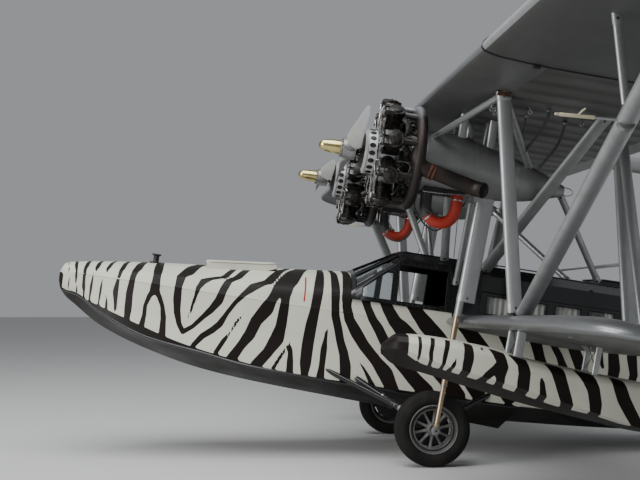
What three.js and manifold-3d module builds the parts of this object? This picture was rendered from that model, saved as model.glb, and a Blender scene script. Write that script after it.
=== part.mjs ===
// Twin-engined amphibious flying boat, parked on its wheels.
// Millimetres. The airframe is drawn level: x runs aft from the bow, y to starboard, z up.
// The whole airframe is then turned nose up until its three wheels stand on the ground.

import * as THREE from 'three';
import { mergeVertices } from 'three/addons/utils/BufferGeometryUtils.js';
import Module from 'manifold-3d';

const wasm = await Module();
wasm.setup();

const V = (x, y, z) => new THREE.Vector3(x, y, z);

// Parked attitude and the place of the bow datum above the ground
const NOSE_UP = THREE.MathUtils.degToRad(8);
const BOW_DATUM = V(-6456, 0, 958.7);
const GAP = 0.3;

// The drawing's height of a point that stands so far above the ground
const aboveGround = (x, height) =>
  (height - BOW_DATUM.z + x * Math.sin(NOSE_UP)) / Math.cos(NOSE_UP);

// Wings
const UPPER = { lead: 3660, rise: 3430, chord: 2540, tip: 10920, twist: 0.042 };
const CENTRE_HALF_SPAN = 4200;
const LOWER = { lead: 4400, rise: 1165, chord: 1500, tip: 5485, twist: 0.075, dihedral: 0.0175 };
const WING_ROOT = 688;
const AILERON = { inner: 6300, outer: 10250, hinge: 0.78, slot: 12 };

// Hull
const SILL = 1270;
const COCKPIT = { front: 3300, rear: 4740, floor: 480 };
const CABIN = { front: 4780, rear: 6950, floor: 480 };
const ROOF_EDGE = 1550;

// Power units
const ENGINE = { x: 3360, y: 1450, z: 2826, cylinders: 9 };
const PROPELLER = { x: 2989, rakeStarboard: 2.5, rakePort: 11 };
const EXHAUST = { x: 3650, ring: 495, tube: 55 };

// Undercarriage
const onFlat = (radius, sides) => radius * Math.cos(Math.PI / sides);
const WHEEL = { x: 4245, y: 1430, radius: 400, width: 250, axle: 30, sides: 24 };
WHEEL.z = aboveGround(WHEEL.x, onFlat(WHEEL.radius, WHEEL.sides));
const TAIL_WHEEL = { x: 9190, radius: 125, trail: 70, sides: 18 };
TAIL_WHEEL.z = aboveGround(TAIL_WHEEL.x, onFlat(TAIL_WHEEL.radius, TAIL_WHEEL.sides));

// Tail
const TAIL = { z: 3715, lead: 10350, hinge: 11150, trail: 11900, half: 2300 };
const HINGE_NOSE = 34;

const finish = (color, roughness, metalness) => new THREE.MeshStandardMaterial({ color, roughness, metalness });
const CREAM = finish(0xdcdccb, 0.45, 0.0);
const BLACK = finish(0x17130f, 0.4, 0.0);
const GLOSS_BLACK = finish(0x0d0d10, 0.15, 0.0);
const SILVER = finish(0x9a9d9f, 0.5, 0.3);
const STEEL = finish(0x6f6f70, 0.45, 0.8);
const BURNT = finish(0x6a4a3a, 0.55, 0.7);
const RUBBER = finish(0x141414, 0.9, 0.0);
const RED = finish(0xa8230f, 0.6, 0.0);
const LEATHER = finish(0x4a2f1f, 0.7, 0.0);
const GLASS = finish(0x9fb0b8, 0.05, 0.0);
const ENGINE_GREY = finish(0x3a3b3d, 0.5, 0.6);

// Solids: joining, cutting, mirroring

function solidOf(geometry) {
  const bare = geometry.clone();
  bare.deleteAttribute('normal');
  bare.deleteAttribute('uv');
  const merged = mergeVertices(bare, 1e-3);
  return new wasm.Manifold(new wasm.Mesh({
    numProp: 3,
    vertProperties: new Float32Array(merged.attributes.position.array),
    triVerts: new Uint32Array(merged.index.array),
  }));
}

function geometryOf(solid) {
  const { vertProperties, triVerts } = solid.getMesh();
  const geometry = new THREE.BufferGeometry();
  geometry.setAttribute('position', new THREE.BufferAttribute(new Float32Array(vertProperties), 3));
  geometry.setIndex(new THREE.BufferAttribute(new Uint32Array(triVerts), 1));
  return geometry;
}

const join = (...pieces) => geometryOf(pieces.map(solidOf).reduce((whole, next) => whole.add(next)));

const cut = (piece, ...tools) =>
  geometryOf(tools.map(solidOf).reduce((rest, tool) => rest.subtract(tool), solidOf(piece)));

const common = (piece, ...others) =>
  geometryOf(others.map(solidOf).reduce((rest, other) => rest.intersect(other), solidOf(piece)));

const moved = (geometry, x, y, z) => geometry.clone().translate(x, y, z);

const box = (x0, x1, y0, y1, z0, z1) =>
  new THREE.BoxGeometry(x1 - x0, y1 - y0, z1 - z0).translate((x0 + x1) / 2, (y0 + y1) / 2, (z0 + z1) / 2);

function faceOut(geometry) {
  const index = geometry.index.array;
  const at = geometry.attributes.position;
  const corner = (i) => new THREE.Vector3().fromBufferAttribute(at, index[i]);
  let volume = 0;
  for (let i = 0; i < index.length; i += 3) {
    volume += corner(i).dot(corner(i + 1).cross(corner(i + 2)));
  }
  if (volume < 0) {
    for (let i = 0; i < index.length; i += 3) {
      [index[i], index[i + 1]] = [index[i + 1], index[i]];
    }
  }
  return geometry;
}

function mirrored(geometry) {
  const copy = geometry.index ? geometry.clone() : mergeVertices(geometry.clone(), 1e-3);
  copy.deleteAttribute('normal');
  copy.scale(1, -1, 1);
  return faceOut(copy);
}

// A closed skin over a row of rings with equal counts of points, each end closed by a fan
function loft(rings) {
  const count = rings[0].length;
  const points = rings.flat();
  const faces = [];
  for (let row = 0; row < rings.length - 1; row += 1) {
    for (let i = 0; i < count; i += 1) {
      const a = row * count + i;
      const b = row * count + ((i + 1) % count);
      const turnedOver = points[a].y + points[b].y < 0;
      faces.push(...(turnedOver
        ? [a, b, a + count, b, b + count, a + count]
        : [a, b, b + count, a, b + count, a + count]));
    }
  }
  const close = (row, turn) => {
    const middle = points.length;
    const centre = rings[row].reduce((sum, p) => sum.add(p), V(0, 0, 0)).divideScalar(count);
    points.push(centre);
    for (let i = 0; i < count; i += 1) {
      const a = row * count + i;
      const b = row * count + ((i + 1) % count);
      faces.push(...(turn ? [middle, a, b] : [middle, b, a]));
    }
  };
  close(0, false);
  close(rings.length - 1, true);
  const geometry = new THREE.BufferGeometry().setFromPoints(points);
  geometry.setIndex(faces);
  return faceOut(geometry);
}

// half runs from the bottom centre to the top centre as [y, z]
function symmetricRing(x, half, middle = 0) {
  const right = half.map(([y, z]) => V(x, middle + y, z));
  const left = half.slice(1, -1).reverse().map(([y, z]) => V(x, middle - y, z));
  return [...right, ...left];
}

function ovalRing(centre, across, up, width, height, sides) {
  return Array.from({ length: sides }, (_, i) => {
    const turn = (2 * Math.PI * i) / sides;
    return centre.clone()
      .addScaledVector(across, Math.cos(turn) * width / 2)
      .addScaledVector(up, Math.sin(turn) * height / 2);
  });
}

// A straight strut of oval section, its long side kept in the line of flight
function strut(from, to, chord, thickness = chord, sides = 8) {
  const run = to.clone().sub(from).normalize();
  const along = Math.abs(run.x) > 0.8 ? V(0, 0, 1) : V(1, 0, 0);
  const fore = along.addScaledVector(run, -along.dot(run)).normalize();
  const side = new THREE.Vector3().crossVectors(run, fore);
  return loft([from, to].map((end) => ovalRing(end, fore, side, chord, thickness, sides)));
}

// A turned body: profile of [distance along the axis, radius], axis along x or y
function turned(profile, sides, axis = 'x') {
  const points = profile.map(([along, radius]) => new THREE.Vector2(radius, along));
  const lathe = new THREE.LatheGeometry(points, sides);
  if (axis === 'x') {
    lathe.rotateZ(-Math.PI / 2);
  }
  return faceOut(mergeVertices(stripped(lathe), 1e-3));
}

function stripped(geometry) {
  geometry.deleteAttribute('normal');
  geometry.deleteAttribute('uv');
  return geometry;
}

function pipe(points, radius, sides, steps) {
  const section = new THREE.Shape();
  for (let i = 0; i < sides; i += 1) {
    const turn = (2 * Math.PI * i) / sides;
    const place = [Math.cos(turn) * radius, Math.sin(turn) * radius];
    if (i === 0) {
      section.moveTo(...place);
    } else {
      section.lineTo(...place);
    }
  }
  const extrudePath = new THREE.CatmullRomCurve3(points);
  const bent = new THREE.ExtrudeGeometry(section, { extrudePath, steps, bevelEnabled: false });
  return faceOut(mergeVertices(stripped(bent), 1e-3));
}

// Assembly

const group = new THREE.Group();
const airframe = new THREE.Group();
airframe.rotation.y = NOSE_UP;
airframe.position.copy(BOW_DATUM);
group.add(airframe);

function add(name, geometry, material) {
  const whole = geometry.index ? geometry : mergeVertices(stripped(geometry), 1e-3);
  whole.computeVertexNormals();
  const mesh = new THREE.Mesh(whole, material);
  mesh.name = name;
  airframe.add(mesh);
  return whole;
}

function addPair(name, starboard, material) {
  add(`${name}_starboard`, starboard, material);
  add(`${name}_port`, mirrored(starboard), material);
}

// Hull: [x, keel z, chine y z, lower crease y z, upper crease y z, shoulder y z, deck y z, deck centre z]
const HULL_SECTIONS = [
  [0, 1010, 40, 1020, 50, 1045, 60, 1080, 55, 1110, 30, 1135, 1142],
  [45, 905, 110, 930, 130, 980, 140, 1110, 125, 1170, 60, 1215, 1228],
  [222, 770, 215, 904, 235, 960, 250, 1134, 215, 1195, 110, 1250, 1272],
  [551, 570, 410, 735, 400, 840, 385, 1134, 335, 1215, 180, 1290, 1320],
  [1153, 366, 620, 532, 575, 775, 550, 1128, 480, 1240, 260, 1345, 1388],
  [1721, 243, 725, 459, 665, 765, 640, 1122, 560, 1260, 310, 1390, 1440],
  [2285, 180, 775, 383, 705, 760, 680, 1116, 605, 1285, 335, 1440, 1495],
  [3353, 115, 800, 338, 720, 755, 700, 1110, 640, 1345, 360, 1540, 1600],
  [4400, 60, 800, 330, 720, 755, 705, 1110, 660, 1500, 380, 1660, 1720],
  [5335, 0, 800, 330, 720, 755, 705, 1110, 680, 1600, 400, 1780, 1820],
  [5338, 95, 800, 345, 720, 755, 705, 1110, 680, 1600, 400, 1780, 1820],
  [6446, 162, 740, 380, 690, 755, 690, 1110, 660, 1600, 400, 1800, 1850],
  [7000, 210, 670, 430, 640, 770, 650, 1115, 610, 1600, 400, 1800, 1870],
  [7900, 350, 500, 560, 490, 840, 500, 1130, 460, 1480, 290, 1640, 1695],
  [8700, 560, 300, 730, 310, 950, 320, 1150, 290, 1340, 180, 1440, 1475],
  [9300, 760, 90, 880, 100, 1010, 110, 1160, 100, 1250, 60, 1310, 1330],
];

function hullSkin(inset, sections, lift) {
  return loft(sections.map(([x, keel, ...rest]) => {
    const top = rest.at(-1);
    const half = [[0, keel + lift]];
    for (let i = 0; i < rest.length - 1; i += 2) {
      const down = i === 0 ? lift * 0.8 : 0;
      half.push([Math.max(rest[i] - inset, 5), Math.min(rest[i + 1] + down, top - inset)]);
    }
    half.push([0, top - inset]);
    return symmetricRing(x, half);
  }));
}

const BOW_HATCH = { front: 1690, rear: 2410, half: 260, coaming: 40, tilt: 0.097, z: 1437, lid: 26 };

const tiltedAtHatch = (geometry) => geometry
  .rotateY(-BOW_HATCH.tilt)
  .translate(BOW_HATCH.front, 0, BOW_HATCH.z);

function hatchBlock(grow, low, high) {
  const length = BOW_HATCH.rear - BOW_HATCH.front;
  return tiltedAtHatch(box(-grow, length + grow, -BOW_HATCH.half - grow, BOW_HATCH.half + grow, low, high));
}

const BOLLARD = { x: 1060, base: 1360 };

const TAIL_PIN = { radius: 22, bore: 23 };
const parkedUp = V(-Math.sin(NOSE_UP), 0, Math.cos(NOSE_UP));
const tailHub = V(TAIL_WHEEL.x, 0, TAIL_WHEEL.z);
const forkPoint = (up, ahead = 0) => tailHub.clone()
  .addScaledVector(parkedUp, up)
  .add(V(-Math.cos(NOSE_UP), 0, -Math.sin(NOSE_UP)).multiplyScalar(ahead));

function makeHull() {
  const skin = hullSkin(0, HULL_SECTIONS, 0);
  const bowRows = HULL_SECTIONS.slice(3, 8).map((row, i) => (i === 4 ? [3250, ...row.slice(1)] : row));
  const bowSpace = hullSkin(45, bowRows, 70);
  const above = box(COCKPIT.front, CABIN.rear + 50, -900, 900, SILL, 2200);
  const cockpit = box(COCKPIT.front + 40, COCKPIT.rear, -655, 655, COCKPIT.floor, SILL + 10);
  const cabin = loft([
    [CABIN.front, 655], [6450, 640], [CABIN.rear, 595],
  ].map(([x, half]) => [V(x, -half, CABIN.floor), V(x, half, CABIN.floor),
    V(x, half, SILL + 10), V(x, -half, SILL + 10)]));
  const doorway = box(COCKPIT.rear - 10, CABIN.front + 10, -260, 260, COCKPIT.floor, SILL + 10);
  const tailBore = strut(forkPoint(150, TAIL_WHEEL.trail), forkPoint(420, TAIL_WHEEL.trail),
    2 * TAIL_PIN.bore, 2 * TAIL_PIN.bore, 16);
  return cut(
    join(skin, hatchBlock(BOW_HATCH.coaming, -60, 30)),
    bowSpace, hatchBlock(0, -400, 60), above, cockpit, cabin, doorway, tailBore,
  );
}
const hull = add('hull', makeHull(), CREAM);

// The hull without its hollows, to seat what stands on it
const hullOuter = hullSkin(0, HULL_SECTIONS, 0);

function makeBollard() {
  const post = turned([[0, 0], [0, 80], [20, 80], [30, 34], [95, 34], [105, 55], [120, 55], [120, 0]], 16, 'y')
    .rotateX(Math.PI / 2);
  return cut(post.translate(BOLLARD.x, 0, BOLLARD.base), moved(hullOuter, 0, 0, GAP));
}
add('bow_bollard', makeBollard(), STEEL);
add('bow_hatch', hatchBlock(BOW_HATCH.coaming + 8, 30 + GAP, 30 + GAP + BOW_HATCH.lid), CREAM);

// Cockpit and cabin above the sill: [x, sill y, shoulder y z, mid y z, top z]
const COCKPIT_SECTIONS = [
  [COCKPIT.front + GAP, 700, 640, 1345, 360, 1540, 1600],
  [3870, 700, 620, 1800, 340, 1895, 1915],
  [4380, 700, 625, 1800, 340, 1895, 1915],
  [CABIN.front - 20, 700, 640, 1780, 400, 1885, 1900],
];
const ROOF_SECTIONS = [
  [CABIN.front - 20 + GAP, 700, 640, 1745, 440, 1860, 1892],
  [CABIN.rear + 50 - GAP, 655, 600, 1730, 410, 1830, 1872],
];

function canopySkin(sections, inset, foot) {
  return loft(sections.map(([x, sill, shoulder, shoulderZ, mid, midZ, top]) => {
    const lean = (shoulder - sill) / (shoulderZ - SILL);
    return symmetricRing(x, [
      [0, foot], [sill - inset + lean * (foot - SILL), foot], [shoulder - inset, shoulderZ - inset * 0.6],
      [mid - inset * 0.6, midZ - inset], [0, top - inset],
    ]);
  }));
}

function inset(sections, ends) {
  const rows = sections.map((row) => [...row]);
  rows[0][0] += ends;
  rows.at(-1)[0] -= ends;
  return rows;
}

const cockpitSpace = canopySkin(inset(COCKPIT_SECTIONS, 30), 30, SILL - 50);

function makeCockpitFrame() {
  const shell = cut(canopySkin(COCKPIT_SECTIONS, 0, SILL + GAP), cockpitSpace);
  const slope = Math.atan2(1915 - 1600, 3870 - COCKPIT.front);
  const pane = (y0, y1) => box(60, 590, y0, y1, -140, 140).rotateY(-slope)
    .translate(COCKPIT.front, 0, 1600);
  const sideFront = loft([-900, 900].map((y) => [
    V(3420, y, SILL + 45), V(3745, y, SILL + 45), V(3745, y, 1640), V(3680, y, 1640),
    V(3420, y, 1420)]));
  const sideRear = box(3810, 4370, -900, 900, SILL + 45, 1730);
  const rearDoor = box(4600, 4900, -260, 260, SILL - 50, 1760);
  return cut(shell, pane(25, 300), pane(-300, -25), pane(330, 560), pane(-560, -330),
    sideFront, sideRear, rearDoor);
}
const cockpitFrame = add('cockpit_frame', makeCockpitFrame(), GLOSS_BLACK);

function makeCabinWalls() {
  const ring = (inner) => loft(inset([
    [CABIN.front - 20 + GAP, 700 - inner], [6450, 690 - inner], [CABIN.rear + 50 - GAP, 655 - inner],
  ], inner).map(([x, half]) => [V(x, -half, SILL + GAP - inner), V(x, half, SILL + GAP - inner),
    V(x, half, ROOF_EDGE - GAP + inner), V(x, -half, ROOF_EDGE - GAP + inner)]));
  const windows = [4980, 5380, 5780, 6180, 6580].map((x) =>
    box(x - 150, x + 150, -900, 900, SILL + 45, ROOF_EDGE - 35));
  const rearDoor = box(4600, 4900, -260, 260, SILL - 50, 1760);
  return cut(ring(0), ring(35), ...windows, rearDoor);
}
const cabinWalls = add('cabin_walls', makeCabinWalls(), CREAM);

const HATCH = { front: 6260, rear: 6840, half: 300 };

function makeRoof() {
  const shell = cut(canopySkin(ROOF_SECTIONS, 0, ROOF_EDGE), canopySkin(inset(ROOF_SECTIONS, 30), 30, ROOF_EDGE - 50));
  const coaming = box(HATCH.front - 30, HATCH.rear + 30, -HATCH.half - 30, HATCH.half + 30, 1800, 1900);
  const doorway = box(4600, 4900, -260, 260, ROOF_EDGE - 50, 1760);
  return cut(join(shell, coaming), box(HATCH.front, HATCH.rear, -HATCH.half, HATCH.half, 1700, 1960), doorway);
}
add('cabin_roof', makeRoof(), GLOSS_BLACK);

// The two roofs without their hollows, to seat what stands on them
const roofOuter = canopySkin(ROOF_SECTIONS, 0, ROOF_EDGE);
const cockpitOuter = canopySkin(COCKPIT_SECTIONS, 0, SILL);
add('cabin_hatch', box(HATCH.front - 36, HATCH.rear + 36, -HATCH.half - 36, HATCH.half + 36,
  1900 + GAP, 1922), GLOSS_BLACK);

function makeWindscreen() {
  const outer = common(cockpitSpace, moved(cockpitSpace, GAP, 0, -GAP), moved(cockpitSpace, 0, GAP, 0),
    moved(cockpitSpace, 0, -GAP, 0), box(3000, 5000, -900, 900, SILL + 20, 2200));
  const inner = canopySkin(inset(COCKPIT_SECTIONS, 70).slice(0, 3).map((row, i) =>
    (i === 2 ? [4400, ...row.slice(1)] : row)), 44, SILL - 20);
  return cut(outer, inner, box(4300, 5000, -900, 900, 1000, 2500));
}
add('windscreen_glass', makeWindscreen(), GLASS);

const SEAT = { front: 4050, rear: 4500, y: 330, half: 210, squab: 820 };

function makePilotSeats() {
  const seat = (y) => join(
    box(SEAT.front, SEAT.rear, y - SEAT.half, y + SEAT.half, SEAT.squab - 110, SEAT.squab),
    box(SEAT.rear - 100, SEAT.rear, y - SEAT.half, y + SEAT.half, SEAT.squab - 20, SEAT.squab + 520),
    box(SEAT.front + 150, SEAT.front + 250, y - 50, y + 50, COCKPIT.floor + GAP, SEAT.squab - 50),
  );
  const beam = box(SEAT.front + 150, SEAT.front + 250, -SEAT.y, SEAT.y,
    COCKPIT.floor + GAP, COCKPIT.floor + 60);
  return join(seat(SEAT.y), seat(-SEAT.y), beam);
}
add('pilot_seats', makePilotSeats(), LEATHER);

function makeControls() {
  const panel = box(3480, 3510, -560, 560, 980, 1240);
  const floorLeg = box(3480, 3510, -60, 60, COCKPIT.floor + GAP, 1000);
  const column = strut(V(3750, 0, COCKPIT.floor + 20), V(3690, 0, 1080), 50);
  const bar = strut(V(3690, -330, 1080), V(3690, 330, 1080), 40);
  const wheel = (y) => new THREE.TorusGeometry(150, 14, 4, 12).rotateY(Math.PI / 2).translate(3720, y, 1080);
  const spoke = (y) => join(
    box(3712, 3728, y - 150, y + 150, 1068, 1092),
    box(3690, 3728, y - 20, y + 20, 1060, 1100));
  const floorBeam = box(3480, 3770, -60, 60, COCKPIT.floor + GAP, COCKPIT.floor + 40);
  return join(panel, floorLeg, column, bar, wheel(330), wheel(-330), spoke(330), spoke(-330), floorBeam);
}
add('controls_and_panel', makeControls(), BLACK);

function makeCabinSeats() {
  const rows = [5150, 5850].flatMap((x) => [-390, 390].map((y) => join(
    box(x, x + 480, y - 215, y + 215, 640, 880),
    box(x + 380, x + 480, y - 215, y + 215, 800, 1380))));
  const floor = box(4900, 6400, -620, 620, CABIN.floor + GAP, CABIN.floor + 30);
  const bases = [5150, 5850].map((x) => box(x + 40, x + 380, -560, 560, CABIN.floor + 10, 660));
  return join(floor, ...bases, ...rows);
}
add('cabin_seats', makeCabinSeats(), LEATHER);

// Wings: [share of chord, top, bottom] as shares of chord
const AEROFOIL = [
  [0, 0, 0], [0.02, 0.030, -0.016], [0.08, 0.062, -0.024], [0.22, 0.090, -0.026],
  [0.40, 0.091, -0.022], [0.62, 0.066, -0.016], [0.78, 0.041, -0.012], [1, 0.003, -0.002],
];

function ribRing(wing, y, scale = 1, shift = 0, from = 0, to = 1) {
  const place = (share, height) => {
    const x = wing.lead + shift + share * wing.chord * scale;
    const drop = (shift + share * wing.chord * scale) * wing.twist;
    const lift = (wing.dihedral ?? 0) * (Math.abs(y) - 700);
    return V(x, y, wing.rise - drop + lift + height * wing.chord * scale);
  };
  const rows = AEROFOIL.filter(([share]) => share >= from && share <= to);
  const top = rows.map(([share, high]) => place(share, high));
  const bottom = rows.map(([share, , low]) => place(share, low)).reverse();
  return from === 0 ? [...top, ...bottom.slice(0, -1)] : [...top, ...bottom];
}

// The tip: [distance in from the tip, share of chord kept, share of chord that the nose moves aft]
const TIP = [[1150, 1, 0], [620, 0.95, 0.02], [280, 0.84, 0.07], [80, 0.64, 0.17], [0, 0.38, 0.3]];

function wingPanel(wing, inner) {
  const rings = [ribRing(wing, inner)];
  TIP.forEach(([back, scale, shift]) => rings.push(
    ribRing(wing, wing.tip - back, scale, shift * wing.chord)));
  return loft(rings);
}

const wingCentre = add('upper_wing_centre', loft([
  ribRing(UPPER, -CENTRE_HALF_SPAN), ribRing(UPPER, CENTRE_HALF_SPAN)]), SILVER);

const hingeLine = (wing, share) => V(
  wing.lead + share * wing.chord, 0, wing.rise - share * wing.chord * wing.twist + 0.0145 * wing.chord);

function makeUpperPanel() {
  const panel = wingPanel(UPPER, CENTRE_HALF_SPAN + GAP);
  const hinge = hingeLine(UPPER, AILERON.hinge);
  const bay = box(hinge.x - 70, hinge.x + 900, AILERON.inner, AILERON.outer, 3000, 4000);
  return cut(panel, bay);
}
const upperPanel = makeUpperPanel();
addPair('upper_wing', upperPanel, SILVER);

function makeAileron() {
  const hinge = hingeLine(UPPER, AILERON.hinge);
  const inner = AILERON.inner + AILERON.slot;
  const outer = AILERON.outer - AILERON.slot;
  const blade = loft([inner, outer].map((y) => ribRing(UPPER, y, 1, 0, AILERON.hinge)));
  const pinned = [AILERON.inner + GAP, AILERON.outer - GAP];
  const nose = turned([[pinned[0], 0], [pinned[0], 16], [inner, 16], [inner, 62], [outer, 62], [outer, 16],
    [pinned[1], 16], [pinned[1], 0]], 16, 'y');
  return join(blade, nose.translate(hinge.x, 0, hinge.z));
}
addPair('aileron', makeAileron(), SILVER);

const lowerWing = cut(wingPanel(LOWER, WING_ROOT), moved(hull, 0, GAP, GAP),
  moved(cabinWalls, 0, GAP, -GAP), moved(cockpitOuter, 0, GAP, 0));
const TIE_DOWN = { x: 4730, y: 4300, size: 60, z: 1155 };
const tiePad = box(TIE_DOWN.x - TIE_DOWN.size, TIE_DOWN.x + TIE_DOWN.size,
  TIE_DOWN.y - TIE_DOWN.size, TIE_DOWN.y + TIE_DOWN.size, TIE_DOWN.z, TIE_DOWN.z + 40);
const lowerPanel = join(lowerWing, tiePad);
addPair('lower_wing', lowerPanel, SILVER);

// Floats: [x, half beam, deck z, chine z, keel z]
const FLOAT_Y = 3000;
const FLOAT_SECTIONS = [
  [3356, 40, 880, 825, 785], [3480, 165, 985, 850, 705], [3800, 245, 1005, 790, 655],
  [4250, 275, 985, 715, 580], [4700, 275, 925, 640, 510], [5300, 270, 878, 530, 440],
  [5862, 235, 845, 440, 392], [6400, 150, 790, 470, 405], [6860, 45, 710, 560, 500],
];
// The legs that hold a float: [x, foot z, place across the float, head z]
const FLOAT_LEGS = [[4505, 800, -150, 1200], [4505, 800, 150, 1200],
  [5310, 760, -150, 1150], [5310, 760, 150, 1150]];

function makeFloat() {
  const body = loft(FLOAT_SECTIONS.map(([x, half, deck, chine, keel]) => symmetricRing(x, [
    [0, keel], [half, chine], [half, (deck + chine) / 2], [half * 0.75, deck - 30], [0, deck]], FLOAT_Y)));
  const legs = FLOAT_LEGS.map(([x, foot, y, head]) =>
    strut(V(x, FLOAT_Y + y, foot), V(x + 20, FLOAT_Y + y, head), 90, 40, 6));
  return cut(join(body, ...legs), moved(lowerPanel, 0, 0, -GAP));
}
addPair('float', makeFloat(), CREAM);

// Power units, drawn at the centreline and moved out
const toEngine = (geometry) => geometry.translate(0, ENGINE.y, ENGINE.z);

// A cylinder: [distance from the crankshaft, radius]
const CYLINDER = [[180, 0], [180, 62], [310, 62], [325, 84], [500, 98], [560, 92], [600, 50], [600, 0]];

function makeEngine() {
  const crankcase = turned([[-320, 0], [-320, 48], [-298, 62], [-268, 130], [-245, 190], [-215, 228],
    [-80, 240], [80, 240], [90, 0]], 18);
  const cylinder = turned(CYLINDER, 8, 'y');
  const rocker = box(-120, 70, 505, 575, -45, 45);
  const rod = (side) => strut(V(-100, 215, side * 30), V(-100, 540, side * 42), 26, 26, 4);
  const one = join(cylinder, rocker, rod(1), rod(-1));
  const ring = [];
  for (let i = 0; i < ENGINE.cylinders; i += 1) {
    ring.push(one.clone().rotateX(Math.PI / 2 + (2 * Math.PI * i) / ENGINE.cylinders));
  }
  return toEngine(join(crankcase, ...ring).translate(ENGINE.x, 0, 0));
}
const engine = makeEngine();

// Nacelle: [x, centre z, radius]
const NACELLE = [
  [3450 + GAP, 2822, 225], [3740, 2824, 316], [4060, 2824, 322], [4300, 2805, 296],
  [4560, 2768, 262], [4900, 2742, 196], [5242, 2722, 84], [5315, 2718, 58],
];
// The tubes that hang it from the wing: [x, place across the nacelle]
const NACELLE_HANGERS = [[4120, 170], [4120, -170], [4450, 110], [4450, -110]];

function makeNacelle() {
  const body = loft(NACELLE.map(([x, z, radius]) =>
    ovalRing(V(x, ENGINE.y, z), V(0, 1, 0), V(0, 0, 1), 2 * radius, 2 * radius, 16)));
  const hangers = NACELLE_HANGERS.map(([x, y]) =>
    strut(V(x, ENGINE.y + y * 0.6, 2850), V(x, ENGINE.y + y, 3400), 90, 45));
  return cut(join(body, ...hangers), moved(wingCentre, 0, 0, -GAP));
}
const nacelle = makeNacelle();

function makeExhaust() {
  const ring = stripped(new THREE.TorusGeometry(EXHAUST.ring, EXHAUST.tube, 6, 27)).rotateY(Math.PI / 2);
  const reach = ENGINE.x + Math.max(...CYLINDER.map((row) => row[1])) + GAP - EXHAUST.x;
  const stub = strut(V(reach, EXHAUST.ring + 2, 0), V(0, EXHAUST.ring, 0), 64, 64, 5);
  const stubs = [];
  for (let i = 0; i < ENGINE.cylinders; i += 1) {
    stubs.push(stub.clone().rotateX(Math.PI / 2 + (2 * Math.PI * i) / ENGINE.cylinders));
  }
  const mouth = V(-20, 440, -130);
  const elbow = V(600, 460, -275);
  const end = V(684, 545, -299);
  const outlet = join(strut(mouth, elbow, 158, 158, 12), strut(elbow.clone().lerp(end, -0.15), end, 158, 158, 12));
  const bore = strut(elbow.clone().lerp(end, 0.35), elbow.clone().lerp(end, 1.3), 138, 138, 12);
  const whole = cut(join(ring, ...stubs, outlet), bore).translate(EXHAUST.x, 0, 0);
  return cut(toEngine(whole), moved(nacelle, -GAP, GAP, 0));
}

function makeIntake() {
  const route = [[3852, 2600], [3856, 2400], [3870, 2290], [3945, 2210], [4050, 2192], [4140, 2240],
    [4183, 2350], [4186, 2600]];
  const hose = pipe(route.map(([x, z]) => V(x, ENGINE.y, z)), 64, 10, 16);
  return cut(hose, moved(nacelle, 0, 0, -GAP));
}

// Propeller blade: [distance out, chord, thickness, blade angle]
const BLADE = [
  [80, 110, 100, 62], [170, 145, 84, 56], [280, 205, 54, 49], [450, 196, 40, 38], [700, 170, 30, 28],
  [1000, 137, 18, 20], [1150, 98, 13, 18], [1225, 60, 9, 17], [1250, 30, 7, 17],
];

function makePropeller(rake) {
  const rings = BLADE.map(([out, chord, thick, angle]) => {
    const turn = THREE.MathUtils.degToRad(angle);
    return ovalRing(V(0, out, 0), V(Math.sin(turn), 0, Math.cos(turn)), V(Math.cos(turn), 0, -Math.sin(turn)),
      chord, thick, 8);
  });
  const blade = loft(rings);
  const hub = turned([[-345, 0], [-330, 30], [-290, 62], [-180, 76], [-100, 80], [-90, 105], [-45, 112],
    [45, 112], [51 - GAP, 60], [51 - GAP, 0]], 12);
  const whole = join(hub, blade, blade.clone().rotateX(Math.PI));
  whole.rotateX(THREE.MathUtils.degToRad(-rake));
  return toEngine(whole.translate(PROPELLER.x, 0, 0));
}
const exhaust = makeExhaust();
addPair('engine', engine, ENGINE_GREY);
addPair('nacelle', nacelle, SILVER);
addPair('exhaust', exhaust, BURNT);
addPair('intake_hose', makeIntake(), RED);

// Both propellers turn the same way, so the port one is no mirror image; each rests at its own angle
add('propeller_starboard', makePropeller(PROPELLER.rakeStarboard), STEEL);
add('propeller_port', moved(makePropeller(PROPELLER.rakePort), 0, -2 * ENGINE.y, 0), STEEL);

// Struts between hull, wings and nacelles
const underUpper = moved(wingCentre, 0, 0, -GAP);
const underPanel = moved(upperPanel, 0, 0, -GAP);
const overLower = moved(lowerPanel, 0, 0, GAP);
const underNacelle = moved(nacelle, 0, 0, -GAP);
const overRoof = moved(roofOuter, 0, GAP, GAP);
const overCockpit = moved(cockpitOuter, 2 * GAP, GAP, GAP);

// Under the nacelle: a round tube with a deep fairing behind it, and a leg in to the cockpit's side
function makeMainStrut() {
  const tube = strut(V(4352, 1450, 1160), V(4430, 1450, 2560), 84);
  const fairing = strut(V(4420, 1450, 1392), V(4490, 1450, 2560), 198, 100);
  const leg = strut(V(4385, 1290, 2560), V(4458, 640, 1560), 66, 46, 6);
  const saddle = box(4355, 4570, 1265, 1500, 2462, 2560);
  return cut(join(tube, fairing, leg, saddle), overLower, underNacelle, overCockpit);
}
addPair('main_strut', makeMainStrut(), SILVER);
addPair('inboard_strut', cut(strut(V(4120, 1270, 2580), V(4335, 480, 1830), 96, 50),
  overCockpit, underNacelle), SILVER);

// A narrow lug between a strut and the wing that it stands on
const strutFoot = (x, y) => strut(V(x, y, 1180), V(x, y, 1360), 70, 40, 6);

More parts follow.
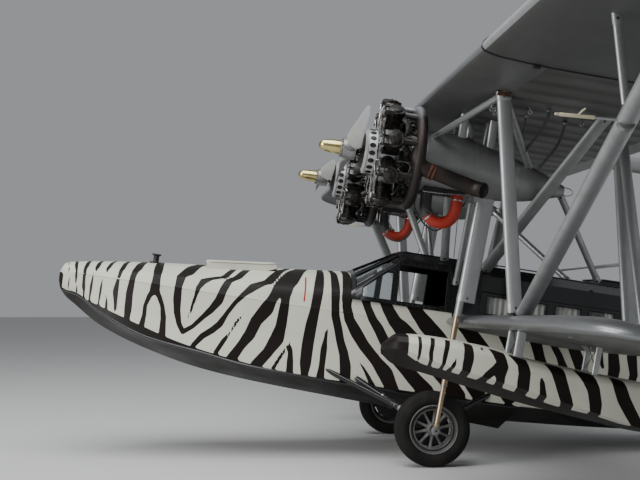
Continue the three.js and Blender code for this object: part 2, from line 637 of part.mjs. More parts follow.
function makeFrontFrame() {
  const head = V(4170, 3000, 3320);
  const vertical = strut(V(4545, 3000, 1325), head, 140, 72);
  const toNose = strut(V(4180, 3000, 3255), V(3800, 1600, 3040), 66);
  const toRear = strut(V(4180, 3000, 3240), V(4930, 1470, 2880), 75, 75);
  return cut(join(vertical, strutFoot(4545, 3000), toNose, toRear), underUpper, overLower,
    moved(nacelle, 0, GAP, GAP));
}
const frontFrame = makeFrontFrame();
addPair('front_strut_frame', frontFrame, SILVER);

// The long strut out to the upper wing, with its jury strut and the air speed probe ahead of it
function makeOuterFrame() {
  const foot = V(4610, 3075, 1325);
  const head = V(4215, 7400, 3330);
  const jury = foot.clone().lerp(head, 0.655);
  const whole = join(strut(foot, head, 150, 72), strutFoot(4605, 3072),
    strut(jury, V(4180, jury.y, 3345), 60, 40), strut(jury, jury.clone().add(V(-500, 0, -30)), 28, 28, 6));
  return cut(whole, underPanel, underUpper, overLower, moved(frontFrame, GAP, GAP, 0));
}
addPair('outer_strut', makeOuterFrame(), SILVER);

addPair('rear_cabane_strut', cut(strut(V(4780, 560, 1790), V(5310, 2600, 3350), 145, 50),
  underUpper, overRoof, overCockpit), SILVER);

function makeRearFrame() {
  const head = V(5625, 2075, 3350);
  const whole = join(strut(head, V(5680, 3030, 1110), 150, 66),
    strut(V(5640, 2110, 3350), V(5680, 3420, 1124), 116, 56));
  return cut(whole, underUpper, overLower);
}
addPair('rear_strut_frame', makeRearFrame(), SILVER);
addPair('nacelle_tail_strut', cut(strut(V(5270, 1440, 2715), V(6150, 500, 1860), 76),
  overRoof, moved(nacelle, GAP, -GAP, -GAP)), SILVER);

// Undercarriage
const axleAt = (y) => V(WHEEL.x, y, WHEEL.z);

function makeGear() {
  const axle = strut(axleAt(1150), axleAt(1665), 2 * WHEEL.axle, 2 * WHEEL.axle, 16);
  const inner = axleAt(1185);
  const frontRoot = V(3420, 735, 420);
  const legs = [
    strut(frontRoot, inner, 70, 70, 6),
    strut(V(3080, 735, 470), frontRoot.clone().lerp(inner, 0.62), 60, 60, 6),
    strut(V(5000, 740, 430), inner, 70, 70, 6),
  ];
  const oleo = strut(axleAt(1628), V(4330, 1545, 1240), 74, 60);
  const fork = box(WHEEL.x - 60, WHEEL.x + 60, 1600, 1660, WHEEL.z - 60, WHEEL.z + 60);
  return cut(join(axle, ...legs, oleo, fork), moved(hullOuter, 0, GAP, -GAP), moved(lowerPanel, 0, 0, -GAP));
}
addPair('landing_gear_leg', makeGear(), BLACK);

const TYRE = [
  [-0.36, 0.6], [-0.5, 0.72], [-0.5, 0.84], [-0.40, 0.95], [-0.2, 1], [0.2, 1], [0.40, 0.95], [0.5, 0.84],
  [0.5, 0.72], [0.36, 0.6], [-0.36, 0.6],
];

// Turned so that one flat of the tyre lies on the ground
const rolled = (geometry, sides) => geometry.rotateY(Math.PI / sides - NOSE_UP);

function makeTyre() {
  const profile = TYRE.map(([along, radius]) => [along * WHEEL.width, radius * WHEEL.radius]);
  return rolled(turned(profile, WHEEL.sides, 'y'), WHEEL.sides).translate(WHEEL.x, WHEEL.y, WHEEL.z);
}
addPair('main_tyre', makeTyre(), RUBBER);

function makeWheel() {
  const seat = WHEEL.radius * 0.6 - GAP;
  const rim = turned([[-95, seat], [95, seat], [95, seat - 28], [40, seat - 60], [-40, seat - 60],
    [-95, seat - 28], [-95, seat]], WHEEL.sides, 'y');
  const bore = WHEEL.axle + 0.95;
  const hub = turned([[-100, bore], [-100, 70], [100, 70], [100, bore], [-100, bore]], 16, 'y');
  const spokes = [];
  for (let i = 0; i < 10; i += 1) {
    spokes.push(box(-16, 16, 0, 60, 60, seat - 50).rotateY((2 * Math.PI * i) / 10));
  }
  return rolled(join(rim, hub, ...spokes), WHEEL.sides).translate(WHEEL.x, WHEEL.y, WHEEL.z);
}
addPair('main_wheel', makeWheel(), STEEL);

function makeTailFork() {
  const ahead = TAIL_WHEEL.trail;
  const pin = strut(forkPoint(190, ahead), forkPoint(400, ahead), 2 * TAIL_PIN.radius, 2 * TAIL_PIN.radius, 16);
  const crown = strut(forkPoint(165, ahead - 60), forkPoint(165, ahead + 10), 60, 120);
  const arms = [-1, 1].map((side) => {
    const offset = V(0, side * 52, 0);
    return strut(forkPoint(170, ahead - 40).add(offset), forkPoint(-15, 0).add(offset), 50, 16);
  });
  const axle = strut(tailHub.clone().add(V(0, -58, 0)), tailHub.clone().add(V(0, 58, 0)), 30, 30, 16);
  return join(pin, crown, ...arms, axle);
}
add('tail_fork', makeTailFork(), STEEL);

function makeTailWheel() {
  const outline = [[-35, 16], [-35, 100], [-22, 122], [-8, TAIL_WHEEL.radius], [8, TAIL_WHEEL.radius], [22, 122],
    [35, 100], [35, 16], [-35, 16]];
  return rolled(turned(outline, TAIL_WHEEL.sides, 'y'), TAIL_WHEEL.sides).translate(tailHub.x, 0, tailHub.z);
}
add('tail_wheel', makeTailWheel(), RUBBER);

// Tail booms, seated on the upper wing over its rear spar: [x, z, width, height]
const BOOM_SECTIONS = [
  [4800, 3640, 50, 50], [5050, 3630, 130, 170], [5300, 3620, 150, 214], [7800, 3618, 150, 214],
  [11090, 3632, 96, 130],
];
const overUpper = moved(wingCentre, 0, 0, GAP);

function makeBoom() {
  const rings = BOOM_SECTIONS.map(([x, z, width, height]) =>
    ovalRing(V(x, ENGINE.y, z), V(0, 1, 0), V(0, 0, 1), width, height, 10));
  const pylon = strut(V(5640, ENGINE.y, 3430), V(5640, ENGINE.y, 3600), 120, 40, 6);
  return cut(join(loft(rings), pylon), overUpper);
}
const boom = makeBoom();
addPair('tail_boom', boom, SILVER);

// A section of the tailplane at y, from its nose at x to the hinge post
const planeRing = (y, nose, half) => {
  const post = TAIL.hinge - 40;
  const thickest = nose + (post - nose) * 0.25;
  return [V(nose, y, TAIL.z), V(thickest, y, TAIL.z + half), V(post, y, TAIL.z + half * 0.7),
    V(post, y, TAIL.z - half * 0.7), V(thickest, y, TAIL.z - half)];
};

const FIN = { x: 10520, top: 4580, hinge: 11230, half: 38 };
const RUDDER = { trail: 12270, top: 4730, foot: 3830, half: 26 };

const plate = (outline, half) =>
  loft([-half, half].map((y) => outline.map(([x, z]) => V(x, ENGINE.y + y, z))));

function makeTailplane() {
  const tip = TAIL.half - 260;
  const plane = loft([planeRing(-TAIL.half, TAIL.lead + 260, 30), planeRing(-tip, TAIL.lead, 50),
    planeRing(tip, TAIL.lead, 50), planeRing(TAIL.half, TAIL.lead + 260, 30)]);
  const fin = plate([[FIN.x, TAIL.z], [FIN.x + 120, 4200], [FIN.x + 300, 4490], [FIN.x + 480, FIN.top],
    [FIN.hinge - 40, FIN.top + 30], [FIN.hinge - 40, 3840], [TAIL.hinge - 60, TAIL.z + 20],
    [TAIL.hinge - 60, TAIL.z]], FIN.half);
  const reach = HINGE_NOSE + GAP;
  const lug = (y) => box(TAIL.hinge - 60, TAIL.hinge - reach, y - 12, y + 12, TAIL.z - 20, TAIL.z + 20);
  const finLug = (z) => box(FIN.hinge - 60, FIN.hinge - reach, ENGINE.y - 16, ENGINE.y + 16, z, z + 24);
  const finWhole = join(fin, finLug(3960), finLug(4460));
  return join(plane, finWhole, mirrored(finWhole), ...[-2000, -700, 700, 2000].map(lug));
}
const tailplane = cut(makeTailplane(), moved(boom, 0, 0, GAP), mirrored(moved(boom, 0, 0, GAP)));
add('tailplane_and_fins', tailplane, SILVER);

function makeElevator() {
  const ring = (y, trail, half) => [V(TAIL.hinge, y, TAIL.z + half), V(trail, y, TAIL.z + 5),
    V(trail, y, TAIL.z - 5), V(TAIL.hinge, y, TAIL.z - half)];
  const panel = loft([ring(-TAIL.half, TAIL.trail - 300, 22), ring(-TAIL.half + 300, TAIL.trail, HINGE_NOSE),
    ring(TAIL.half - 300, TAIL.trail, HINGE_NOSE), ring(TAIL.half, TAIL.trail - 300, 22)]);
  const nose = turned([[-TAIL.half, 0], [-TAIL.half, HINGE_NOSE], [TAIL.half, HINGE_NOSE], [TAIL.half, 0]],
    12, 'y').translate(TAIL.hinge, 0, TAIL.z);
  return join(panel, nose);
}
add('elevator', makeElevator(), SILVER);

function makeRudder() {
  const blade = plate([[FIN.hinge, RUDDER.foot + 20], [FIN.hinge, 4630], [FIN.hinge + 150, RUDDER.top],
    [FIN.hinge + 480, RUDDER.top], [RUDDER.trail - 180, 4620], [RUDDER.trail, 4460],
    [RUDDER.trail - 60, 4350], [11900, 4200]], RUDDER.half);
  const post = turned([[RUDDER.foot, 0], [RUDDER.foot, HINGE_NOSE], [4610, HINGE_NOSE], [4610, 0]], 12, 'y')
    .rotateX(Math.PI / 2).translate(FIN.hinge, ENGINE.y, 0);
  return join(blade, post);
}
addPair('rudder', makeRudder(), SILVER);

function makeTailStruts() {
  const foot = V(8850, 110, 1330);
  const heads = [V(9900, ENGINE.y - 10, 3590), V(10940, ENGINE.y - 10, 3580)];
  const whole = join(...heads.map((head) => strut(foot, head, 96, 50, 6)));
  return cut(whole, moved(hullOuter, 0, 0, GAP), moved(boom, 0, 0, -GAP));
}
addPair('tail_strut', makeTailStruts(), SILVER);

export default group;
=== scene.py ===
# %% [markdown]
# # A flying boat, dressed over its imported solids
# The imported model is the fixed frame: it gives every body, joint and size. What follows
# adds the looks piece by piece. The airframe is drawn level in millimetres, as in a
# workshop drawing, because a table of stations is easiest to read that way. One function
# then turns it eight degrees nose up and sets it on its wheels, in metres.

# %% Load the frame
import math
import random

import bmesh
import bpy
import numpy as np
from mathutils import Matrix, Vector


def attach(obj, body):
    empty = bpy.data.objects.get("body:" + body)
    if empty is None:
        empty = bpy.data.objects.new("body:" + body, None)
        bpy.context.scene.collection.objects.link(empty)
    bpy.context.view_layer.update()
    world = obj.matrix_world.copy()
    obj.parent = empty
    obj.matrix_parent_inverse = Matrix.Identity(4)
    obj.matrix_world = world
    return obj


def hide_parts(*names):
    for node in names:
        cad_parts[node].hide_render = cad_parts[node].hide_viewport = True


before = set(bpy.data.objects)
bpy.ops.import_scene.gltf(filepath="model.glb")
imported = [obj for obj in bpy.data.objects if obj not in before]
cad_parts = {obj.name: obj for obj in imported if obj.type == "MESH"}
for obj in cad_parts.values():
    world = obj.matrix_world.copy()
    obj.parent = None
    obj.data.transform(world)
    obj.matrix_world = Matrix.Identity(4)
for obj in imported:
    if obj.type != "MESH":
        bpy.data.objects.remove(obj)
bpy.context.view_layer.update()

# %% From the level drawing to the parked aircraft
NOSE_UP = math.radians(8)
BOW_DATUM = (-6.456, 0.0, 0.9587)


def parked(points):
    """Drawn millimetres (x aft, y starboard, z up) as metres on the ground."""
    p = np.asarray(points, float) / 1000
    x, y, z = p[..., 0], p[..., 1], p[..., 2]
    along = x * math.cos(NOSE_UP) + z * math.sin(NOSE_UP) + BOW_DATUM[0]
    height = z * math.cos(NOSE_UP) - x * math.sin(NOSE_UP) + BOW_DATUM[2]
    return np.stack([along, y, height], -1)


def drawn(points):
    """The way back: metres on the ground as drawn millimetres."""
    p = np.asarray(points, float) - BOW_DATUM
    x, y, z = p[..., 0], p[..., 1], p[..., 2]
    along = x * math.cos(NOSE_UP) - z * math.sin(NOSE_UP)
    up = x * math.sin(NOSE_UP) + z * math.cos(NOSE_UP)
    return np.stack([along, y, up], -1) * 1000


print("bow datum on the ground frame:", parked([0, 0, 0]).round(3).tolist())

# %% [markdown]
# ## Camera, floor and light
# The photograph is taken from the port side, close to the ground, with the bow to the
# left. A long lens setting of 63 mm on a 36 mm sensor gives its flat perspective. The day
# is overcast, so one very large soft light above does most of the work, with a weaker one
# from the side to keep the undersides of the wings readable.

# %% Camera
camera_data = bpy.data.cameras.new("camera")
camera_data.lens = 63
camera_data.sensor_width = 36
camera_data.clip_end = 200
camera = bpy.data.objects.new("camera", camera_data)
camera.location = (-4.528, -13.14, 1.80)
camera.rotation_euler = (math.radians(90 + 2.81), 0, math.radians(-5.356))
bpy.context.scene.collection.objects.link(camera)
bpy.context.scene.camera = camera
print("camera at", tuple(camera.location))


# %% Floor
FLOOR_SIZE = 160


def plain_floor():
    data = bpy.data.meshes.new("floor")
    half = FLOOR_SIZE / 2
    data.from_pydata([(-half, -half, 0), (half, -half, 0), (half, half, 0), (-half, half, 0)],
                     [], [(0, 1, 2, 3)])
    floor = bpy.data.objects.new("floor", data)
    bpy.context.scene.collection.objects.link(floor)
    paint = bpy.data.materials.new("floor_paint")
    paint.use_nodes = True
    surface = paint.node_tree.nodes["Principled BSDF"]
    surface.inputs["Base Color"].default_value = (0.56, 0.56, 0.55, 1)
    surface.inputs["Roughness"].default_value = 0.9
    data.materials.append(paint)


plain_floor()


# %% Soft daylight
def area_light(name, place, target, size, watts, colour):
    data = bpy.data.lights.new(name, "AREA")
    data.shape = "SQUARE"
    data.size = size
    data.energy = watts
    data.color = colour
    light = bpy.data.objects.new(name, data)
    light.location = place
    aim = Vector(target) - Vector(place)
    light.rotation_euler = aim.to_track_quat("-Z", "Y").to_euler()
    bpy.context.scene.collection.objects.link(light)


area_light("overcast_sky", (-5, -6, 16), (-1, 0, 1), 16, 3400, (0.97, 0.985, 1.0))
area_light("open_side", (-20, -11, 7), (-2, 0, 2), 9, 2300, (1.0, 0.99, 0.97))
world = bpy.data.worlds.new("overcast")
world.use_nodes = True
world.node_tree.nodes["Background"].inputs["Color"].default_value = (0.80, 0.83, 0.87, 1)
world.node_tree.nodes["Background"].inputs["Strength"].default_value = 0.38
bpy.context.scene.world = world

# %% [markdown]
# ## A drawing board for shapes
# Most of this aircraft is sheet and tube: rings of points joined into a skin, profiles
# turned round an axis, and plain blocks. `Shape` collects such patches in drawing
# millimetres and makes one mesh of them. Its object sits at the origin and its place is
# in its points, as the solids of the frame do.


# %% The drawing board
FORWARD, AFT, STARBOARD, UP, DOWN = (-1, 0, 0), (1, 0, 0), (0, 1, 0), (0, 0, 1), (0, 0, -1)


class Shape:
    """Patches of faces in drawn millimetres that become one mesh."""

    def __init__(self):
        self.points = []
        self.faces = []
        self.looks = []

    def patch(self, points, faces, look=0):
        first = sum(len(block) for block in self.points)
        self.points.append(np.asarray(points, float).reshape(-1, 3))
        self.faces += [tuple(first + i for i in face) for face in faces]
        self.looks += [look] * len(faces)
        return self

    def rings(self, rings, look=0, around=True, ends=True):
        """A skin over rings with equal counts of points."""
        rows = np.asarray(rings, float)
        count = rows.shape[1]
        wide = count if around else count - 1
        faces = []
        for r in range(len(rows) - 1):
            for i in range(wide):
                j = (i + 1) % count
                faces.append((r * count + i, r * count + j, (r + 1) * count + j, (r + 1) * count + i))
        if ends:
            faces.append(tuple(range(count))[::-1])
            faces.append(tuple((len(rows) - 1) * count + i for i in range(count)))
        return self.patch(rows, faces, look)

    def turned(self, start, direction, profile, sides=32, look=0, closed=False):
        """A profile of (distance along, radius) turned round an axis."""
        axis = np.asarray(direction, float)
        axis = axis / np.linalg.norm(axis)
        side, up = across(axis)
        rows = []
        for along, radius in profile:
            turn = np.linspace(0, 2 * math.pi, sides, endpoint=False)
            rows.append(np.asarray(start, float) + axis * along
                        + np.outer(np.cos(turn), side) * radius + np.outer(np.sin(turn), up) * radius)
        if closed:
            rows.append(rows[0])
        return self.rings(rows, look, ends=not closed)

    def block(self, low, high, look=0):
        corners = [(x, y, z) for x in (low[0], high[0]) for y in (low[1], high[1]) for z in (low[2], high[2])]
        return self.patch(corners, [(0, 1, 3, 2), (4, 6, 7, 5), (0, 4, 5, 1), (2, 3, 7, 6), (0, 2, 6, 4),
                                    (1, 5, 7, 3)], look)

    def merge(self, other):
        first = sum(len(block) for block in self.points)
        self.points += other.points
        self.faces += [tuple(first + i for i in face) for face in other.faces]
        self.looks += other.looks
        return self

    def mirrored(self):
        copy = Shape()
        copy.points = [block * (1, -1, 1) for block in self.points]
        copy.faces = [face[::-1] for face in self.faces]
        copy.looks = list(self.looks)
        return copy

    def piece(self, name, materials, body="airframe", nodes=(), slot=None, sharp=38, merge=0.00005):
        data = bpy.data.meshes.new(name)
        data.from_pydata(parked(np.concatenate(self.points)).tolist(), [], self.faces)
        data.polygons.foreach_set("material_index", self.looks)
        work = bmesh.new()
        work.from_mesh(data)
        bmesh.ops.remove_doubles(work, verts=work.verts, dist=merge)
        bmesh.ops.recalc_face_normals(work, faces=work.faces)
        work.to_mesh(data)
        work.free()
        piece = bpy.data.objects.new(name, data)
        bpy.context.scene.collection.objects.link(piece)
        return dressed(piece, materials, body, nodes, sharp)


def across(axis):
    """Two unit vectors square to an axis."""
    other = np.array([0.0, 0.0, 1.0]) if abs(axis[2]) < 0.8 else np.array([1.0, 0.0, 0.0])
    side = np.cross(axis, other)
    side = side / np.linalg.norm(side)
    return side, np.cross(side, axis)


def dressed(piece, materials, body, nodes=(), sharp=38):
    """Gives a finished mesh its materials, its body and the solids that it stands for."""
    data = piece.data
    for material in materials:
        if material.name not in data.materials:
            data.materials.append(material)
    data.shade_smooth()
    data.set_sharp_from_angle(angle=math.radians(sharp))
    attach(piece, body)
    if nodes:
        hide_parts(*([nodes] if isinstance(nodes, str) else nodes))
    print(f"{piece.name}: {len(data.polygons)} faces")
    return piece


# %% Curves through a few stations
def smooth(stations, values, where):
    """A curve through the stations that never overshoots them."""
    x = np.asarray(stations, float)
    y = np.asarray(values, float)
    step = np.diff(x)
    slope = np.diff(y) / step
    inner = np.zeros(len(x))
    for i in range(1, len(x) - 1):
        if slope[i - 1] * slope[i] > 0:
            left = 2 * step[i] + step[i - 1]
            right = step[i] + 2 * step[i - 1]
            inner[i] = (left + right) / (left / slope[i - 1] + right / slope[i])
    inner[0], inner[-1] = slope[0], slope[-1]
    at = np.clip(np.asarray(where, float), x[0], x[-1])
    k = np.clip(np.searchsorted(x, at, side="right") - 1, 0, len(x) - 2)
    t = (at - x[k]) / step[k]
    return ((2 * t**3 - 3 * t**2 + 1) * y[k] + (t**3 - 2 * t**2 + t) * step[k] * inner[k]
            + (3 * t**2 - 2 * t**3) * y[k + 1] + (t**3 - t**2) * step[k] * inner[k + 1])


def smooth_rows(table, where):
    """Every column of a table of stations, smoothed; the first column is the station."""
    rows = np.asarray(table, float)
    return np.stack([smooth(rows[:, 0], rows[:, k], where) for k in range(1, rows.shape[1])], -1)


def coordinates(data):
    """The points of a mesh as rows of x, y and z."""
    flat = np.empty(len(data.vertices) * 3)
    data.vertices.foreach_get("co", flat)
    return flat.reshape(-1, 3)


def of_mesh(data):
    """A finished mesh, in drawn millimetres, as a shape."""
    return Shape().patch(coordinates(data), [tuple(face.vertices) for face in data.polygons])


def both_sides(shape, title, materials, nodes, slot, sharp, body=None):
    """A starboard shape and its mirror image, each as a piece of its own."""
    made = []
    for side, own in (("starboard", shape), ("port", shape.mirrored())):
        made.append(own.piece(f"{title}_{side}", materials, body=f"{body}_{side}" if body else "airframe",
                              nodes=f"{nodes}_{side}" if nodes else (), slot=slot, sharp=sharp))
    return made


def four_corners(x0, x1, y0, y1):
    return [(x0, y0), (x1, y0), (x1, y1), (x0, y1)]


def rolled(shape, angle):
    """A copy of the shape turned about the x axis."""
    c, s = math.cos(angle), math.sin(angle)
    copy = Shape()
    copy.points = [block @ np.array([[1, 0, 0], [0, c, s], [0, -s, c]]) for block in shape.points]
    copy.faces = list(shape.faces)
    copy.looks = list(shape.looks)
    return copy


print("a smoothed value:", round(float(smooth([0, 1, 2], [0, 1, 1.5], 0.5)), 3))

# %% [markdown]
# ## Finishes
# A painted aircraft is never one even colour: rain leaves streaks, hands and boots leave
# dull patches, and dust gathers. Two small shader groups hold what every finish shares.
# `weathering` mixes a clean and a worn colour by soft noise and varies the roughness.
# `fine_relief` gives the height of a slightly uneven surface. Each material sets its own
# amounts, so one group serves paint, metal and rubber.


# %% Shared shader groups
def new_group(name, inputs, outputs):
    group = bpy.data.node_groups.new(name, "ShaderNodeTree")
    for label, kind, value in inputs:
        socket = group.interface.new_socket(label, in_out="INPUT", socket_type=kind)
        socket.default_value = value
    for label, kind in outputs:
        group.interface.new_socket(label, in_out="OUTPUT", socket_type=kind)
    return group, group.nodes.new("NodeGroupInput"), group.nodes.new("NodeGroupOutput")


def noise_node(tree, scale, detail=4.0):
    node = tree.nodes.new("ShaderNodeTexNoise")
    node.inputs["Scale"].default_value = scale
    node.inputs["Detail"].default_value = detail
    return node


def map_range(tree, source, low, high, out_low=0.0, out_high=1.0):
    node = tree.nodes.new("ShaderNodeMapRange")
    tree.links.new(source, node.inputs["Value"])
    for label, value in (("From Min", low), ("From Max", high), ("To Min", out_low), ("To Max", out_high)):
        node.inputs[label].default_value = value
    return node.outputs["Result"]


def mixed(tree, factor, first, second):
    """Mixes two colours, each a socket or a plain colour."""
    node = tree.nodes.new("ShaderNodeMix")
    node.data_type = "RGBA"
    if isinstance(factor, float):
        node.inputs[0].default_value = factor
    else:
        tree.links.new(factor, node.inputs[0])
    for label, value in ((6, first), (7, second)):
        if isinstance(value, tuple):
            node.inputs[label].default_value = (*value, 1)
        else:
            tree.links.new(value, node.inputs[label])
    return node.outputs[2]


def math_node(tree, operation, first, second=None):
    node = tree.nodes.new("ShaderNodeMath")
    node.operation = operation
    for label, value in ((0, first), (1, second)):
        if value is None:
            continue
        if isinstance(value, (int, float)):
            node.inputs[label].default_value = value
        else:
            tree.links.new(value, node.inputs[label])
    return node.outputs[0]


def make_weathering():
    group, inside, outside = new_group("weathering", [
        ("Clean", "NodeSocketColor", (0.5, 0.5, 0.5, 1)), ("Worn", "NodeSocketColor", (0.3, 0.3, 0.3, 1)),
        ("Amount", "NodeSocketFloat", 0.4), ("Patch Scale", "NodeSocketFloat", 3.0),
        ("Roughness", "NodeSocketFloat", 0.4), ("Roughness Spread", "NodeSocketFloat", 0.15),
    ], [("Color", "NodeSocketColor"), ("Roughness", "NodeSocketFloat")])
    place = group.nodes.new("ShaderNodeTexCoord").outputs["Object"]
    stretched = group.nodes.new("ShaderNodeMapping")
    stretched.inputs["Scale"].default_value = (1.0, 1.0, 0.35)
    group.links.new(place, stretched.inputs["Vector"])
    patches = noise_node(group, 3.0, 6.0)
    group.links.new(stretched.outputs[0], patches.inputs["Vector"])
    group.links.new(inside.outputs["Patch Scale"], patches.inputs["Scale"])
    specks = noise_node(group, 90.0, 3.0)
    group.links.new(place, specks.inputs["Vector"])
    soft = map_range(group, patches.outputs["Fac"], 0.38, 0.68)
    fine = map_range(group, specks.outputs["Fac"], 0.45, 0.75)
    both = math_node(group, "ADD", math_node(group, "MULTIPLY", soft, 0.75),
                     math_node(group, "MULTIPLY", fine, 0.25))
    share = math_node(group, "MULTIPLY", both, inside.outputs["Amount"])
    mix = group.nodes.new("ShaderNodeMix")
    mix.data_type = "RGBA"
    group.links.new(share, mix.inputs[0])
    group.links.new(inside.outputs["Clean"], mix.inputs[6])
    group.links.new(inside.outputs["Worn"], mix.inputs[7])
    group.links.new(mix.outputs[2], outside.inputs["Color"])
    spread = math_node(group, "MULTIPLY", both, inside.outputs["Roughness Spread"])
    group.links.new(math_node(group, "ADD", inside.outputs["Roughness"], spread), outside.inputs["Roughness"])
    return group


def make_fine_relief():
    group, inside, outside = new_group("fine_relief", [
        ("Fine Scale", "NodeSocketFloat", 220.0), ("Broad Scale", "NodeSocketFloat", 5.0),
        ("Fine Share", "NodeSocketFloat", 0.3),
    ], [("Height", "NodeSocketFloat")])
    place = group.nodes.new("ShaderNodeTexCoord").outputs["Object"]
    heights = []
    for label, detail in (("Fine Scale", 2.0), ("Broad Scale", 3.0)):
        noise = noise_node(group, 1.0, detail)
        group.links.new(place, noise.inputs["Vector"])
        group.links.new(inside.outputs[label], noise.inputs["Scale"])
        heights.append(noise.outputs["Fac"])
    fine = math_node(group, "MULTIPLY", heights[0], inside.outputs["Fine Share"])
    group.links.new(math_node(group, "ADD", fine, heights[1]), outside.inputs["Height"])
    return group


weathering = make_weathering()
fine_relief = make_fine_relief()
print("shader groups:", [group.name for group in bpy.data.node_groups])


# %% One way to make a finish
def group_node(tree, group, **values):
    node = tree.nodes.new("ShaderNodeGroup")
    node.node_tree = group
    for label, value in values.items():
        socket = node.inputs[label.replace("_", " ")]
        socket.default_value = (*value, 1) if isinstance(value, tuple) else value
    return node


def start_finish(name, clean, worn, amount=0.4, patch=3.0, rough=0.4, spread=0.15, metallic=0.0,
                 relief=0.15, fine=220.0, broad=5.0, share=0.3, coat=0.0):
    """A Principled finish with weathered colour, uneven roughness and a slight relief."""
    material = bpy.data.materials.new(name)
    material.use_nodes = True
    tree = material.node_tree
    surface = tree.nodes["Principled BSDF"]
    worn_in = group_node(tree, weathering, Clean=clean, Worn=worn, Amount=amount, Patch_Scale=patch,
                         Roughness=rough, Roughness_Spread=spread)
    tree.links.new(worn_in.outputs["Color"], surface.inputs["Base Color"])
    tree.links.new(worn_in.outputs["Roughness"], surface.inputs["Roughness"])
    surface.inputs["Metallic"].default_value = metallic
    surface.inputs["Coat Weight"].default_value = coat
    height = group_node(tree, fine_relief, Fine_Scale=fine, Broad_Scale=broad, Fine_Share=share)
    bump = tree.nodes.new("ShaderNodeBump")
    bump.inputs["Strength"].default_value = relief
    bump.inputs["Distance"].default_value = 0.004
    tree.links.new(height.outputs["Height"], bump.inputs["Height"])
    tree.links.new(bump.outputs["Normal"], surface.inputs["Normal"])
    return material, tree, surface, worn_in, bump


def finish(*args, **values):
    return start_finish(*args, **values)[0]


black_gloss = finish("black_gloss", (0.006, 0.006, 0.007), (0.016, 0.016, 0.015), 0.5, rough=0.12,
                     spread=0.16, relief=0.04, coat=0.3)
strut_silver = finish("strut_silver", (0.42, 0.43, 0.435), (0.26, 0.265, 0.26), 0.6, patch=6.0, rough=0.32,
                      spread=0.16, metallic=0.7, relief=0.06)
steel = finish("dull_steel", (0.28, 0.28, 0.285), (0.16, 0.145, 0.13), 0.6, patch=14.0, rough=0.34,
               spread=0.2, metallic=0.85, relief=0.1)
dark_steel = finish("dark_steel", (0.028, 0.028, 0.03), (0.06, 0.048, 0.038), 0.6, patch=16.0, rough=0.42,
                    spread=0.2, metallic=0.5, relief=0.12)
tyre_rubber = finish("tyre_rubber", (0.010, 0.010, 0.010), (0.038, 0.035, 0.030), 0.55, patch=9.0, rough=0.75,
                     spread=0.2, relief=0.3, fine=420.0)
tyre_rubber.node_tree.nodes["Principled BSDF"].inputs["Specular IOR Level"].default_value = 0.15
inside_paint = finish("inside_paint", (0.10, 0.115, 0.10), (0.05, 0.05, 0.045), 0.5, patch=5.0, rough=0.6)
print("first finishes:", [m.name for m in bpy.data.materials][:8])

# %% [markdown]
# ## The hull
# The hull is a deep boat with a hard chine, a step under its middle and a decked bow. It
# is given by stations: at each distance from the bow the keel, the chine, two creases of
# the side, the shoulder and the deck. A box with a bevel would lose its lines, and a
# sculpted mesh would drift from the solid. So the same stations as the solid's are joined
# by smooth curves, and each ring is stepped finely enough to carry the painted stripes.
# Between the windscreen and the rear of the cabin the ring turns inwards at the sill and
# becomes the tub with its floor, so that one watertight skin makes both.

# %% Stations of the hull
# x, keel z, chine y z, lower crease y z, upper crease y z, shoulder y z, deck y z, deck centre z
FOREBODY = [
    (0, 1010, 40, 1020, 50, 1045, 60, 1080, 55, 1110, 30, 1135, 1142),
    (45, 905, 110, 930, 130, 980, 140, 1110, 125, 1170, 60, 1215, 1228),
    (222, 770, 215, 904, 235, 960, 250, 1134, 215, 1195, 110, 1250, 1272),
    (551, 570, 410, 735, 400, 840, 385, 1134, 335, 1215, 180, 1290, 1320),
    (1153, 366, 620, 532, 575, 775, 550, 1128, 480, 1240, 260, 1345, 1388),
    (1721, 243, 725, 459, 665, 765, 640, 1122, 560, 1260, 310, 1390, 1440),
    (2285, 180, 775, 383, 705, 760, 680, 1116, 605, 1285, 335, 1440, 1495),
    (3353, 115, 800, 338, 720, 755, 700, 1110, 640, 1345, 360, 1540, 1600),
    (4400, 60, 800, 330, 720, 755, 705, 1110, 660, 1500, 380, 1660, 1720),
    (5335, 0, 800, 330, 720, 755, 705, 1110, 680, 1600, 400, 1780, 1820),
]
AFTERBODY = [
    (5338, 95, 800, 345, 720, 755, 705, 1110, 680, 1600, 400, 1780, 1820),
    (6446, 162, 740, 380, 690, 755, 690, 1110, 660, 1600, 400, 1800, 1850),
    (7000, 210, 670, 430, 640, 770, 650, 1115, 610, 1600, 400, 1800, 1870),
    (7900, 350, 500, 560, 490, 840, 500, 1130, 460, 1480, 290, 1640, 1695),
    (8700, 560, 300, 730, 310, 950, 320, 1150, 290, 1340, 180, 1440, 1475),
    (9300, 760, 90, 880, 100, 1010, 110, 1160, 100, 1250, 60, 1310, 1330),
]
SILL = 1270
FLOOR = 480
STERN = 9300
STEP = {"front": 5335, "rear": 5338}
TUB = {"front": 3340, "rear": 6950}
TUB_HALF_WIDTH = ([4780, 6450, 6950], [655, 640, 595])
OPEN_TOP = {"front": 3300, "rear": 7000}


def hull_row(x):
    return smooth_rows(FOREBODY if x <= STEP["front"] else AFTERBODY, x)


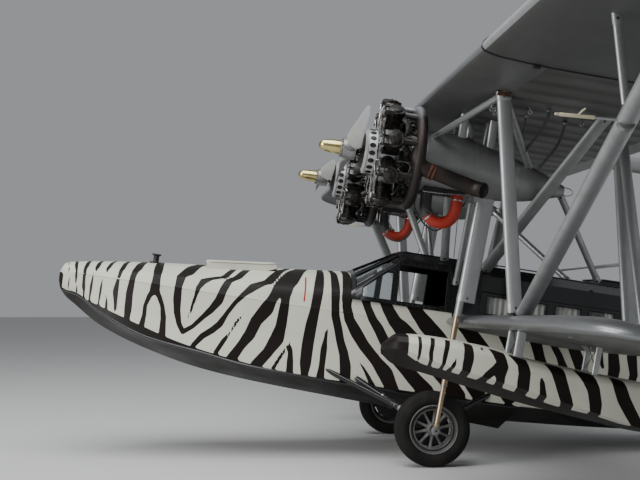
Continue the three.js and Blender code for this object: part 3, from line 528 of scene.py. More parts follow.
def eased(points, counts):
    """A rounded line through corner points, with so many steps on each side."""
    p = np.asarray(points, float)
    line = []
    for k, steps in enumerate(counts):
        before = p[k - 1] if k else p[k]
        after = p[k + 2] if k + 2 < len(p) else p[k + 1]
        t = np.linspace(0, 1, steps, endpoint=False)[:, None]
        run = np.linalg.norm(p[k + 1] - p[k])
        enter = (p[k + 1] - before) / max(np.linalg.norm(p[k + 1] - before), 1) * run * (0.8 if k else 1)
        leave = (after - p[k]) / max(np.linalg.norm(after - p[k]), 1) * run * 0.8
        line.append((2 * t**3 - 3 * t**2 + 1) * p[k] + (t**3 - 2 * t**2 + t) * enter
                    + (3 * t**2 - 2 * t**3) * p[k + 1] + (t**3 - t**2) * leave)
    return np.concatenate(line)


SIDE_STEPS = (7, 14, 14)
TOP_STEPS = (12, 8, 7)
TUB_STEPS = (12, 4, 7, 4)


def straight(corners, counts):
    """Evenly stepped straight lines through the corners, without the last one."""
    parts = []
    for (a, b), steps in zip(zip(corners, corners[1:]), counts):
        t = np.linspace(0, 1, steps, endpoint=False)[:, None]
        parts.append(np.asarray(a) * (1 - t) + np.asarray(b) * t)
    return parts


def half_ring(x, kind):
    """From the keel up the side to the centreline, as rows of (y, z)."""
    keel, cy, cz, ly, lz, uy, uz, sy, sz, dy, dz, top = hull_row(x)
    parts = straight([(0, keel), (cy, cz), (ly, lz), (uy, uz)], SIDE_STEPS)
    if kind == "full":
        parts.append(eased([(uy, uz), (sy, sz), (dy, dz), (0, top)], TOP_STEPS))
        parts.append(np.array([[0, top]]))
        return np.concatenate(parts)
    share = (SILL - uz) / (sz - uz)
    edge = (uy + (sy - uy) * share, SILL)
    inner = float(np.interp(x, *TUB_HALF_WIDTH))
    route = [(uy, uz), edge, (inner, SILL), (inner, FLOOR), (0, FLOOR)]
    if kind == "ledge":
        route = [(uy, uz), edge, (inner, SILL), (inner * 0.5, SILL), (0, SILL)]
    return np.concatenate(parts + straight(route, TUB_STEPS) + [np.array([route[-1]])])


RED_LINE = {"x": 2783, "half": 9, "low": 1165, "high": 1450}
RED_LINE_EDGES = [RED_LINE["x"] + step * RED_LINE["half"] for step in (-1.6, -0.6, 0.6, 1.6)]


def hull_columns():
    """Every x with the kind of ring that stands there."""
    fore = np.linspace(0, 1, 24) ** 1.7 * 560
    front, rear = OPEN_TOP["front"], OPEN_TOP["rear"]
    runs = [
        (fore, "full"), (np.arange(585, front, 25), "full"), (RED_LINE_EDGES, "full"), ([front], "full"),
        ([front, TUB["front"]], "ledge"), ([TUB["front"]], "tub"),
        (np.arange(TUB["front"] + 25, STEP["front"], 25), "tub"), ([STEP["front"], STEP["rear"]], "tub"),
        (np.arange(5360, TUB["rear"], 25), "tub"), ([TUB["rear"]], "tub"),
        ([TUB["rear"], rear], "ledge"), ([rear], "full"),
        (np.arange(rear + 30, STERN, 32), "full"), ([STERN], "full")]
    columns = [(float(x), kind) for places, kind in runs for x in places]
    return sorted(columns, key=lambda column: column[0])


columns = hull_columns()
print("hull columns:", len(columns), "points a half ring:", len(half_ring(2000.0, "full")))

# %% [markdown]
# ### Zebra stripes
# The stripes are brushed bands that narrow, lean and fork. A wave texture makes bands,
# but it can't place them. So each stripe is a short row of marks: distance from the bow,
# height up the side, half its width. For every point of the skin the script measures how
# deep it lies inside the nearest stripe and keeps that depth as an attribute. The
# material only asks whether the depth is above nothing, which gives a crisp painted edge
# on any mesh that is fine enough. The stripes run on over the deck.

# %% Rows of marks for the stripes
HULL_STRIPES = [
    [(20, 900, 40), (14, 1080, 42)],
    [(100, 1225, 7), (125, 1110, 8), (145, 920, 8)],
    [(190, 1235, 20), (205, 1155, 15), (220, 1045, 13), (250, 880, 8)],
    [(310, 1245, 24), (305, 1175, 20), (315, 1010, 20), (335, 855, 11)],
    [(435, 1260, 25), (420, 1155, 16), (405, 1010, 16), (410, 825, 11)],
    [(565, 1275, 22), (535, 1135, 13), (520, 1010, 13), (515, 800, 11)],
    [(600, 1035, 4), (595, 920, 11), (620, 765, 16)],
    [(725, 1300, 27), (700, 1135, 18), (690, 990, 31), (715, 825, 18), (725, 725, 7)],
    [(895, 1345, 45), (860, 1175, 33), (850, 990, 40), (860, 825, 42), (865, 690, 33)],
    [(1125, 1375, 51), (1125, 1210, 45), (1125, 1075, 55)],
    [(1125, 1075, 45), (1075, 990, 27), (1045, 880, 22), (1050, 775, 24), (1040, 665, 31)],
    [(1125, 1075, 45), (1185, 1000, 27), (1235, 900, 24), (1265, 775, 31), (1280, 590, 38)],
    [(1455, 1390, 73), (1395, 1265, 51), (1380, 1135, 42), (1385, 1010, 45), (1405, 865, 38), (1445, 735, 29),
     (1500, 650, 27), (1600, 725, 24), (1690, 835, 27), (1775, 935, 38), (1845, 1045, 47), (1880, 1175, 42),
     (1925, 1280, 40), (2020, 1410, 45)],
    [(1535, 810, 7), (1555, 900, 15), (1580, 1045, 18), (1600, 1155, 27), (1645, 1235, 36), (1745, 1310, 36),
     (1875, 1390, 36)],
    [(1635, 520, 27), (1720, 635, 33), (1820, 715, 36), (1890, 790, 36), (1955, 925, 25), (2025, 1045, 25),
     (2110, 1155, 31), (2200, 1245, 45), (2365, 1375, 55)],
    [(1890, 475, 25), (1955, 610, 25), (2020, 720, 11), (2075, 845, 16), (2160, 970, 4)],
    [(2065, 425, 56), (2155, 590, 49), (2235, 725, 62), (2285, 880, 65), (2380, 1025, 76), (2435, 1155, 55),
     (2500, 1280, 73)],
    [(2345, 400, 60), (2455, 555, 58), (2540, 720, 76), (2565, 865, 60), (2570, 1010, 56), (2575, 1155, 49),
     (2565, 1300, 82), (2620, 1425, 73)],
    [(2535, 385, 20), (2605, 535, 18), (2685, 695, 7), (2705, 600, 26), (2715, 480, 36), (2725, 350, 40)],
    [(2930, 1300, 56), (2915, 1100, 54), (2895, 900, 64), (2885, 700, 66), (2885, 520, 64), (2890, 340, 40)],
    [(3075, 970, 4), (3075, 820, 18), (3070, 660, 36), (3070, 500, 34), (3065, 340, 46)],
    [(3125, 1300, 50), (3135, 1180, 46), (3150, 1060, 46), (3200, 920, 46), (3240, 790, 46), (3295, 660, 52),
     (3330, 520, 62), (3345, 360, 60)],
    [(3260, 1300, 60), (3265, 1180, 52), (3310, 1040, 56), (3410, 900, 66), (3510, 775, 62), (3650, 640, 62),
     (3785, 500, 84), (3880, 340, 70)],
    [(3475, 600, 4), (3540, 520, 14), (3600, 435, 22), (3670, 320, 34)],
    [(3460, 1300, 50), (3500, 1200, 44), (3570, 1075, 48), (3650, 980, 56), (3735, 850, 58), (3830, 720, 58),
     (3960, 610, 64), (4120, 480, 80), (4260, 360, 90)],
    [(3680, 1300, 60), (3740, 1200, 66), (3820, 1090, 72), (3930, 1000, 90), (4080, 880, 90), (4260, 720, 90),
     (4460, 540, 90), (4620, 360, 90)],
    [(4000, 1300, 70), (4080, 1200, 76), (4190, 1090, 90), (4320, 980, 90), (4480, 820, 90), (4660, 640, 80),
     (4860, 400, 80)],
    [(4520, 1220, 60), (4620, 1120, 64), (4740, 1020, 84), (4860, 900, 84), (5020, 700, 80), (5200, 440, 90)],
    [(5000, 1220, 60), (5100, 1080, 70), (5200, 940, 80), (5320, 740, 80), (5440, 500, 90)],
    [(5330, 1270, 70), (5450, 1080, 66), (5520, 900, 60), (5640, 660, 70), (5700, 400, 80)],
    [(5560, 1270, 30), (5620, 1120, 34), (5740, 960, 40), (5900, 640, 70), (5960, 400, 80)],
    [(5860, 1270, 60), (5900, 1060, 66), (6010, 860, 70), (6120, 640, 60), (6190, 420, 60)],
    [(6140, 1270, 24), (6190, 1100, 40), (6260, 900, 20)],
    [(6330, 1270, 70), (6360, 1100, 62), (6400, 900, 70), (6390, 700, 60), (6440, 420, 50)],
    [(6600, 1270, 44), (6590, 1060, 60), (6640, 860, 50), (6600, 640, 30), (6620, 460, 24)],
    [(6860, 1400, 70), (6840, 1180, 60), (6800, 980, 72), (6830, 760, 60), (6800, 460, 60)],
    [(7080, 1800, 60), (7060, 1500, 50), (7030, 1200, 60), (7060, 900, 50), (7010, 600, 50)],
    [(7230, 1000, 6), (7200, 800, 30), (7240, 560, 40)],
    [(7330, 1800, 66), (7300, 1480, 60), (7330, 1200, 60), (7420, 980, 54), (7430, 700, 60), (7400, 500, 50)],
    [(7560, 1750, 40), (7540, 1400, 44), (7600, 1100, 50), (7640, 860, 40), (7600, 560, 44)],
    [(7820, 1700, 56), (7790, 1380, 50), (7800, 1080, 60), (7860, 860, 50), (7830, 600, 40)],
    [(8040, 1600, 30), (8030, 1300, 40), (8060, 1000, 44), (8030, 700, 36)],
    [(8290, 1600, 50), (8260, 1300, 44), (8270, 1000, 46), (8300, 720, 40)],
    [(8520, 1500, 34), (8500, 1250, 36), (8520, 960, 34), (8500, 760, 24)],
    [(8760, 1500, 44), (8740, 1250, 36), (8730, 1000, 40), (8750, 800, 20)],
    [(8990, 1450, 26), (8970, 1200, 28), (8980, 900, 24)],
    [(9170, 1400, 26), (9160, 1180, 28), (9170, 900, 20)],
]
# Where the black of the bottom begins: x and height
HULL_BLACK = [(0, 955), (60, 945), (155, 912), (500, 812), (1000, 664), (1509, 527), (2000, 445), (2690, 366),
              (3353, 343), (5335, 338), (6446, 388), (7000, 440), (7900, 570), (8700, 742), (9300, 895)]


SIDE_TOP = 1215
CARRY = 900


def carried_on(stripe):
    """A stripe that reaches the top of the side goes on over the deck."""
    marks = list(stripe)
    for _ in range(2):
        marks.reverse()
        (x0, z0, _), (x1, z1, width) = marks[-2], marks[-1]
        if z1 > SIDE_TOP:
            lean = float(np.clip((x1 - x0) / max(z1 - z0, 60), -0.35, 0.6))
            marks.append((x1 + lean * CARRY * 0.5, z1 + CARRY, width * 0.6))
    return marks


def depth_in_stripes(along, up, stripes):
    """How far inside the nearest stripe each point lies, in millimetres."""
    deepest = np.full(len(along), -500.0)
    for stripe in stripes:
        for (xa, za, wa), (xb, zb, wb) in zip(stripe, stripe[1:]):
            run = np.array([xb - xa, zb - za], float)
            length = float(run @ run)
            share = np.clip(((along - xa) * run[0] + (up - za) * run[1]) / length, 0, 1)
            off = np.hypot(along - xa - share * run[0], up - za - share * run[1])
            ease = share * share * (3 - 2 * share)
            deepest = np.maximum(deepest, wa + (wb - wa) * ease - off)
    return deepest


print("hull stripes:", len(HULL_STRIPES))


# %% The striped paint
PAINT_SHINE = 0.16


def striped_paint(name, clean, worn):
    """Cream paint that turns to the stripe's brown-black where the dark attribute is above nothing."""
    material, tree, surface, worn_in, _ = start_finish(
        name, clean, worn, 0.5, patch=1.6, rough=0.34, spread=0.22, relief=0.1, broad=2.2)
    depth = tree.nodes.new("ShaderNodeAttribute")
    depth.attribute_name = "dark"
    inside = map_range(tree, depth.outputs["Fac"], -1.2, 1.2)
    stripe = group_node(tree, weathering, Clean=(0.009, 0.0064, 0.0054), Worn=(0.014, 0.0105, 0.0088),
                        Amount=0.6, Patch_Scale=2.4, Roughness=0.3, Roughness_Spread=0.2)
    colour = mixed(tree, inside, worn_in.outputs["Color"], stripe.outputs["Color"])
    red = tree.nodes.new("ShaderNodeAttribute")
    red.attribute_name = "red_line"
    colour = mixed(tree, map_range(tree, red.outputs["Fac"], -1.2, 1.2), colour, (0.33, 0.022, 0.012))
    tree.links.new(colour, surface.inputs["Base Color"])
    surface.inputs["Specular IOR Level"].default_value = PAINT_SHINE
    return material


hull_paint = striped_paint("striped_hull_paint", (0.60, 0.60, 0.515), (0.43, 0.42, 0.345))
print("paint with attributes:", hull_paint.name)

# %% The hull's skin
OUTER_ROWS = sum(SIDE_STEPS) + TOP_STEPS[0]


def hull_shape():
    rings = []
    for x, kind in columns:
        half = half_ring(x, kind)
        starboard = [(x, y, z) for y, z in half]
        port = [(x, -y, z) for y, z in half[1:-1][::-1]]
        rings.append(starboard + port)
    shape = Shape().rings(rings)
    count = len(rings[0])
    last = len(half_ring(100.0, "full")) - 1
    for number in range(len(shape.faces) - 2):
        column, row = divmod(number, count)
        up = row if row < last else count - 1 - row
        kinds = {columns[column][1], columns[column + 1][1]}
        inward = up >= OUTER_ROWS if kinds != {"full", "ledge"} else up >= sum(SIDE_STEPS)
        if kinds != {"full"} and inward:
            shape.looks[number] = 1
    return shape


HATCH = {"front": 1690, "rear": 2410, "half": 260, "coaming": 40, "tilt": 0.097, "z": 1437, "lid": 26}


def under_hatch(points):
    """Points measured from the hatch's front edge, tilted as the deck is."""
    p = np.asarray(points, float)
    c, s = math.cos(HATCH["tilt"]), math.sin(HATCH["tilt"])
    return np.stack([p[..., 0] * c - p[..., 2] * s + HATCH["front"], p[..., 1],
                     p[..., 0] * s + p[..., 2] * c + HATCH["z"]], -1)


def without_hatch(shape):
    """Leaves out the deck's faces under the hatch."""
    points = np.concatenate(shape.points)
    kept = []
    for number, face in enumerate(shape.faces):
        x, y, z = points[list(face)].mean(0)
        inside = HATCH["front"] < x < HATCH["rear"] and abs(y) < HATCH["half"] + 2 and z > 1300
        if not inside:
            kept.append(number)
    shape.faces, shape.looks = [shape.faces[k] for k in kept], [shape.looks[k] for k in kept]
    return shape


def loop(grow, height):
    """The four corners of the hatch opening, grown and lifted."""
    length = HATCH["rear"] - HATCH["front"]
    half = HATCH["half"] + grow
    return under_hatch([(x, y, height) for x, y in four_corners(-grow, length + grow, -half, half)])


def hull_fittings():
    """Coaming and locker of the bow hatch, in the hull's own piece."""
    extra = Shape()
    edge = HATCH["coaming"]
    extra.rings([loop(edge, -60), loop(edge, 24), loop(edge - 6, 30), loop(6, 30), loop(0, 24), loop(0, -60)],
                0, ends=False)
    extra.rings([loop(14, -380), loop(14, -20), loop(2, -20), loop(2, -368)], 1)
    return extra


BATTEN_SINK = 0.4


def batten(which, x0, x1, radius, look):
    """A half-round batten along one line of the stations: 3 the chine, 7 the upper crease."""
    strip = Shape()
    for side in (1, -1):
        rings = []
        for x in list(np.arange(x0, x1, 40.0)) + [x1]:
            row = hull_row(x)
            y, z = row[which - 2], row[which - 1]
            turn = np.linspace(0, 2 * math.pi, 8, endpoint=False)
            grow = radius * min(1.0, (x - x0) / 150 + 0.3, (x1 - x) / 150 + 0.3)
            rings.append([(x, side * (y - grow * BATTEN_SINK + math.cos(a) * grow),
                           z + math.sin(a) * grow) for a in turn])
        strip.rings(rings, look)
    return strip


hull = without_hatch(hull_shape()).merge(hull_fittings())
hull.merge(batten(3, 60.0, 5330.0, 17, 2)).merge(batten(7, 240.0, 8900.0, 7, 0))
print("hull faces before merging:", len(hull.faces))


# %% Paint depth on the hull's points
def paint_hull(piece, stripes, black_edge, rows_at, red_line=None):
    """Keeps for each point how deep it lies in a stripe or in the black of the bottom."""
    data = piece.data
    x, y, z = drawn(coordinates(data)).T
    up = rows_at(x, y, z)
    dark = depth_in_stripes(x, up, [carried_on(stripe) for stripe in stripes])
    edge_x, edge_z = zip(*black_edge)
    dark = np.maximum(dark, smooth(edge_x, edge_z, x) - z)
    data.attributes.new("dark", "FLOAT", "POINT").data.foreach_set("value", dark.astype(np.float32))
    red = np.full(len(x), -100.0)
    if red_line:
        red = np.minimum(red_line["half"] - np.abs(x - red_line["x"]), np.minimum(z - red_line["low"],
                                                                                 red_line["high"] - z))
    data.attributes.new("red_line", "FLOAT", "POINT").data.foreach_set("value", red.astype(np.float32))
    print(f"{piece.name}: {100 * float((dark > 0).mean()):.0f}% of its points are dark")


def hull_height(x, y, z):
    """Height up the side; past the shoulder it runs on across the deck."""
    stations = FOREBODY + AFTERBODY
    shoulder = np.interp(x, [row[0] for row in stations], [row[8] for row in stations])
    return z + np.where(z > 1150, np.maximum(shoulder - np.abs(y), 0), 0)


hull_piece = hull.piece("hull_skin", [hull_paint, inside_paint, black_gloss], nodes="hull", slot="hull_paint",
                        sharp=24)
paint_hull(hull_piece, HULL_STRIPES, HULL_BLACK, hull_height, RED_LINE)

# %% [markdown]
# ## Wings
# Both wings are a thick, round-nosed section with a nearly flat underside. The section is
# a table of shares of the chord. Stepping it evenly in the square root of the share sets
# the points close together at the nose, where the curve is tight. The outer panels end in
# a rounded tip. The skin of the middle part is corrugated sheet behind a smooth nose, and
# the outer panels are fabric over ribs, so the two get different reliefs.


# %% Silver finishes with ribs
def ribbed_silver(name, clean, worn, spacing, sharpness, depth, rough, metallic):
    """Silver paint with a row of chordwise ribs, a set distance apart along the span; each rib is also
    painted darker, as painted shade.
    """
    material, tree, surface, worn_in, bump = start_finish(
        name, clean, worn, 0.55, patch=1.3, rough=rough, spread=0.18, metallic=metallic, relief=0.08,
        broad=2.0)
    place = tree.nodes.new("ShaderNodeTexCoord").outputs["Object"]
    apart = tree.nodes.new("ShaderNodeSeparateXYZ")
    tree.links.new(place, apart.inputs[0])
    turn = math_node(tree, "MULTIPLY", apart.outputs["Y"], 2 * math.pi / spacing)
    wave = math_node(tree, "ABSOLUTE", math_node(tree, "COSINE", math_node(tree, "MULTIPLY", turn, 0.5)))
    ridge = math_node(tree, "POWER", wave, sharpness)
    relief = tree.nodes.new("ShaderNodeBump")
    relief.inputs["Strength"].default_value = 1.0
    relief.inputs["Distance"].default_value = depth
    tree.links.new(ridge, relief.inputs["Height"])
    tree.links.new(bump.outputs["Normal"], relief.inputs["Normal"])
    tree.links.new(relief.outputs["Normal"], surface.inputs["Normal"])
    # Painted shade: the colour goes towards the darker one along each rib.
    shade = map_range(tree, ridge, 0.0, 1.0, 0.0, 0.35)
    tree.links.new(mixed(tree, shade, worn_in.outputs["Color"], worn), surface.inputs["Base Color"])
    return material


wing_sheet = finish("silver_wing_sheet", (0.34, 0.35, 0.36), (0.21, 0.215, 0.215), 0.6, patch=1.2, rough=0.27,
                    spread=0.2, metallic=0.75, relief=0.05)
corrugated = ribbed_silver("corrugated_sheet", (0.30, 0.305, 0.30), (0.15, 0.15, 0.145), 0.125, 1.4, 0.010,
                           0.42, 0.25)
wing_fabric = ribbed_silver("silver_fabric", (0.34, 0.35, 0.36), (0.25, 0.255, 0.255), 0.30, 14.0, 0.004,
                            0.4, 0.2)
# The under finishes are darker copies of the silver ones for the faces under the wings: painted shade, the
# same silver paint as it looks in the wing's shadow.
painted_shade_under_sheet = finish("wing_under_sheet_painted_shade", (0.125, 0.127, 0.125), (0.072, 0.072, 0.070), 0.7, patch=1.0,
                     rough=0.38, spread=0.2, metallic=0.4, relief=0.05)
painted_shade_under_corrugated = ribbed_silver("wing_under_corrugated_painted_shade", (0.125, 0.123, 0.118), (0.016, 0.015, 0.015), 0.40,
                                 3.0, 0.014, 0.45, 0.3)
painted_shade_under_fabric = finish("wing_under_fabric_painted_shade", (0.088, 0.09, 0.088), (0.058, 0.059, 0.057), 0.6, patch=0.8,
                      rough=0.42, spread=0.2, metallic=0.3, relief=0.06)
print("wing finishes:", len([m for m in bpy.data.materials if "wing" in m.name]))

# %% Sections of the wings
UPPER = {"lead": 3660, "rise": 3430, "chord": 2540, "tip": 10920, "twist": 0.042, "dihedral": 0.0}
LOWER = {"lead": 4400, "rise": 1165, "chord": 1500, "tip": 5485, "twist": 0.075, "dihedral": 0.0175}
AEROFOIL = np.array([
    (0, 0, 0), (0.02, 0.030, -0.016), (0.08, 0.062, -0.024), (0.22, 0.090, -0.026), (0.40, 0.091, -0.022),
    (0.62, 0.066, -0.016), (0.78, 0.041, -0.012), (1, 0.003, -0.002)])
# In from the tip, share of the chord kept, share of the chord that the nose moves aft
TIP = [(0, 0.38, 0.30), (80, 0.64, 0.17), (280, 0.84, 0.07), (620, 0.95, 0.02), (1150, 1.0, 0.0)]
TIP_LENGTH = TIP[-1][0]
WING_ROOT = 700
GAP = 0.3
AILERON = {"inner": 6300, "outer": 10250, "hinge": 0.78, "rise": 0.0145, "nose": 60, "slot": 12, "bay": 70}


def chord_line(wing, run, y):
    """Height of the chord at a distance behind the leading edge."""
    return wing["rise"] - run * wing["twist"] + wing["dihedral"] * (abs(y) - WING_ROOT)


def rib(wing, y, scale=1.0, shift=0.0, start=0.0, end=1.0, steps=20, thin=1.0):
    """One ring round a wing: the upper side from nose to tail, then back underneath."""
    u = np.linspace(math.sqrt(start), math.sqrt(end), steps)
    stations = np.sqrt(AEROFOIL[:, 0])
    chord = wing["chord"] * scale
    run = shift + u * u * chord
    level = chord_line(wing, run, y)
    lines = []
    for column in (1, 2):
        height = smooth(stations, AEROFOIL[:, column], u) * chord * thin
        lines.append(np.stack([wing["lead"] + run, np.full(steps, float(y)), level + height], -1))
    top, bottom = lines[0], lines[1][::-1]
    return np.concatenate([top, bottom[:-1] if start == 0 else bottom])


def tip_rib(wing, y, **cut):
    back = wing["tip"] - y
    rows = smooth_rows(TIP, back)
    thin = math.sqrt(max(0.04, 1 - (1 - min(back, 70) / 70) ** 2))
    return rib(wing, y, float(rows[0]), float(rows[1]) * wing["chord"], thin=thin, **cut)


def panel_stations(wing, inner):
    even = np.linspace(inner, wing["tip"] - TIP_LENGTH, 14)
    rounded = wing["tip"] - TIP_LENGTH * (1 - np.linspace(0, 1, 22)[1:]) ** 1.8
    return np.concatenate([even, rounded])


hinge_run = AILERON["hinge"] * UPPER["chord"]
hinge = {"x": UPPER["lead"] + hinge_run,
         "z": chord_line(UPPER, hinge_run, WING_ROOT) + AILERON["rise"] * UPPER["chord"]}
print("aileron hinge at", {k: round(v) for k, v in hinge.items()})

# %% Upper wing
CENTRE_HALF_SPAN = 4200
CENTRE_STEPS = 24
SMOOTH_NOSE = 0.24
ROUND_NOSE = 0.008


def centre_section():
    rings = [rib(UPPER, y, steps=CENTRE_STEPS) for y in np.linspace(-CENTRE_HALF_SPAN, CENTRE_HALF_SPAN, 29)]
    shape = Shape().rings(rings)
    count = len(rings[0])
    share = np.linspace(0, 1, CENTRE_STEPS) ** 2
    last = CENTRE_STEPS - 1
    for number in range(len(shape.faces) - 2):
        row = number % count
        at = share[row] if row <= last else share[min(2 * CENTRE_STEPS - 1 - row, last)]
        if at > SMOOTH_NOSE:
            shape.looks[number] = 1
        # Faces under the wing, behind its round nose, take the darker finishes: a painted shade.
        if row > CENTRE_STEPS and at > ROUND_NOSE:
            shape.looks[number] = 4 if at > SMOOTH_NOSE else 3
    return shape


def shade_underside(shape, wing, look, back=25):
    """Gives the faces under a wing the darker look, a painted shade, apart from its round nose."""
    points = np.concatenate(shape.points)
    for number, face in enumerate(shape.faces):
        x, y, z = points[list(face)].mean(0)
        shift = float(smooth_rows(TIP, wing["tip"] - abs(y))[1]) * wing["chord"]
        run = x - wing["lead"]
        level = chord_line(wing, run, y)
        if shape.looks[number] == 0 and z < level and run - shift > back:
            shape.looks[number] = look
    return shape


def upper_panel():
    """An outer panel with the bay that its aileron hangs in."""
    rings = []
    bay_edge = hinge["x"] - AILERON["bay"]
    stations = sorted(set(panel_stations(UPPER, CENTRE_HALF_SPAN + GAP).tolist())
                      | {AILERON["inner"], AILERON["outer"]})
    for y in stations:
        scale, shift = (float(v) for v in smooth_rows(TIP, UPPER["tip"] - y))
        end = (bay_edge - UPPER["lead"] - shift * UPPER["chord"]) / (UPPER["chord"] * scale)
        whole, short = {}, {"end": min(end, 1.0)}
        kinds = [whole]
        if AILERON["inner"] < y < AILERON["outer"]:
            kinds = [short]
        elif y == AILERON["inner"]:
            kinds = [whole, short]
        elif y == AILERON["outer"]:
            kinds = [short, whole]
        rings += [tip_rib(UPPER, y, **kind) for kind in kinds]
    return Shape().rings(rings)


def joint_band(y):
    """The cover strip and dark gap between the middle part and an outer panel."""
    inner, outer = rib(UPPER, y - 13, steps=30), rib(UPPER, y + 13, steps=30)
    middle = np.array([UPPER["lead"] + 900, 0, UPPER["rise"] + 20])
    rings = []
    for ring, grow in ((inner, 0.0), (inner, 9.0), (outer, 9.0), (outer, 0.0)):
        out = (ring - middle) * (1, 0, 1)
        out = out / np.maximum(np.linalg.norm(out, axis=1), 1)[:, None]
        lift = np.sign(out[:, 2])[:, None] * np.array([0, 0, 1.0]) * 0.8 + out * 0.4
        rings.append(ring + lift * grow)
    return Shape().rings(rings, 2, ends=False)


def aileron():
    rings = []
    inner, outer = AILERON["inner"] + AILERON["slot"], AILERON["outer"] - AILERON["slot"]
    for y in np.linspace(inner, outer, 9):
        blade = rib(UPPER, y, start=AILERON["hinge"], steps=12)
        arc = np.linspace(-0.5, -1.5, 9)[1:-1] * math.pi
        nose = [(hinge["x"] + AILERON["nose"] * math.cos(a), y, hinge["z"] + AILERON["nose"] * math.sin(a))
                for a in arc]
        rings.append(np.concatenate([blade, np.array(nose)]))
    shape = Shape().rings(rings)
    pins = [(AILERON["inner"] + GAP, inner + 30), (outer - 30, AILERON["outer"] - GAP)]
    for low, high in pins:
        shape.turned((hinge["x"], low, hinge["z"]), STARBOARD, [(0, 16), (high - low, 16)], 16)
    return shape


centre = centre_section()
for y in (CENTRE_HALF_SPAN, -CENTRE_HALF_SPAN):
    centre.merge(joint_band(y))
    centre.block((4113, y - 26, 3314), (4165, y + 26, 3330), 2)
centre.piece("upper_wing_middle", [wing_sheet, corrugated, dark_steel, painted_shade_under_sheet, painted_shade_under_corrugated],
             nodes="upper_wing_centre", slot="silver_dope", sharp=50)
upper = shade_underside(upper_panel(), UPPER, 1)
blade = shade_underside(aileron(), UPPER, 1)
for side, own, flap in (("starboard", upper, blade), ("port", upper.mirrored(), blade.mirrored())):
    own.piece(f"upper_panel_{side}", [wing_fabric, painted_shade_under_fabric], nodes=f"upper_wing_{side}",
              slot="silver_dope", sharp=50)
    flap.piece(f"aileron_skin_{side}", [wing_fabric, painted_shade_under_fabric], body=f"aileron_{side}",
               nodes=f"aileron_{side}", slot="silver_dope", sharp=50)

# %% Lower wing
TIE_DOWN = {"x": 4730, "y": 4300, "half": 60, "z": 1155, "height": 40}
lower = Shape().rings([tip_rib(LOWER, y, steps=22) for y in panel_stations(LOWER, 690)])
pad = np.array([TIE_DOWN["x"], TIE_DOWN["y"], TIE_DOWN["z"]])
lower.block(pad - (TIE_DOWN["half"], TIE_DOWN["half"], 0),
            pad + (TIE_DOWN["half"], TIE_DOWN["half"], TIE_DOWN["height"]), 1)
# The lower wing's underside, behind the first 110 mm of its nose, takes the darker finish: a painted shade.
shade_underside(lower, LOWER, 2, 110)
both_sides(lower, "lower_wing_skin", [wing_sheet, steel, painted_shade_under_sheet], "lower_wing", "silver_dope", 50)

# %% [markdown]
# ## Struts and tubes
# Everything between hull, wings and engines is tube: round where it is short, a slim
# streamlined oval where it meets the air. One function draws a tube between two points
# and keeps its long side in the line of flight. Each end gets a cuff and a bolt, which is
# what the eye looks for where a strut meets a fitting. A hose or bent pipe is the same
# idea along a curve.


# %% Tubes
STRUT_SIDES = 20
CUFF = {"length": 84, "bolt": 42}


def strut(shape, start, end, chord, thick, look=0, cuffs=(True, True)):
    """A streamlined tube, its long side in the line of flight, with a cuff and bolt at each end."""
    a, b = np.asarray(start, float), np.asarray(end, float)
    run = b - a
    length = np.linalg.norm(run)
    run = run / length
    fore = np.array([0.0, 0.0, 1.0]) if abs(run[0]) > 0.8 else np.array([1.0, 0.0, 0.0])
    fore = fore - run * (fore @ run)
    fore = fore / np.linalg.norm(fore)
    side = np.cross(run, fore)
    turn = np.linspace(0, 2 * math.pi, STRUT_SIDES, endpoint=False)
    taper = 0.16 if chord > 1.3 * thick else 0.0

    def ring(share, grow=0.0):
        width = np.sin(turn) * (1 - taper * np.cos(turn)) * (thick / 2 + grow)
        middle = a + run * length * share
        return middle + np.outer(np.cos(turn) * (chord / 2 + grow), fore) + np.outer(width, side)

    shape.rings([ring(0), ring(1)], look)
    for near, wanted in ((0, cuffs[0]), (1, cuffs[1])):
        if not wanted:
            continue
        sign = 1 if near == 0 else -1
        marks = [near + sign * d / length for d in (0, CUFF["length"] - 14, CUFF["length"])]
        shape.rings([ring(marks[0], 4), ring(marks[1], 4), ring(marks[2], 0.5)])
        bolt = a + run * length * (near + sign * CUFF["bolt"] / length)
        shape.turned(bolt - side * (thick / 2 + 12), side,
                     [(0, 9), (4, 11), (4 + thick + 16, 11), (thick + 24, 9)], 8, 1)
    return shape


def curve_points(route, steps):
    """A smooth curve through a route, evenly stepped."""
    p = np.asarray(route, float)
    at = np.concatenate([[0], np.cumsum(np.linalg.norm(np.diff(p, axis=0), axis=1))])
    where = np.linspace(0, at[-1], steps)
    ghost = np.concatenate([[2 * p[0] - p[1]], p, [2 * p[-1] - p[-2]]])
    k = np.clip(np.searchsorted(at, where, side="right") - 1, 0, len(p) - 2)
    t = ((where - at[k]) / (at[k + 1] - at[k]))[:, None]
    p0, p1, p2, p3 = ghost[k], ghost[k + 1], ghost[k + 2], ghost[k + 3]
    return 0.5 * (2 * p1 + (p2 - p0) * t + (2 * p0 - 5 * p1 + 4 * p2 - p3) * t**2
                  + (3 * p1 - p0 - 3 * p2 + p3) * t**3)


def bent_tube(shape, route, radius, steps=24, sides=14, look=0, radii=None, looks=None):
    """A round tube along a route; radii and looks may change on the way."""
    line = curve_points(route, steps) if len(route) > 2 else np.asarray(route, float)
    along = np.gradient(line, axis=0)
    along = along / np.linalg.norm(along, axis=1)[:, None]
    side, up = across(along[0])
    turn = np.linspace(0, 2 * math.pi, sides, endpoint=False)
    rings = []
    for k, (middle, ahead) in enumerate(zip(line, along)):
        side = side - ahead * (side @ ahead)
        side = side / np.linalg.norm(side)
        up = np.cross(side, ahead)
        r = radii[k] if radii is not None else radius
        rings.append(middle + np.outer(np.cos(turn), side) * r + np.outer(np.sin(turn), up) * r)
    first = len(shape.looks)
    shape.rings(rings, look)
    if looks is not None:
        for number in range(first, len(shape.looks)):
            shape.looks[number] = looks[min((number - first) // sides, len(looks) - 1)]
    return shape


print("tubes ready")

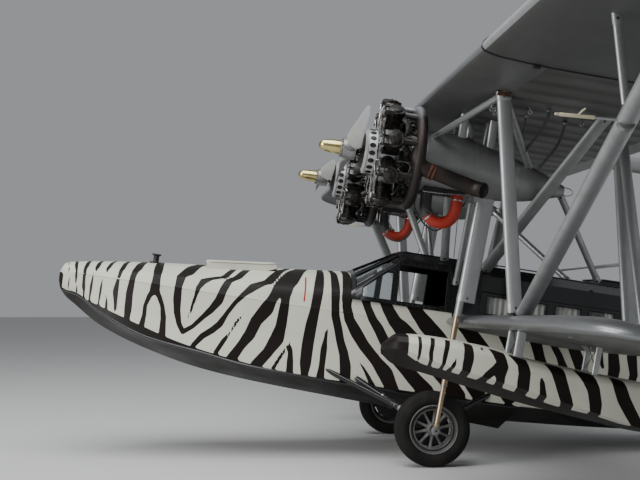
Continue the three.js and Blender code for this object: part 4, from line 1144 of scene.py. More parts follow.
# %% Finishes of the fittings
stained_fitting = finish("stained_fitting", (0.10, 0.055, 0.03), (0.035, 0.026, 0.02), 0.8, patch=18.0,
                         rough=0.5, metallic=0.4, relief=0.2)
probe_yellow = finish("probe_yellow", (0.50, 0.46, 0.32), (0.34, 0.31, 0.22), 0.5, patch=20.0, rough=0.4)
print("fittings:", stained_fitting.name, probe_yellow.name)

# %% Struts of the wings and engines
ENGINE = {"x": 3360, "y": 1450, "z": 2826, "cylinders": 9}
STRUTS = {
    "main_strut": [
        ((4352, 1450, 1180), (4430, 1450, 2560), 84, 84), ((4420, 1450, 1392), (4490, 1450, 2560), 198, 100),
        ((4385, 1290, 2560), (4455, 668, 1600), 66, 46)],
    "inboard_strut": [((4120, 1270, 2580), (4325, 512, 1868), 96, 50)],
    "front_strut_frame": [
        ((4545, 3000, 1325), (4170, 3000, 3345), 140, 72), ((4165, 2990, 3318), (3800, 1600, 3040), 66, 66),
        ((4195, 2985, 3308), (4885, 1560, 2905), 75, 62)],
    "outer_strut": [
        ((4610, 3075, 1325), (4215, 7400, 3345), 150, 72), ((4351, 5908, 2638), (4180, 5908, 3352), 60, 40)],
    "rear_cabane_strut": [((4785, 578, 1806), (5310, 2600, 3350), 145, 50)],
    "rear_strut_frame": [
        ((5625, 2075, 3350), (5679, 3010, 1140), 150, 66), ((5640, 2110, 3350), (5680, 3400, 1140), 116, 56)],
    "nacelle_tail_strut": [((5285, 1424, 2704), (6135, 516, 1876), 76, 76)],
    "tail_strut": [((8850, 118, 1330), (9900, 1440, 3570), 96, 50),
                   ((8850, 118, 1330), (10940, 1440, 3585), 96, 50)],
}


JURY_FOOT = (4351, 5908, 2638)
PROBE_AXIS = (-500, 0, -30)


def strut_frame(name):
    shape = Shape()
    for start, end, chord, thick in STRUTS[name]:
        strut(shape, start, end, chord, thick)
    if name == "main_strut":
        shape.block((4355, 1265, 2462), (4570, 1500, 2550))
    if name in ("front_strut_frame", "outer_strut"):
        x, y = (4545, 3000) if name == "front_strut_frame" else (4605, 3072)
        strut(shape, (x, y, 1190), (x, y, 1360), 70, 40, 1, cuffs=(False, False))
        shape.turned((x, y - 44, 1322), STARBOARD, [(0, 13), (88, 13)], 6, 1)
    if name == "front_strut_frame":
        shape.block((4110, 2955, 3296), (4236, 3045, 3336), 3)
        shape.turned((4172, 2940, 3304), STARBOARD, [(0, 16), (4, 20), (116, 20), (120, 16)], 8, 3)
    if name == "outer_strut":
        x, y, z = JURY_FOOT
        shape.turned((x, y - 40, z - 19), (-395, 4325, 2005), [(0, 58), (3, 62), (34, 62), (37, 58)], 20, 2)
        shape.turned((x - 10, y, z + 16), (-170, 0, 714), [(0, 34), (90, 34), (94, 26)], 14, 1)
        probe = np.array([4610, 3075, 1325]) * 0.345 + np.array([4215, 7400, 3330]) * 0.655
        shape.turned(probe, PROBE_AXIS, [(0, 9), (232, 9)], 12, 0)
        shape.turned(probe + np.array([-229.0, 0, -13.8]), PROBE_AXIS, [(0, 13), (236, 13), (246, 8)], 12, 4)
    return shape


strut_looks = [strut_silver, dark_steel, steel, stained_fitting, probe_yellow]
for name in STRUTS:
    both_sides(strut_frame(name), f"{name}_tubes", strut_looks, name, "strut_paint", 40)

# %% [markdown]
# ## Floats
# A float under each lower wing keeps the aircraft level on the water. It is a small boat
# of the same kind as the hull: a dark nose cap, a black bottom, and stripes along its
# sides. Four short legs carry it, with crossed wires between them.

# %% Float stations and stripes
FLOAT_Y = 3000
FLOAT_STATIONS = [
    (3356, 40, 880, 825, 785), (3480, 165, 985, 850, 705), (3800, 245, 1005, 790, 655),
    (4250, 275, 985, 715, 580),
    (4700, 275, 925, 640, 510), (5300, 270, 878, 530, 440), (5862, 235, 845, 440, 392),
    (6400, 150, 790, 470, 405), (6860, 45, 710, 560, 500),
]
# Place, foot, side, head, chord, thickness
FLOAT_LEGS = [(4575, 800, -150, 1200, 90, 40), (4575, 800, 150, 1200, 90, 40),
              (5310, 760, -150, 1150, 60, 26), (5310, 760, 150, 1150, 60, 26)]
FLOAT_STRIPES = [
    [(3660, 1005, 15), (3670, 895, 15), (3670, 780, 12)],
    [(3780, 1010, 19), (3770, 855, 19), (3785, 750, 15)],
    [(3915, 1010, 23), (3900, 875, 21), (3890, 730, 15)],
    [(4000, 845, 4), (3985, 780, 17), (3960, 720, 19)],
    [(4095, 1005, 38), (4110, 855, 46), (4095, 685, 38)],
    [(4225, 960, 12), (4230, 910, 3)],
    [(4320, 975, 31), (4390, 910, 52), (4435, 820, 42), (4415, 730, 42), (4425, 635, 35)],
    [(4415, 865, 42), (4360, 790, 38), (4300, 730, 35), (4255, 660, 35)],
    [(4505, 945, 31), (4600, 885, 50), (4630, 790, 56), (4630, 710, 58), (4635, 605, 54)],
    [(4780, 795, 4), (4805, 710, 25), (4830, 580, 35)],
    [(4870, 915, 52), (4930, 855, 62), (4975, 750, 58), (5030, 625, 56), (5085, 520, 42)],
    [(5150, 890, 52), (5225, 820, 62), (5280, 730, 58), (5315, 605, 58), (5325, 490, 48)],
    [(5485, 865, 52), (5530, 770, 62), (5575, 675, 62), (5650, 570, 58), (5735, 460, 52)],
    [(5780, 850, 40), (5830, 740, 46), (5900, 600, 40), (5960, 480, 30)],
    [(6030, 840, 36), (6060, 720, 44), (6120, 600, 36), (6200, 480, 30)],
    [(6260, 810, 30), (6290, 700, 34), (6360, 560, 26)],
    [(6480, 790, 24), (6500, 680, 28), (6560, 540, 20)],
    [(6680, 760, 16), (6700, 660, 20), (6740, 540, 14)],
]
FLOAT_BLACK = [(3356, 1200), (3545, 1180), (3572, 815), (4007, 707), (4340, 655), (4673, 593), (5007, 530),
               (5319, 499), (5684, 447), (5862, 452), (6400, 480), (6860, 565)]


def float_ring(x):
    half, deck, chine, keel = smooth_rows(FLOAT_STATIONS, x)
    side = [(half, chine), (half, (deck + chine) / 2), (half * 0.97, deck - 70), (half * 0.75, deck - 22)]
    parts = [np.linspace((0, keel), side[0], 7)[:-1], np.linspace(side[0], side[1], 9)[:-1],
             eased([side[1], side[2], side[3], (0, deck)], (7, 5, 6)), np.array([[0, deck]])]
    line = np.concatenate(parts)
    right = [(x, FLOAT_Y + y, z) for y, z in line]
    return right + [(x, FLOAT_Y - y, z) for y, z in line[1:-1][::-1]]


def float_height(x, y, z):
    """Height up a float's side; past its edge it runs on across the deck."""
    stations = [row[0] for row in FLOAT_STATIONS]
    half = np.interp(x, stations, [row[1] for row in FLOAT_STATIONS])
    deck = np.interp(x, stations, [row[2] for row in FLOAT_STATIONS])
    return z + np.where(z > deck - 60, np.maximum(half * 0.75 - np.abs(np.abs(y) - FLOAT_Y), 0), 0)


def float_shape():
    where = np.concatenate([3356 + 200 * np.linspace(0, 1, 12)[:-1] ** 1.6, np.arange(3556, 6860, 20),
                            [6860]])
    shape = Shape().rings([float_ring(x) for x in where])
    for x, foot, y, head, chord, thick in FLOAT_LEGS:
        strut(shape, (x, FLOAT_Y + y, foot), (x + 20, FLOAT_Y + y, head), chord, thick, 1,
              cuffs=(False, False))
    for x, foot, _, head, _, _ in FLOAT_LEGS[::2]:
        for low, high in ((-150, 150), (150, -150)):
            bent_tube(shape, [(x + 10, FLOAT_Y + low, foot + 140), (x + 10, FLOAT_Y + high, head - 20)], 4,
                      sides=6, look=2)
    return shape


float_looks = [hull_paint, strut_silver, dark_steel]
for piece in both_sides(float_shape(), "float_shell", float_looks, "float", "hull_paint", 30):
    paint_hull(piece, FLOAT_STRIPES, FLOAT_BLACK, float_height)

# %% [markdown]
# ## Repeats with Geometry Nodes
# An engine has nine like cylinders, each with two dozen thin fins, and a nacelle has rows
# of rivets. Copying such things by hand is slow to change. Three small node trees do it:
# one stacks fins along a line, one sets copies round an axis and one strews small domes
# along a path. Each ends in Realize Instances and Set Material, so that the result is a
# plain mesh with its finish, and the script takes that mesh and drops the modifier.


# %% Trees that repeat
def repeat_tree(name, inputs):
    tree = bpy.data.node_groups.new(name, "GeometryNodeTree")
    tree.interface.new_socket("Geometry", in_out="INPUT", socket_type="NodeSocketGeometry")
    for label, kind, value in inputs:
        socket = tree.interface.new_socket(label, in_out="INPUT", socket_type=kind)
        socket.default_value = value
    tree.interface.new_socket("Material", in_out="INPUT", socket_type="NodeSocketMaterial")
    tree.interface.new_socket("Geometry", in_out="OUTPUT", socket_type="NodeSocketGeometry")
    return tree, tree.nodes.new("NodeGroupInput"), tree.nodes.new("NodeGroupOutput")


def close_tree(tree, inside, outside, instances):
    real = tree.nodes.new("GeometryNodeRealizeInstances")
    tree.links.new(instances, real.inputs[0])
    painted = tree.nodes.new("GeometryNodeSetMaterial")
    tree.links.new(real.outputs[0], painted.inputs["Geometry"])
    tree.links.new(inside.outputs["Material"], painted.inputs["Material"])
    tree.links.new(painted.outputs[0], outside.inputs[0])
    return tree


def stack_tree():
    """Thin discs stacked along the height."""
    tree, inside, outside = repeat_tree("stack_of_fins", [
        ("Count", "NodeSocketInt", 12), ("Spacing", "NodeSocketFloat", 12.0),
        ("Start", "NodeSocketFloat", 250.0),
        ("Radius", "NodeSocketFloat", 80.0), ("Thickness", "NodeSocketFloat", 3.0)])
    line = tree.nodes.new("GeometryNodeMeshLine")
    tree.links.new(inside.outputs["Count"], line.inputs["Count"])
    for label, target in (("Start", "Start Location"), ("Spacing", "Offset")):
        upward = tree.nodes.new("ShaderNodeCombineXYZ")
        tree.links.new(inside.outputs[label], upward.inputs["Z"])
        tree.links.new(upward.outputs[0], line.inputs[target])
    disc = tree.nodes.new("GeometryNodeMeshCylinder")
    disc.inputs["Vertices"].default_value = 20
    tree.links.new(inside.outputs["Radius"], disc.inputs["Radius"])
    tree.links.new(inside.outputs["Thickness"], disc.inputs["Depth"])
    placed = tree.nodes.new("GeometryNodeInstanceOnPoints")
    tree.links.new(line.outputs[0], placed.inputs["Points"])
    tree.links.new(disc.outputs["Mesh"], placed.inputs["Instance"])
    return close_tree(tree, inside, outside, placed.outputs[0])


def round_tree():
    """Copies of the mesh set round the x axis."""
    tree, inside, outside = repeat_tree("copies_round_axis", [("Count", "NodeSocketInt", 9)])
    line = tree.nodes.new("GeometryNodeMeshLine")
    line.inputs["Offset"].default_value = (0, 0, 0)
    tree.links.new(inside.outputs["Count"], line.inputs["Count"])
    index = tree.nodes.new("GeometryNodeInputIndex")
    step = math_node(tree, "DIVIDE", 2 * math.pi, inside.outputs["Count"])
    turn = tree.nodes.new("ShaderNodeCombineXYZ")
    tree.links.new(math_node(tree, "MULTIPLY", index.outputs[0], step), turn.inputs["X"])
    placed = tree.nodes.new("GeometryNodeInstanceOnPoints")
    tree.links.new(line.outputs[0], placed.inputs["Points"])
    tree.links.new(inside.outputs["Geometry"], placed.inputs["Instance"])
    tree.links.new(turn.outputs[0], placed.inputs["Rotation"])
    return close_tree(tree, inside, outside, placed.outputs[0])


def strewn_tree():
    """Small domes at even spacing along the edges of the mesh."""
    tree, inside, outside = repeat_tree("domes_on_path", [
        ("Spacing", "NodeSocketFloat", 40.0), ("Radius", "NodeSocketFloat", 4.0)])
    path = tree.nodes.new("GeometryNodeMeshToCurve")
    tree.links.new(inside.outputs["Geometry"], path.inputs[0])
    spots = tree.nodes.new("GeometryNodeCurveToPoints")
    spots.mode = "LENGTH"
    tree.links.new(path.outputs[0], spots.inputs["Curve"])
    tree.links.new(inside.outputs["Spacing"], spots.inputs["Length"])
    dome = tree.nodes.new("GeometryNodeMeshIcoSphere")
    dome.inputs["Subdivisions"].default_value = 1
    tree.links.new(inside.outputs["Radius"], dome.inputs["Radius"])
    placed = tree.nodes.new("GeometryNodeInstanceOnPoints")
    tree.links.new(spots.outputs["Points"], placed.inputs["Points"])
    tree.links.new(dome.outputs["Mesh"], placed.inputs["Instance"])
    return close_tree(tree, inside, outside, placed.outputs[0])


fins_tree, copies_tree, domes_tree = stack_tree(), round_tree(), strewn_tree()
print("trees:", fins_tree.name, copies_tree.name, domes_tree.name)


# %% Run a tree and keep a plain mesh
def grown(tree, base=None, **values):
    holder = bpy.data.objects.new("holder", base or bpy.data.meshes.new("seed"))
    bpy.context.scene.collection.objects.link(holder)
    modifier = holder.modifiers.new("grow", "NODES")
    modifier.node_group = tree
    for socket in tree.interface.items_tree:
        if socket.in_out == "INPUT" and socket.name in values:
            modifier[socket.identifier] = values[socket.name]
    graph = bpy.context.evaluated_depsgraph_get()
    result = bpy.data.meshes.new_from_object(holder.evaluated_get(graph))
    holder.modifiers.remove(modifier)
    bpy.data.objects.remove(holder)
    return result


def seed_mesh(points, faces=(), edges=()):
    data = bpy.data.meshes.new("seed")
    data.from_pydata([tuple(map(float, p)) for p in points], list(edges), list(faces))
    return data


def round_axis(shape, count, material):
    """Copies of a shape round the x axis."""
    base = seed_mesh(np.concatenate(shape.points), shape.faces)
    return of_mesh(grown(copies_tree, base, Count=count, Material=material))


def rivets(lines, spacing, radius, material):
    """Rivet heads along drawn lines."""
    heads = Shape()
    for line in lines:
        edges = [(i, i + 1) for i in range(len(line) - 1)]
        heads.merge(of_mesh(grown(domes_tree, seed_mesh(line, edges=edges), Spacing=float(spacing),
                                  Radius=float(radius), Material=material)))
    return heads


def with_look(shape, look):
    shape.looks = [look] * len(shape.faces)
    return shape


def shifted(shape, x, y, z):
    shape.points = [block + (x, y, z) for block in shape.points]
    return shape


print("a ring of nine:", len(round_axis(Shape().block((0, 0, 0), (1, 1, 1)), 9, steel).faces), "faces")

# %% [markdown]
# ## Engines
# Each engine is a nine-cylinder radial without a cowling, so everything shows: the light
# crankcase, black finned barrels and heads, rocker boxes, pushrod tubes in front, intake
# pipes behind and the ignition leads. One cylinder is built standing on the crankshaft's
# line, and the tree sets nine of them round it. Thin fins really cut into the silhouette,
# so they are discs and not a bump.

# %% Engine finishes
cylinder_black = finish("cylinder_black", (0.007, 0.007, 0.007), (0.070, 0.062, 0.054), 0.85, patch=30.0,
                        rough=0.26, spread=0.3, metallic=0.5, relief=0.25)
# Black with light specks: the specks are painted glints, standing for the light caught by the small polished
# fittings.
painted_glint_specks = finish("fittings_with_painted_glints", (0.012, 0.011, 0.010), (0.46, 0.45, 0.43), 0.85, patch=36.0, rough=0.3,
                  spread=0.3, metallic=0.6, relief=0.25)
crankcase_grey = finish("crankcase_grey", (0.44, 0.445, 0.45), (0.24, 0.235, 0.225), 0.6, patch=9.0,
                        rough=0.36, spread=0.2, metallic=0.3, relief=0.12)
bright_steel = finish("bright_steel", (0.52, 0.52, 0.51), (0.30, 0.28, 0.25), 0.5, patch=20.0, rough=0.2,
                      spread=0.2, metallic=0.95, relief=0.04)
copper = finish("copper_clamp", (0.19, 0.070, 0.036), (0.06, 0.038, 0.030), 0.85, patch=20.0, rough=0.5,
                metallic=0.7)
print("engine finishes:", [m.name for m in (cylinder_black, painted_glint_specks, crankcase_grey, bright_steel, copper)])


# %% One cylinder and its fittings
def one_cylinder():
    """Black parts of one cylinder, standing on the x axis and pointing up."""
    black = Shape()
    black.turned((0, 0, 232), UP, [(0, 80), (12, 80), (14, 62), (188, 62), (200, 74), (318, 76), (345, 62),
                                          (352, 30)], 20)
    for values in ({"Count": 13, "Spacing": 12.5, "Start": 256.0, "Radius": 82.0, "Thickness": 3.2},
                   {"Count": 10, "Spacing": 14.0, "Start": 430.0, "Radius": 98.0, "Thickness": 4.0}):
        black.merge(of_mesh(grown(fins_tree, Material=cylinder_black, **values)))
    for side in (-1, 1):
        black.rings([[(x, side * 46 + dy * w, 536 + dz * w * 0.75) for dy, dz in
                      ((30, -30), (36, 0), (26, 34), (-14, 40), (-30, 20), (-30, -24))]
                     for x, w in ((-118, 0.7), (-112, 1.0), (-20, 1.05), (50, 0.95), (66, 0.6))])
        black.turned((-20, side * 52, 556), (0, 0.25 * side, 1), [(0, 24), (18, 24), (22, 14), (28, 12)], 8)
        black.turned((62, side * 20, 470), (1, 0.1 * side, 0), [(0, 20), (36, 20), (40, 26), (48, 26)], 12)
    for low, high in ((276, 330), (352, 404)):
        black.block((-88, 62, low), (84, 92, high))
    return black


def glint_speckled_fittings():
    """Push-rod tubes, rocker covers and intake elbow of one cylinder, in the black finish with light specks,
    which are painted glints.
    """
    worn = Shape()
    for side in (-1, 1):
        worn.turned((-88, side * 34, 232), (-0.02, 0.055 * side, 1), [(0, 19), (18, 19), (22, 12), (284, 12),
                                                                    (288, 17), (300, 17)], 10)
        worn.block((-104, side * 46 - 26, 566), (-30, side * 46 + 26, 574))
        worn.block((-122, side * 46 - 20, 506), (-110, side * 46 + 20, 548))
    bent_tube(worn, [(96, 70, 215), (150, 74, 290), (158, 70, 400), (88, 50, 492)], 27, 14, 12)
    worn.block((-60, -70, 428), (60, 70, 434))
    worn.turned((104, -56, 330), (0, 0.1, 1), [(0, 7), (150, 7)], 8)
    return worn


def rear_clutter():
    """One ninth of the mounting ring, pipes and accessories between the cylinders and the firewall."""
    dark = Shape()
    bent_tube(dark, [(120, -30, 236), (190, -20, 296), (236, 60, 330), (300, 70, 318)], 21, 12, 10)
    bent_tube(dark, [(96, -74, 330), (180, -92, 372), (226, -60, 404), (214, 0, 430)], 15, 12, 8)
    dark.block((108, 46, 250), (204, 122, 330))
    dark.turned((100, -92, 286), AFT, [(0, 30), (64, 30), (70, 40), (112, 40), (118, 22), (140, 22)], 16)
    dark.block((110, -30, 352), (176, 34, 426))
    return dark


def bright_fittings():
    """Spark plugs, rocker nuts and ignition leads of one cylinder."""
    bright = Shape()
    for side, x in ((1, -72), (-1, 80)):
        bright.turned((x * 0.8, side * 36, 478), (x * 0.02, side * 0.6, 0.1),
                      [(0, 9), (14, 9), (15, 6), (40, 6)], 6)
        bent_tube(bright, [(x * 1.3, side * 70, 482), (x * 1.7, side * 78, 430), (x * 1.75, side * 60, 330),
                           (-128, side * 30, 262)], 3.5, 12, 6)
        bright.turned((-112, side * 46, 540), FORWARD, [(0, 10), (10, 10), (12, 5), (18, 5)], 6)
    bright.turned((-118, 0, 470), UP, [(0, 5), (60, 5)], 6)
    return bright


def crankcase():
    case = Shape()
    case.turned((-320, 0, 0), AFT, [
        (0, 34), (0, 44), (18, 60), (30, 66), (38, 88), (52, 130), (64, 168), (76, 192), (90, 214),
        (104, 228), (120, 234), (238, 240), (392, 240), (404, 226), (412, 120)], 54)
    case.turned((-232, 0, 0), AFT, [(0, 215), (8, 236), (16, 236), (22, 228)], 54)
    return case


def dark_faced(case):
    """The drum is light, but its front face is dark as far out as the bevel."""
    points = np.concatenate(case.points)
    case.looks = [0 if points[list(face)][:, 0].mean() < -246 else 1 for face in case.faces]
    return case


def nose_studs():
    """Eighteen studs round the nose of the crankcase."""
    bolt = Shape().turned((-284, 0, 104), (-1, 0, 0.3), [(0, 9), (9, 9), (10, 6), (17, 6)], 6)
    return round_axis(bolt, 18, bright_steel)


def dark_ovals():
    """Dark ovals, thin raised discs round the drum of the crankcase in front of the cylinders and on its
    front face.
    """
    port = Shape()
    turn = np.linspace(0, 2 * math.pi, 16, endpoint=False)
    port.rings([[(-172 + 34 * math.cos(a) * share, 26 * math.sin(a) * share, 236.5 + lift) for a in turn]
                for lift, share in ((0, 1.0), (4, 0.95), (4.5, 0.3))])
    front = Shape()
    front.rings([[(-262 - lift * 0.8 + 18 * math.cos(a) * share, 19 * math.sin(a) * share,
                   150 + lift * 0.6 + 27 * math.cos(a) * share) for a in turn[::-1]]
                 for lift, share in ((0, 1.0), (4, 0.95), (4.5, 0.3))])
    return round_axis(port, 18, cylinder_black).merge(round_axis(front, 9, cylinder_black))


cylinders = round_axis(one_cylinder(), ENGINE["cylinders"], cylinder_black)
print("faces in nine cylinders:", len(cylinders.faces))

# %% Both engines
engine_shape = with_look(cylinders, 0).merge(dark_faced(crankcase()))
engine_shape.merge(with_look(nose_studs(), 2)).merge(with_look(dark_ovals(), 0))
for fittings, material, look in ((bright_fittings(), bright_steel, 2), (glint_speckled_fittings(), painted_glint_specks, 3),
                                 (rear_clutter(), cylinder_black, 0)):
    engine_shape.merge(with_look(round_axis(fittings, ENGINE["cylinders"], material), look))
# The ignition harness also takes the black finish with painted glints.
harness = Shape().turned((-118, 0, 0), AFT, [(8 * math.cos(a), 250 + 8 * math.sin(a)) for a in
                                                   np.linspace(0, 2 * math.pi, 9)[:-1]], 54)
engine_shape.merge(with_look(harness, 3))
shifted(engine_shape, ENGINE["x"], ENGINE["y"], ENGINE["z"])
both_sides(engine_shape, "radial_engine", [cylinder_black, crankcase_grey, bright_steel, painted_glint_specks], "engine",
           "engine_castings", 40)

# %% [markdown]
# ## Exhaust, nacelle and intake
# A collector ring behind the cylinders gathers nine short stubs and leads into one outlet
# on the outer side. Heat has stained it unevenly, and its colour turns lighter grey
# towards the top. The nacelle behind it is riveted sheet, round at the firewall and tapering to a
# blunt tail. A rubber hose hangs below it and feeds the intake.


# %% Heat-stained steel
def heat_stained():
    material, tree, surface, worn_in, _ = start_finish(
        "heat_stained_steel", (0.024, 0.023, 0.022), (0.060, 0.036, 0.028), 0.6, patch=6.0, rough=0.40,
        spread=0.25, metallic=0.65, relief=0.2)
    place = tree.nodes.new("ShaderNodeTexCoord").outputs["Object"]
    apart = tree.nodes.new("ShaderNodeSeparateXYZ")
    tree.links.new(place, apart.inputs[0])
    noise = noise_node(tree, 6.0, 3.0)
    tree.links.new(place, noise.inputs["Vector"])
    # The colour turns lighter grey towards the top, by height alone.
    height = math_node(tree, "ADD", apart.outputs["Z"],
                       math_node(tree, "MULTIPLY", noise.outputs["Fac"], 0.16))
    grey_towards_top = map_range(tree, height, 3.70, 3.86)
    grey = mixed(tree, grey_towards_top, worn_in.outputs["Color"], (0.27, 0.275, 0.28))
    tree.links.new(grey, surface.inputs["Base Color"])
    return material


soot_black = finish("soot_black", (0.004, 0.004, 0.004), (0.010, 0.009, 0.008), 0.5, rough=0.9)
exhaust_steel = heat_stained()
print("exhaust finish:", exhaust_steel.name)

# %% Exhaust
EXHAUST = {"x": 3650, "ring": 495, "tube": 57}
OUTLET = [(-16, 470, 60), (-20, 462, -40), (40, 448, -140), (240, 446, -190), (545, 462, -264),
          (634, 496, -286), (682, 548, -298)]


def exhaust_shape():
    pipe = Shape()
    turn = np.linspace(0, 2 * math.pi, 97)[:-1]
    profile = [(EXHAUST["tube"] * math.cos(a), EXHAUST["ring"] + EXHAUST["tube"] * math.sin(a))
               for a in np.linspace(0, 2 * math.pi, 19)[:-1]]
    rows = [[(along, radius * math.cos(a), radius * math.sin(a)) for along, radius in profile] for a in turn]
    pipe.rings(rows + [rows[0]], 0, ends=False)
    stub = Shape()
    reach = ENGINE["x"] + 99 - EXHAUST["x"]
    bent_tube(stub, [(reach, 0, 497), (reach + 70, 0, 500), (reach + 160, 0, 500), (-20, 0, 495)], 32, 10, 14)
    stub.turned((reach + 4, 0, 497), AFT, [(0, 44), (10, 44), (12, 36), (30, 36)], 14)
    pipe.merge(with_look(round_axis(stub, ENGINE["cylinders"], exhaust_steel), 0))
    bent_tube(pipe, OUTLET, 79, 24, 28, radii=np.concatenate([[57, 60, 68, 76], np.full(20, 79.0)]))
    return pipe


def outlet_mouth():
    """The open end of the outlet, with the dark inside of the pipe."""
    end, before = np.array(OUTLET[-1], float), np.array(OUTLET[-2], float)
    along = (end - before) / np.linalg.norm(end - before)
    lip = Shape().turned(end - along * 26, along,
                         [(0, 79.5), (4, 82), (28, 82), (31, 79), (31, 72), (0, 71)], 28)
    hollow = Shape().turned(end - along * 60, along,
                            [(0, 0.5), (0, 70), (60.5, 71), (62.5, 71.5), (62.5, 70), (61, 0.5)], 28)
    return lip, hollow


def clamp_rings():
    bands = Shape()
    for along in (112.0, 152.0):
        place = np.array([along, 447.5, -160 - 0.22 * (along - 70)])
        bands.turned(place, (500, 10, -126), [(0, 80), (3, 84), (17, 84), (20, 80)], 28)
    bands.turned(np.array([128.0, 526, -165]), (0.3, 0.2, 1), [(0, 7), (46, 7)], 8)
    return bands


exhaust = exhaust_shape()
lip, hollow = outlet_mouth()
exhaust.merge(with_look(lip, 0)).merge(with_look(hollow, 1)).merge(with_look(clamp_rings(), 2))
shifted(exhaust, EXHAUST["x"], ENGINE["y"], ENGINE["z"])
both_sides(exhaust, "exhaust_ring", [exhaust_steel, soot_black, copper], "exhaust", "burnt_steel", 40)

# %% Nacelle
NACELLE = [(3450, 2822, 225), (3740, 2824, 316), (4060, 2824, 322), (4300, 2805, 296), (4560, 2768, 262),
           (4900, 2742, 196), (5242, 2722, 84), (5315, 2718, 58)]
HANGERS = [(4120, 170), (4120, -170), (4450, 110), (4450, -110)]


def nacelle_ring(x, grow=0.0):
    """A ring of 48 points; the first part is a plain cone, the rest is smoothed."""
    (x0, z0, r0), (x1, z1, r1) = NACELLE[:2]
    if x < x1:
        z, radius = float(np.interp(x, [x0, x1], [z0, z1])), float(np.interp(x, [x0, x1], [r0, r1]))
    else:
        z, radius = (float(v) for v in smooth_rows(NACELLE[1:], x))
    turn = np.linspace(0, 2 * math.pi, 48, endpoint=False)
    return [(x, ENGINE["y"] + math.sin(a) * (radius + grow), z + math.cos(a) * (radius + grow)) for a in turn]


def nacelle_shape():
    where = list(np.linspace(3450.5, 3739, 5)) + list(np.linspace(3741, 5242, 40)) + [5270, 5295, 5308, 5315]
    shape = Shape().rings([nacelle_ring(x) for x in where])
    for x in (3741, 4300, 4760):
        shape.rings([nacelle_ring(x - 16), nacelle_ring(x - 15, 2.5), nacelle_ring(x + 15, 2.5),
                     nacelle_ring(x + 16)], 0, ends=False)
    for x, y in HANGERS:
        strut(shape, (x, ENGINE["y"] + y * 0.6, 2850), (x, ENGINE["y"] + y, 3385), 90, 45, 1,
              cuffs=(False, False))
    guard = [(5300, ENGINE["y"], 2764), (5390, ENGINE["y"], 2752), (5428, ENGINE["y"], 2715),
             (5390, ENGINE["y"], 2680), (5300, ENGINE["y"], 2668)]
    bent_tube(shape, guard, 5, 24, 8, 2)
    return shape


def nacelle_rivets():
    lines = []
    for x in (3729, 3753, 4289, 4311, 4749, 4771):
        ring = nacelle_ring(x, 2.0)
        lines.append(ring + [ring[0]])
    for turn in (8, 16, 32, 40):
        lines.append([nacelle_ring(x, 0.5)[turn] for x in np.linspace(3770, 4740, 12)])
    return rivets(lines, 42, 4.0, steel)


def belly_opening():
    """The underside opening with its lip, where the ducts come out; the opening itself is a closed box in
    dark steel, a painted shade for its inside.
    """
    y, box = ENGINE["y"], Shape()
    z = 2497
    box.rings([[(3790, y - 150, z + 40), (3790, y + 150, z + 40), (3790, y + 150, z - 18),
                (3790, y - 150, z - 18)],
               [(4240, y - 150, z + 60), (4240, y + 150, z + 60), (4240, y + 150, z + 4),
                (4240, y - 150, z + 4)]], 2)
    for side in (-1, 1):
        bent_tube(box, [(3780, y + side * 156, z - 18), (4000, y + side * 156, z - 12),
                        (4250, y + side * 150, z + 8)],
                  7, 12, 8, 2)
    return box


nacelle = nacelle_shape().merge(with_look(nacelle_rivets(), 2))
lip_box = belly_opening()
# The box's own six faces are dark steel: painted shade where the opening is.
lip_box.looks = [3 if k < 6 else 2 for k in range(len(lip_box.looks))]
nacelle.merge(lip_box)
nacelle_sheet = finish("nacelle_sheet", (0.27, 0.273, 0.272), (0.15, 0.15, 0.145), 0.6, patch=3.0, rough=0.36,
                       spread=0.2, metallic=0.45, relief=0.08)
both_sides(nacelle, "nacelle_shell", [nacelle_sheet, strut_silver, bright_steel, dark_steel], "nacelle",
           "silver_sheet", 32)

# %% Intake hose
HOSE_ROUTE = [(3852, 2560), (3856, 2400), (3870, 2290), (3945, 2210), (4050, 2192), (4140, 2240),
              (4183, 2350), (4186, 2540)]
hose_red = finish("red_hose", (0.42, 0.028, 0.012), (0.20, 0.022, 0.014), 0.6, patch=11.0, rough=0.5,
                  spread=0.2, relief=0.25, fine=300.0)
duct_black = finish("black_duct", (0.03, 0.03, 0.03), (0.07, 0.068, 0.06), 0.6, patch=14.0, rough=0.5,
                    relief=0.3)
hose = Shape()
route = [(x, ENGINE["y"], z) for x, z in HOSE_ROUTE]
steps = 44
red_from = 15
ribs = np.array([64 + (2.2 if k % 2 else -1.5) * (k >= red_from) * (k < 38) for k in range(steps)])
bent_tube(hose, route, 64, steps, 20, radii=ribs, looks=[1] * red_from + [0] * (steps - red_from))
for x, z, lean in ((3898, 2247, (1, 0, -0.9)), (4185, 2440, (0.02, 0, 1)), (4186, 2500, (0.02, 0, 1))):
    hose.turned((x, ENGINE["y"], z), lean, [(0, 66), (1, 69), (15, 69), (16, 66)], 20, 2)
    hose.block((x - 12, ENGINE["y"] - 84, z - 2), (x + 12, ENGINE["y"] - 64, z + 16), 2)
both_sides(hose, "intake_tube", [hose_red, duct_black, bright_steel], "intake_hose", "hose_rubber", 50)

# %% [markdown]
# ## Propellers
# Two metal blades on a short hub with a long polished dome in front. A blade twists from
# steep at the root to flat at the tip and its chord swells and narrows again, so it is a
# row of sections from a table, joined by smooth curves. The back of a blade is flat and
# its front is rounded. Both propellers turn the same way, so the port one is no mirror
# image; each rests at its own angle.

# %% Blades and hub
PROPELLER = {"x": 2989, "rakes": {"starboard": 2.5, "port": 11}}
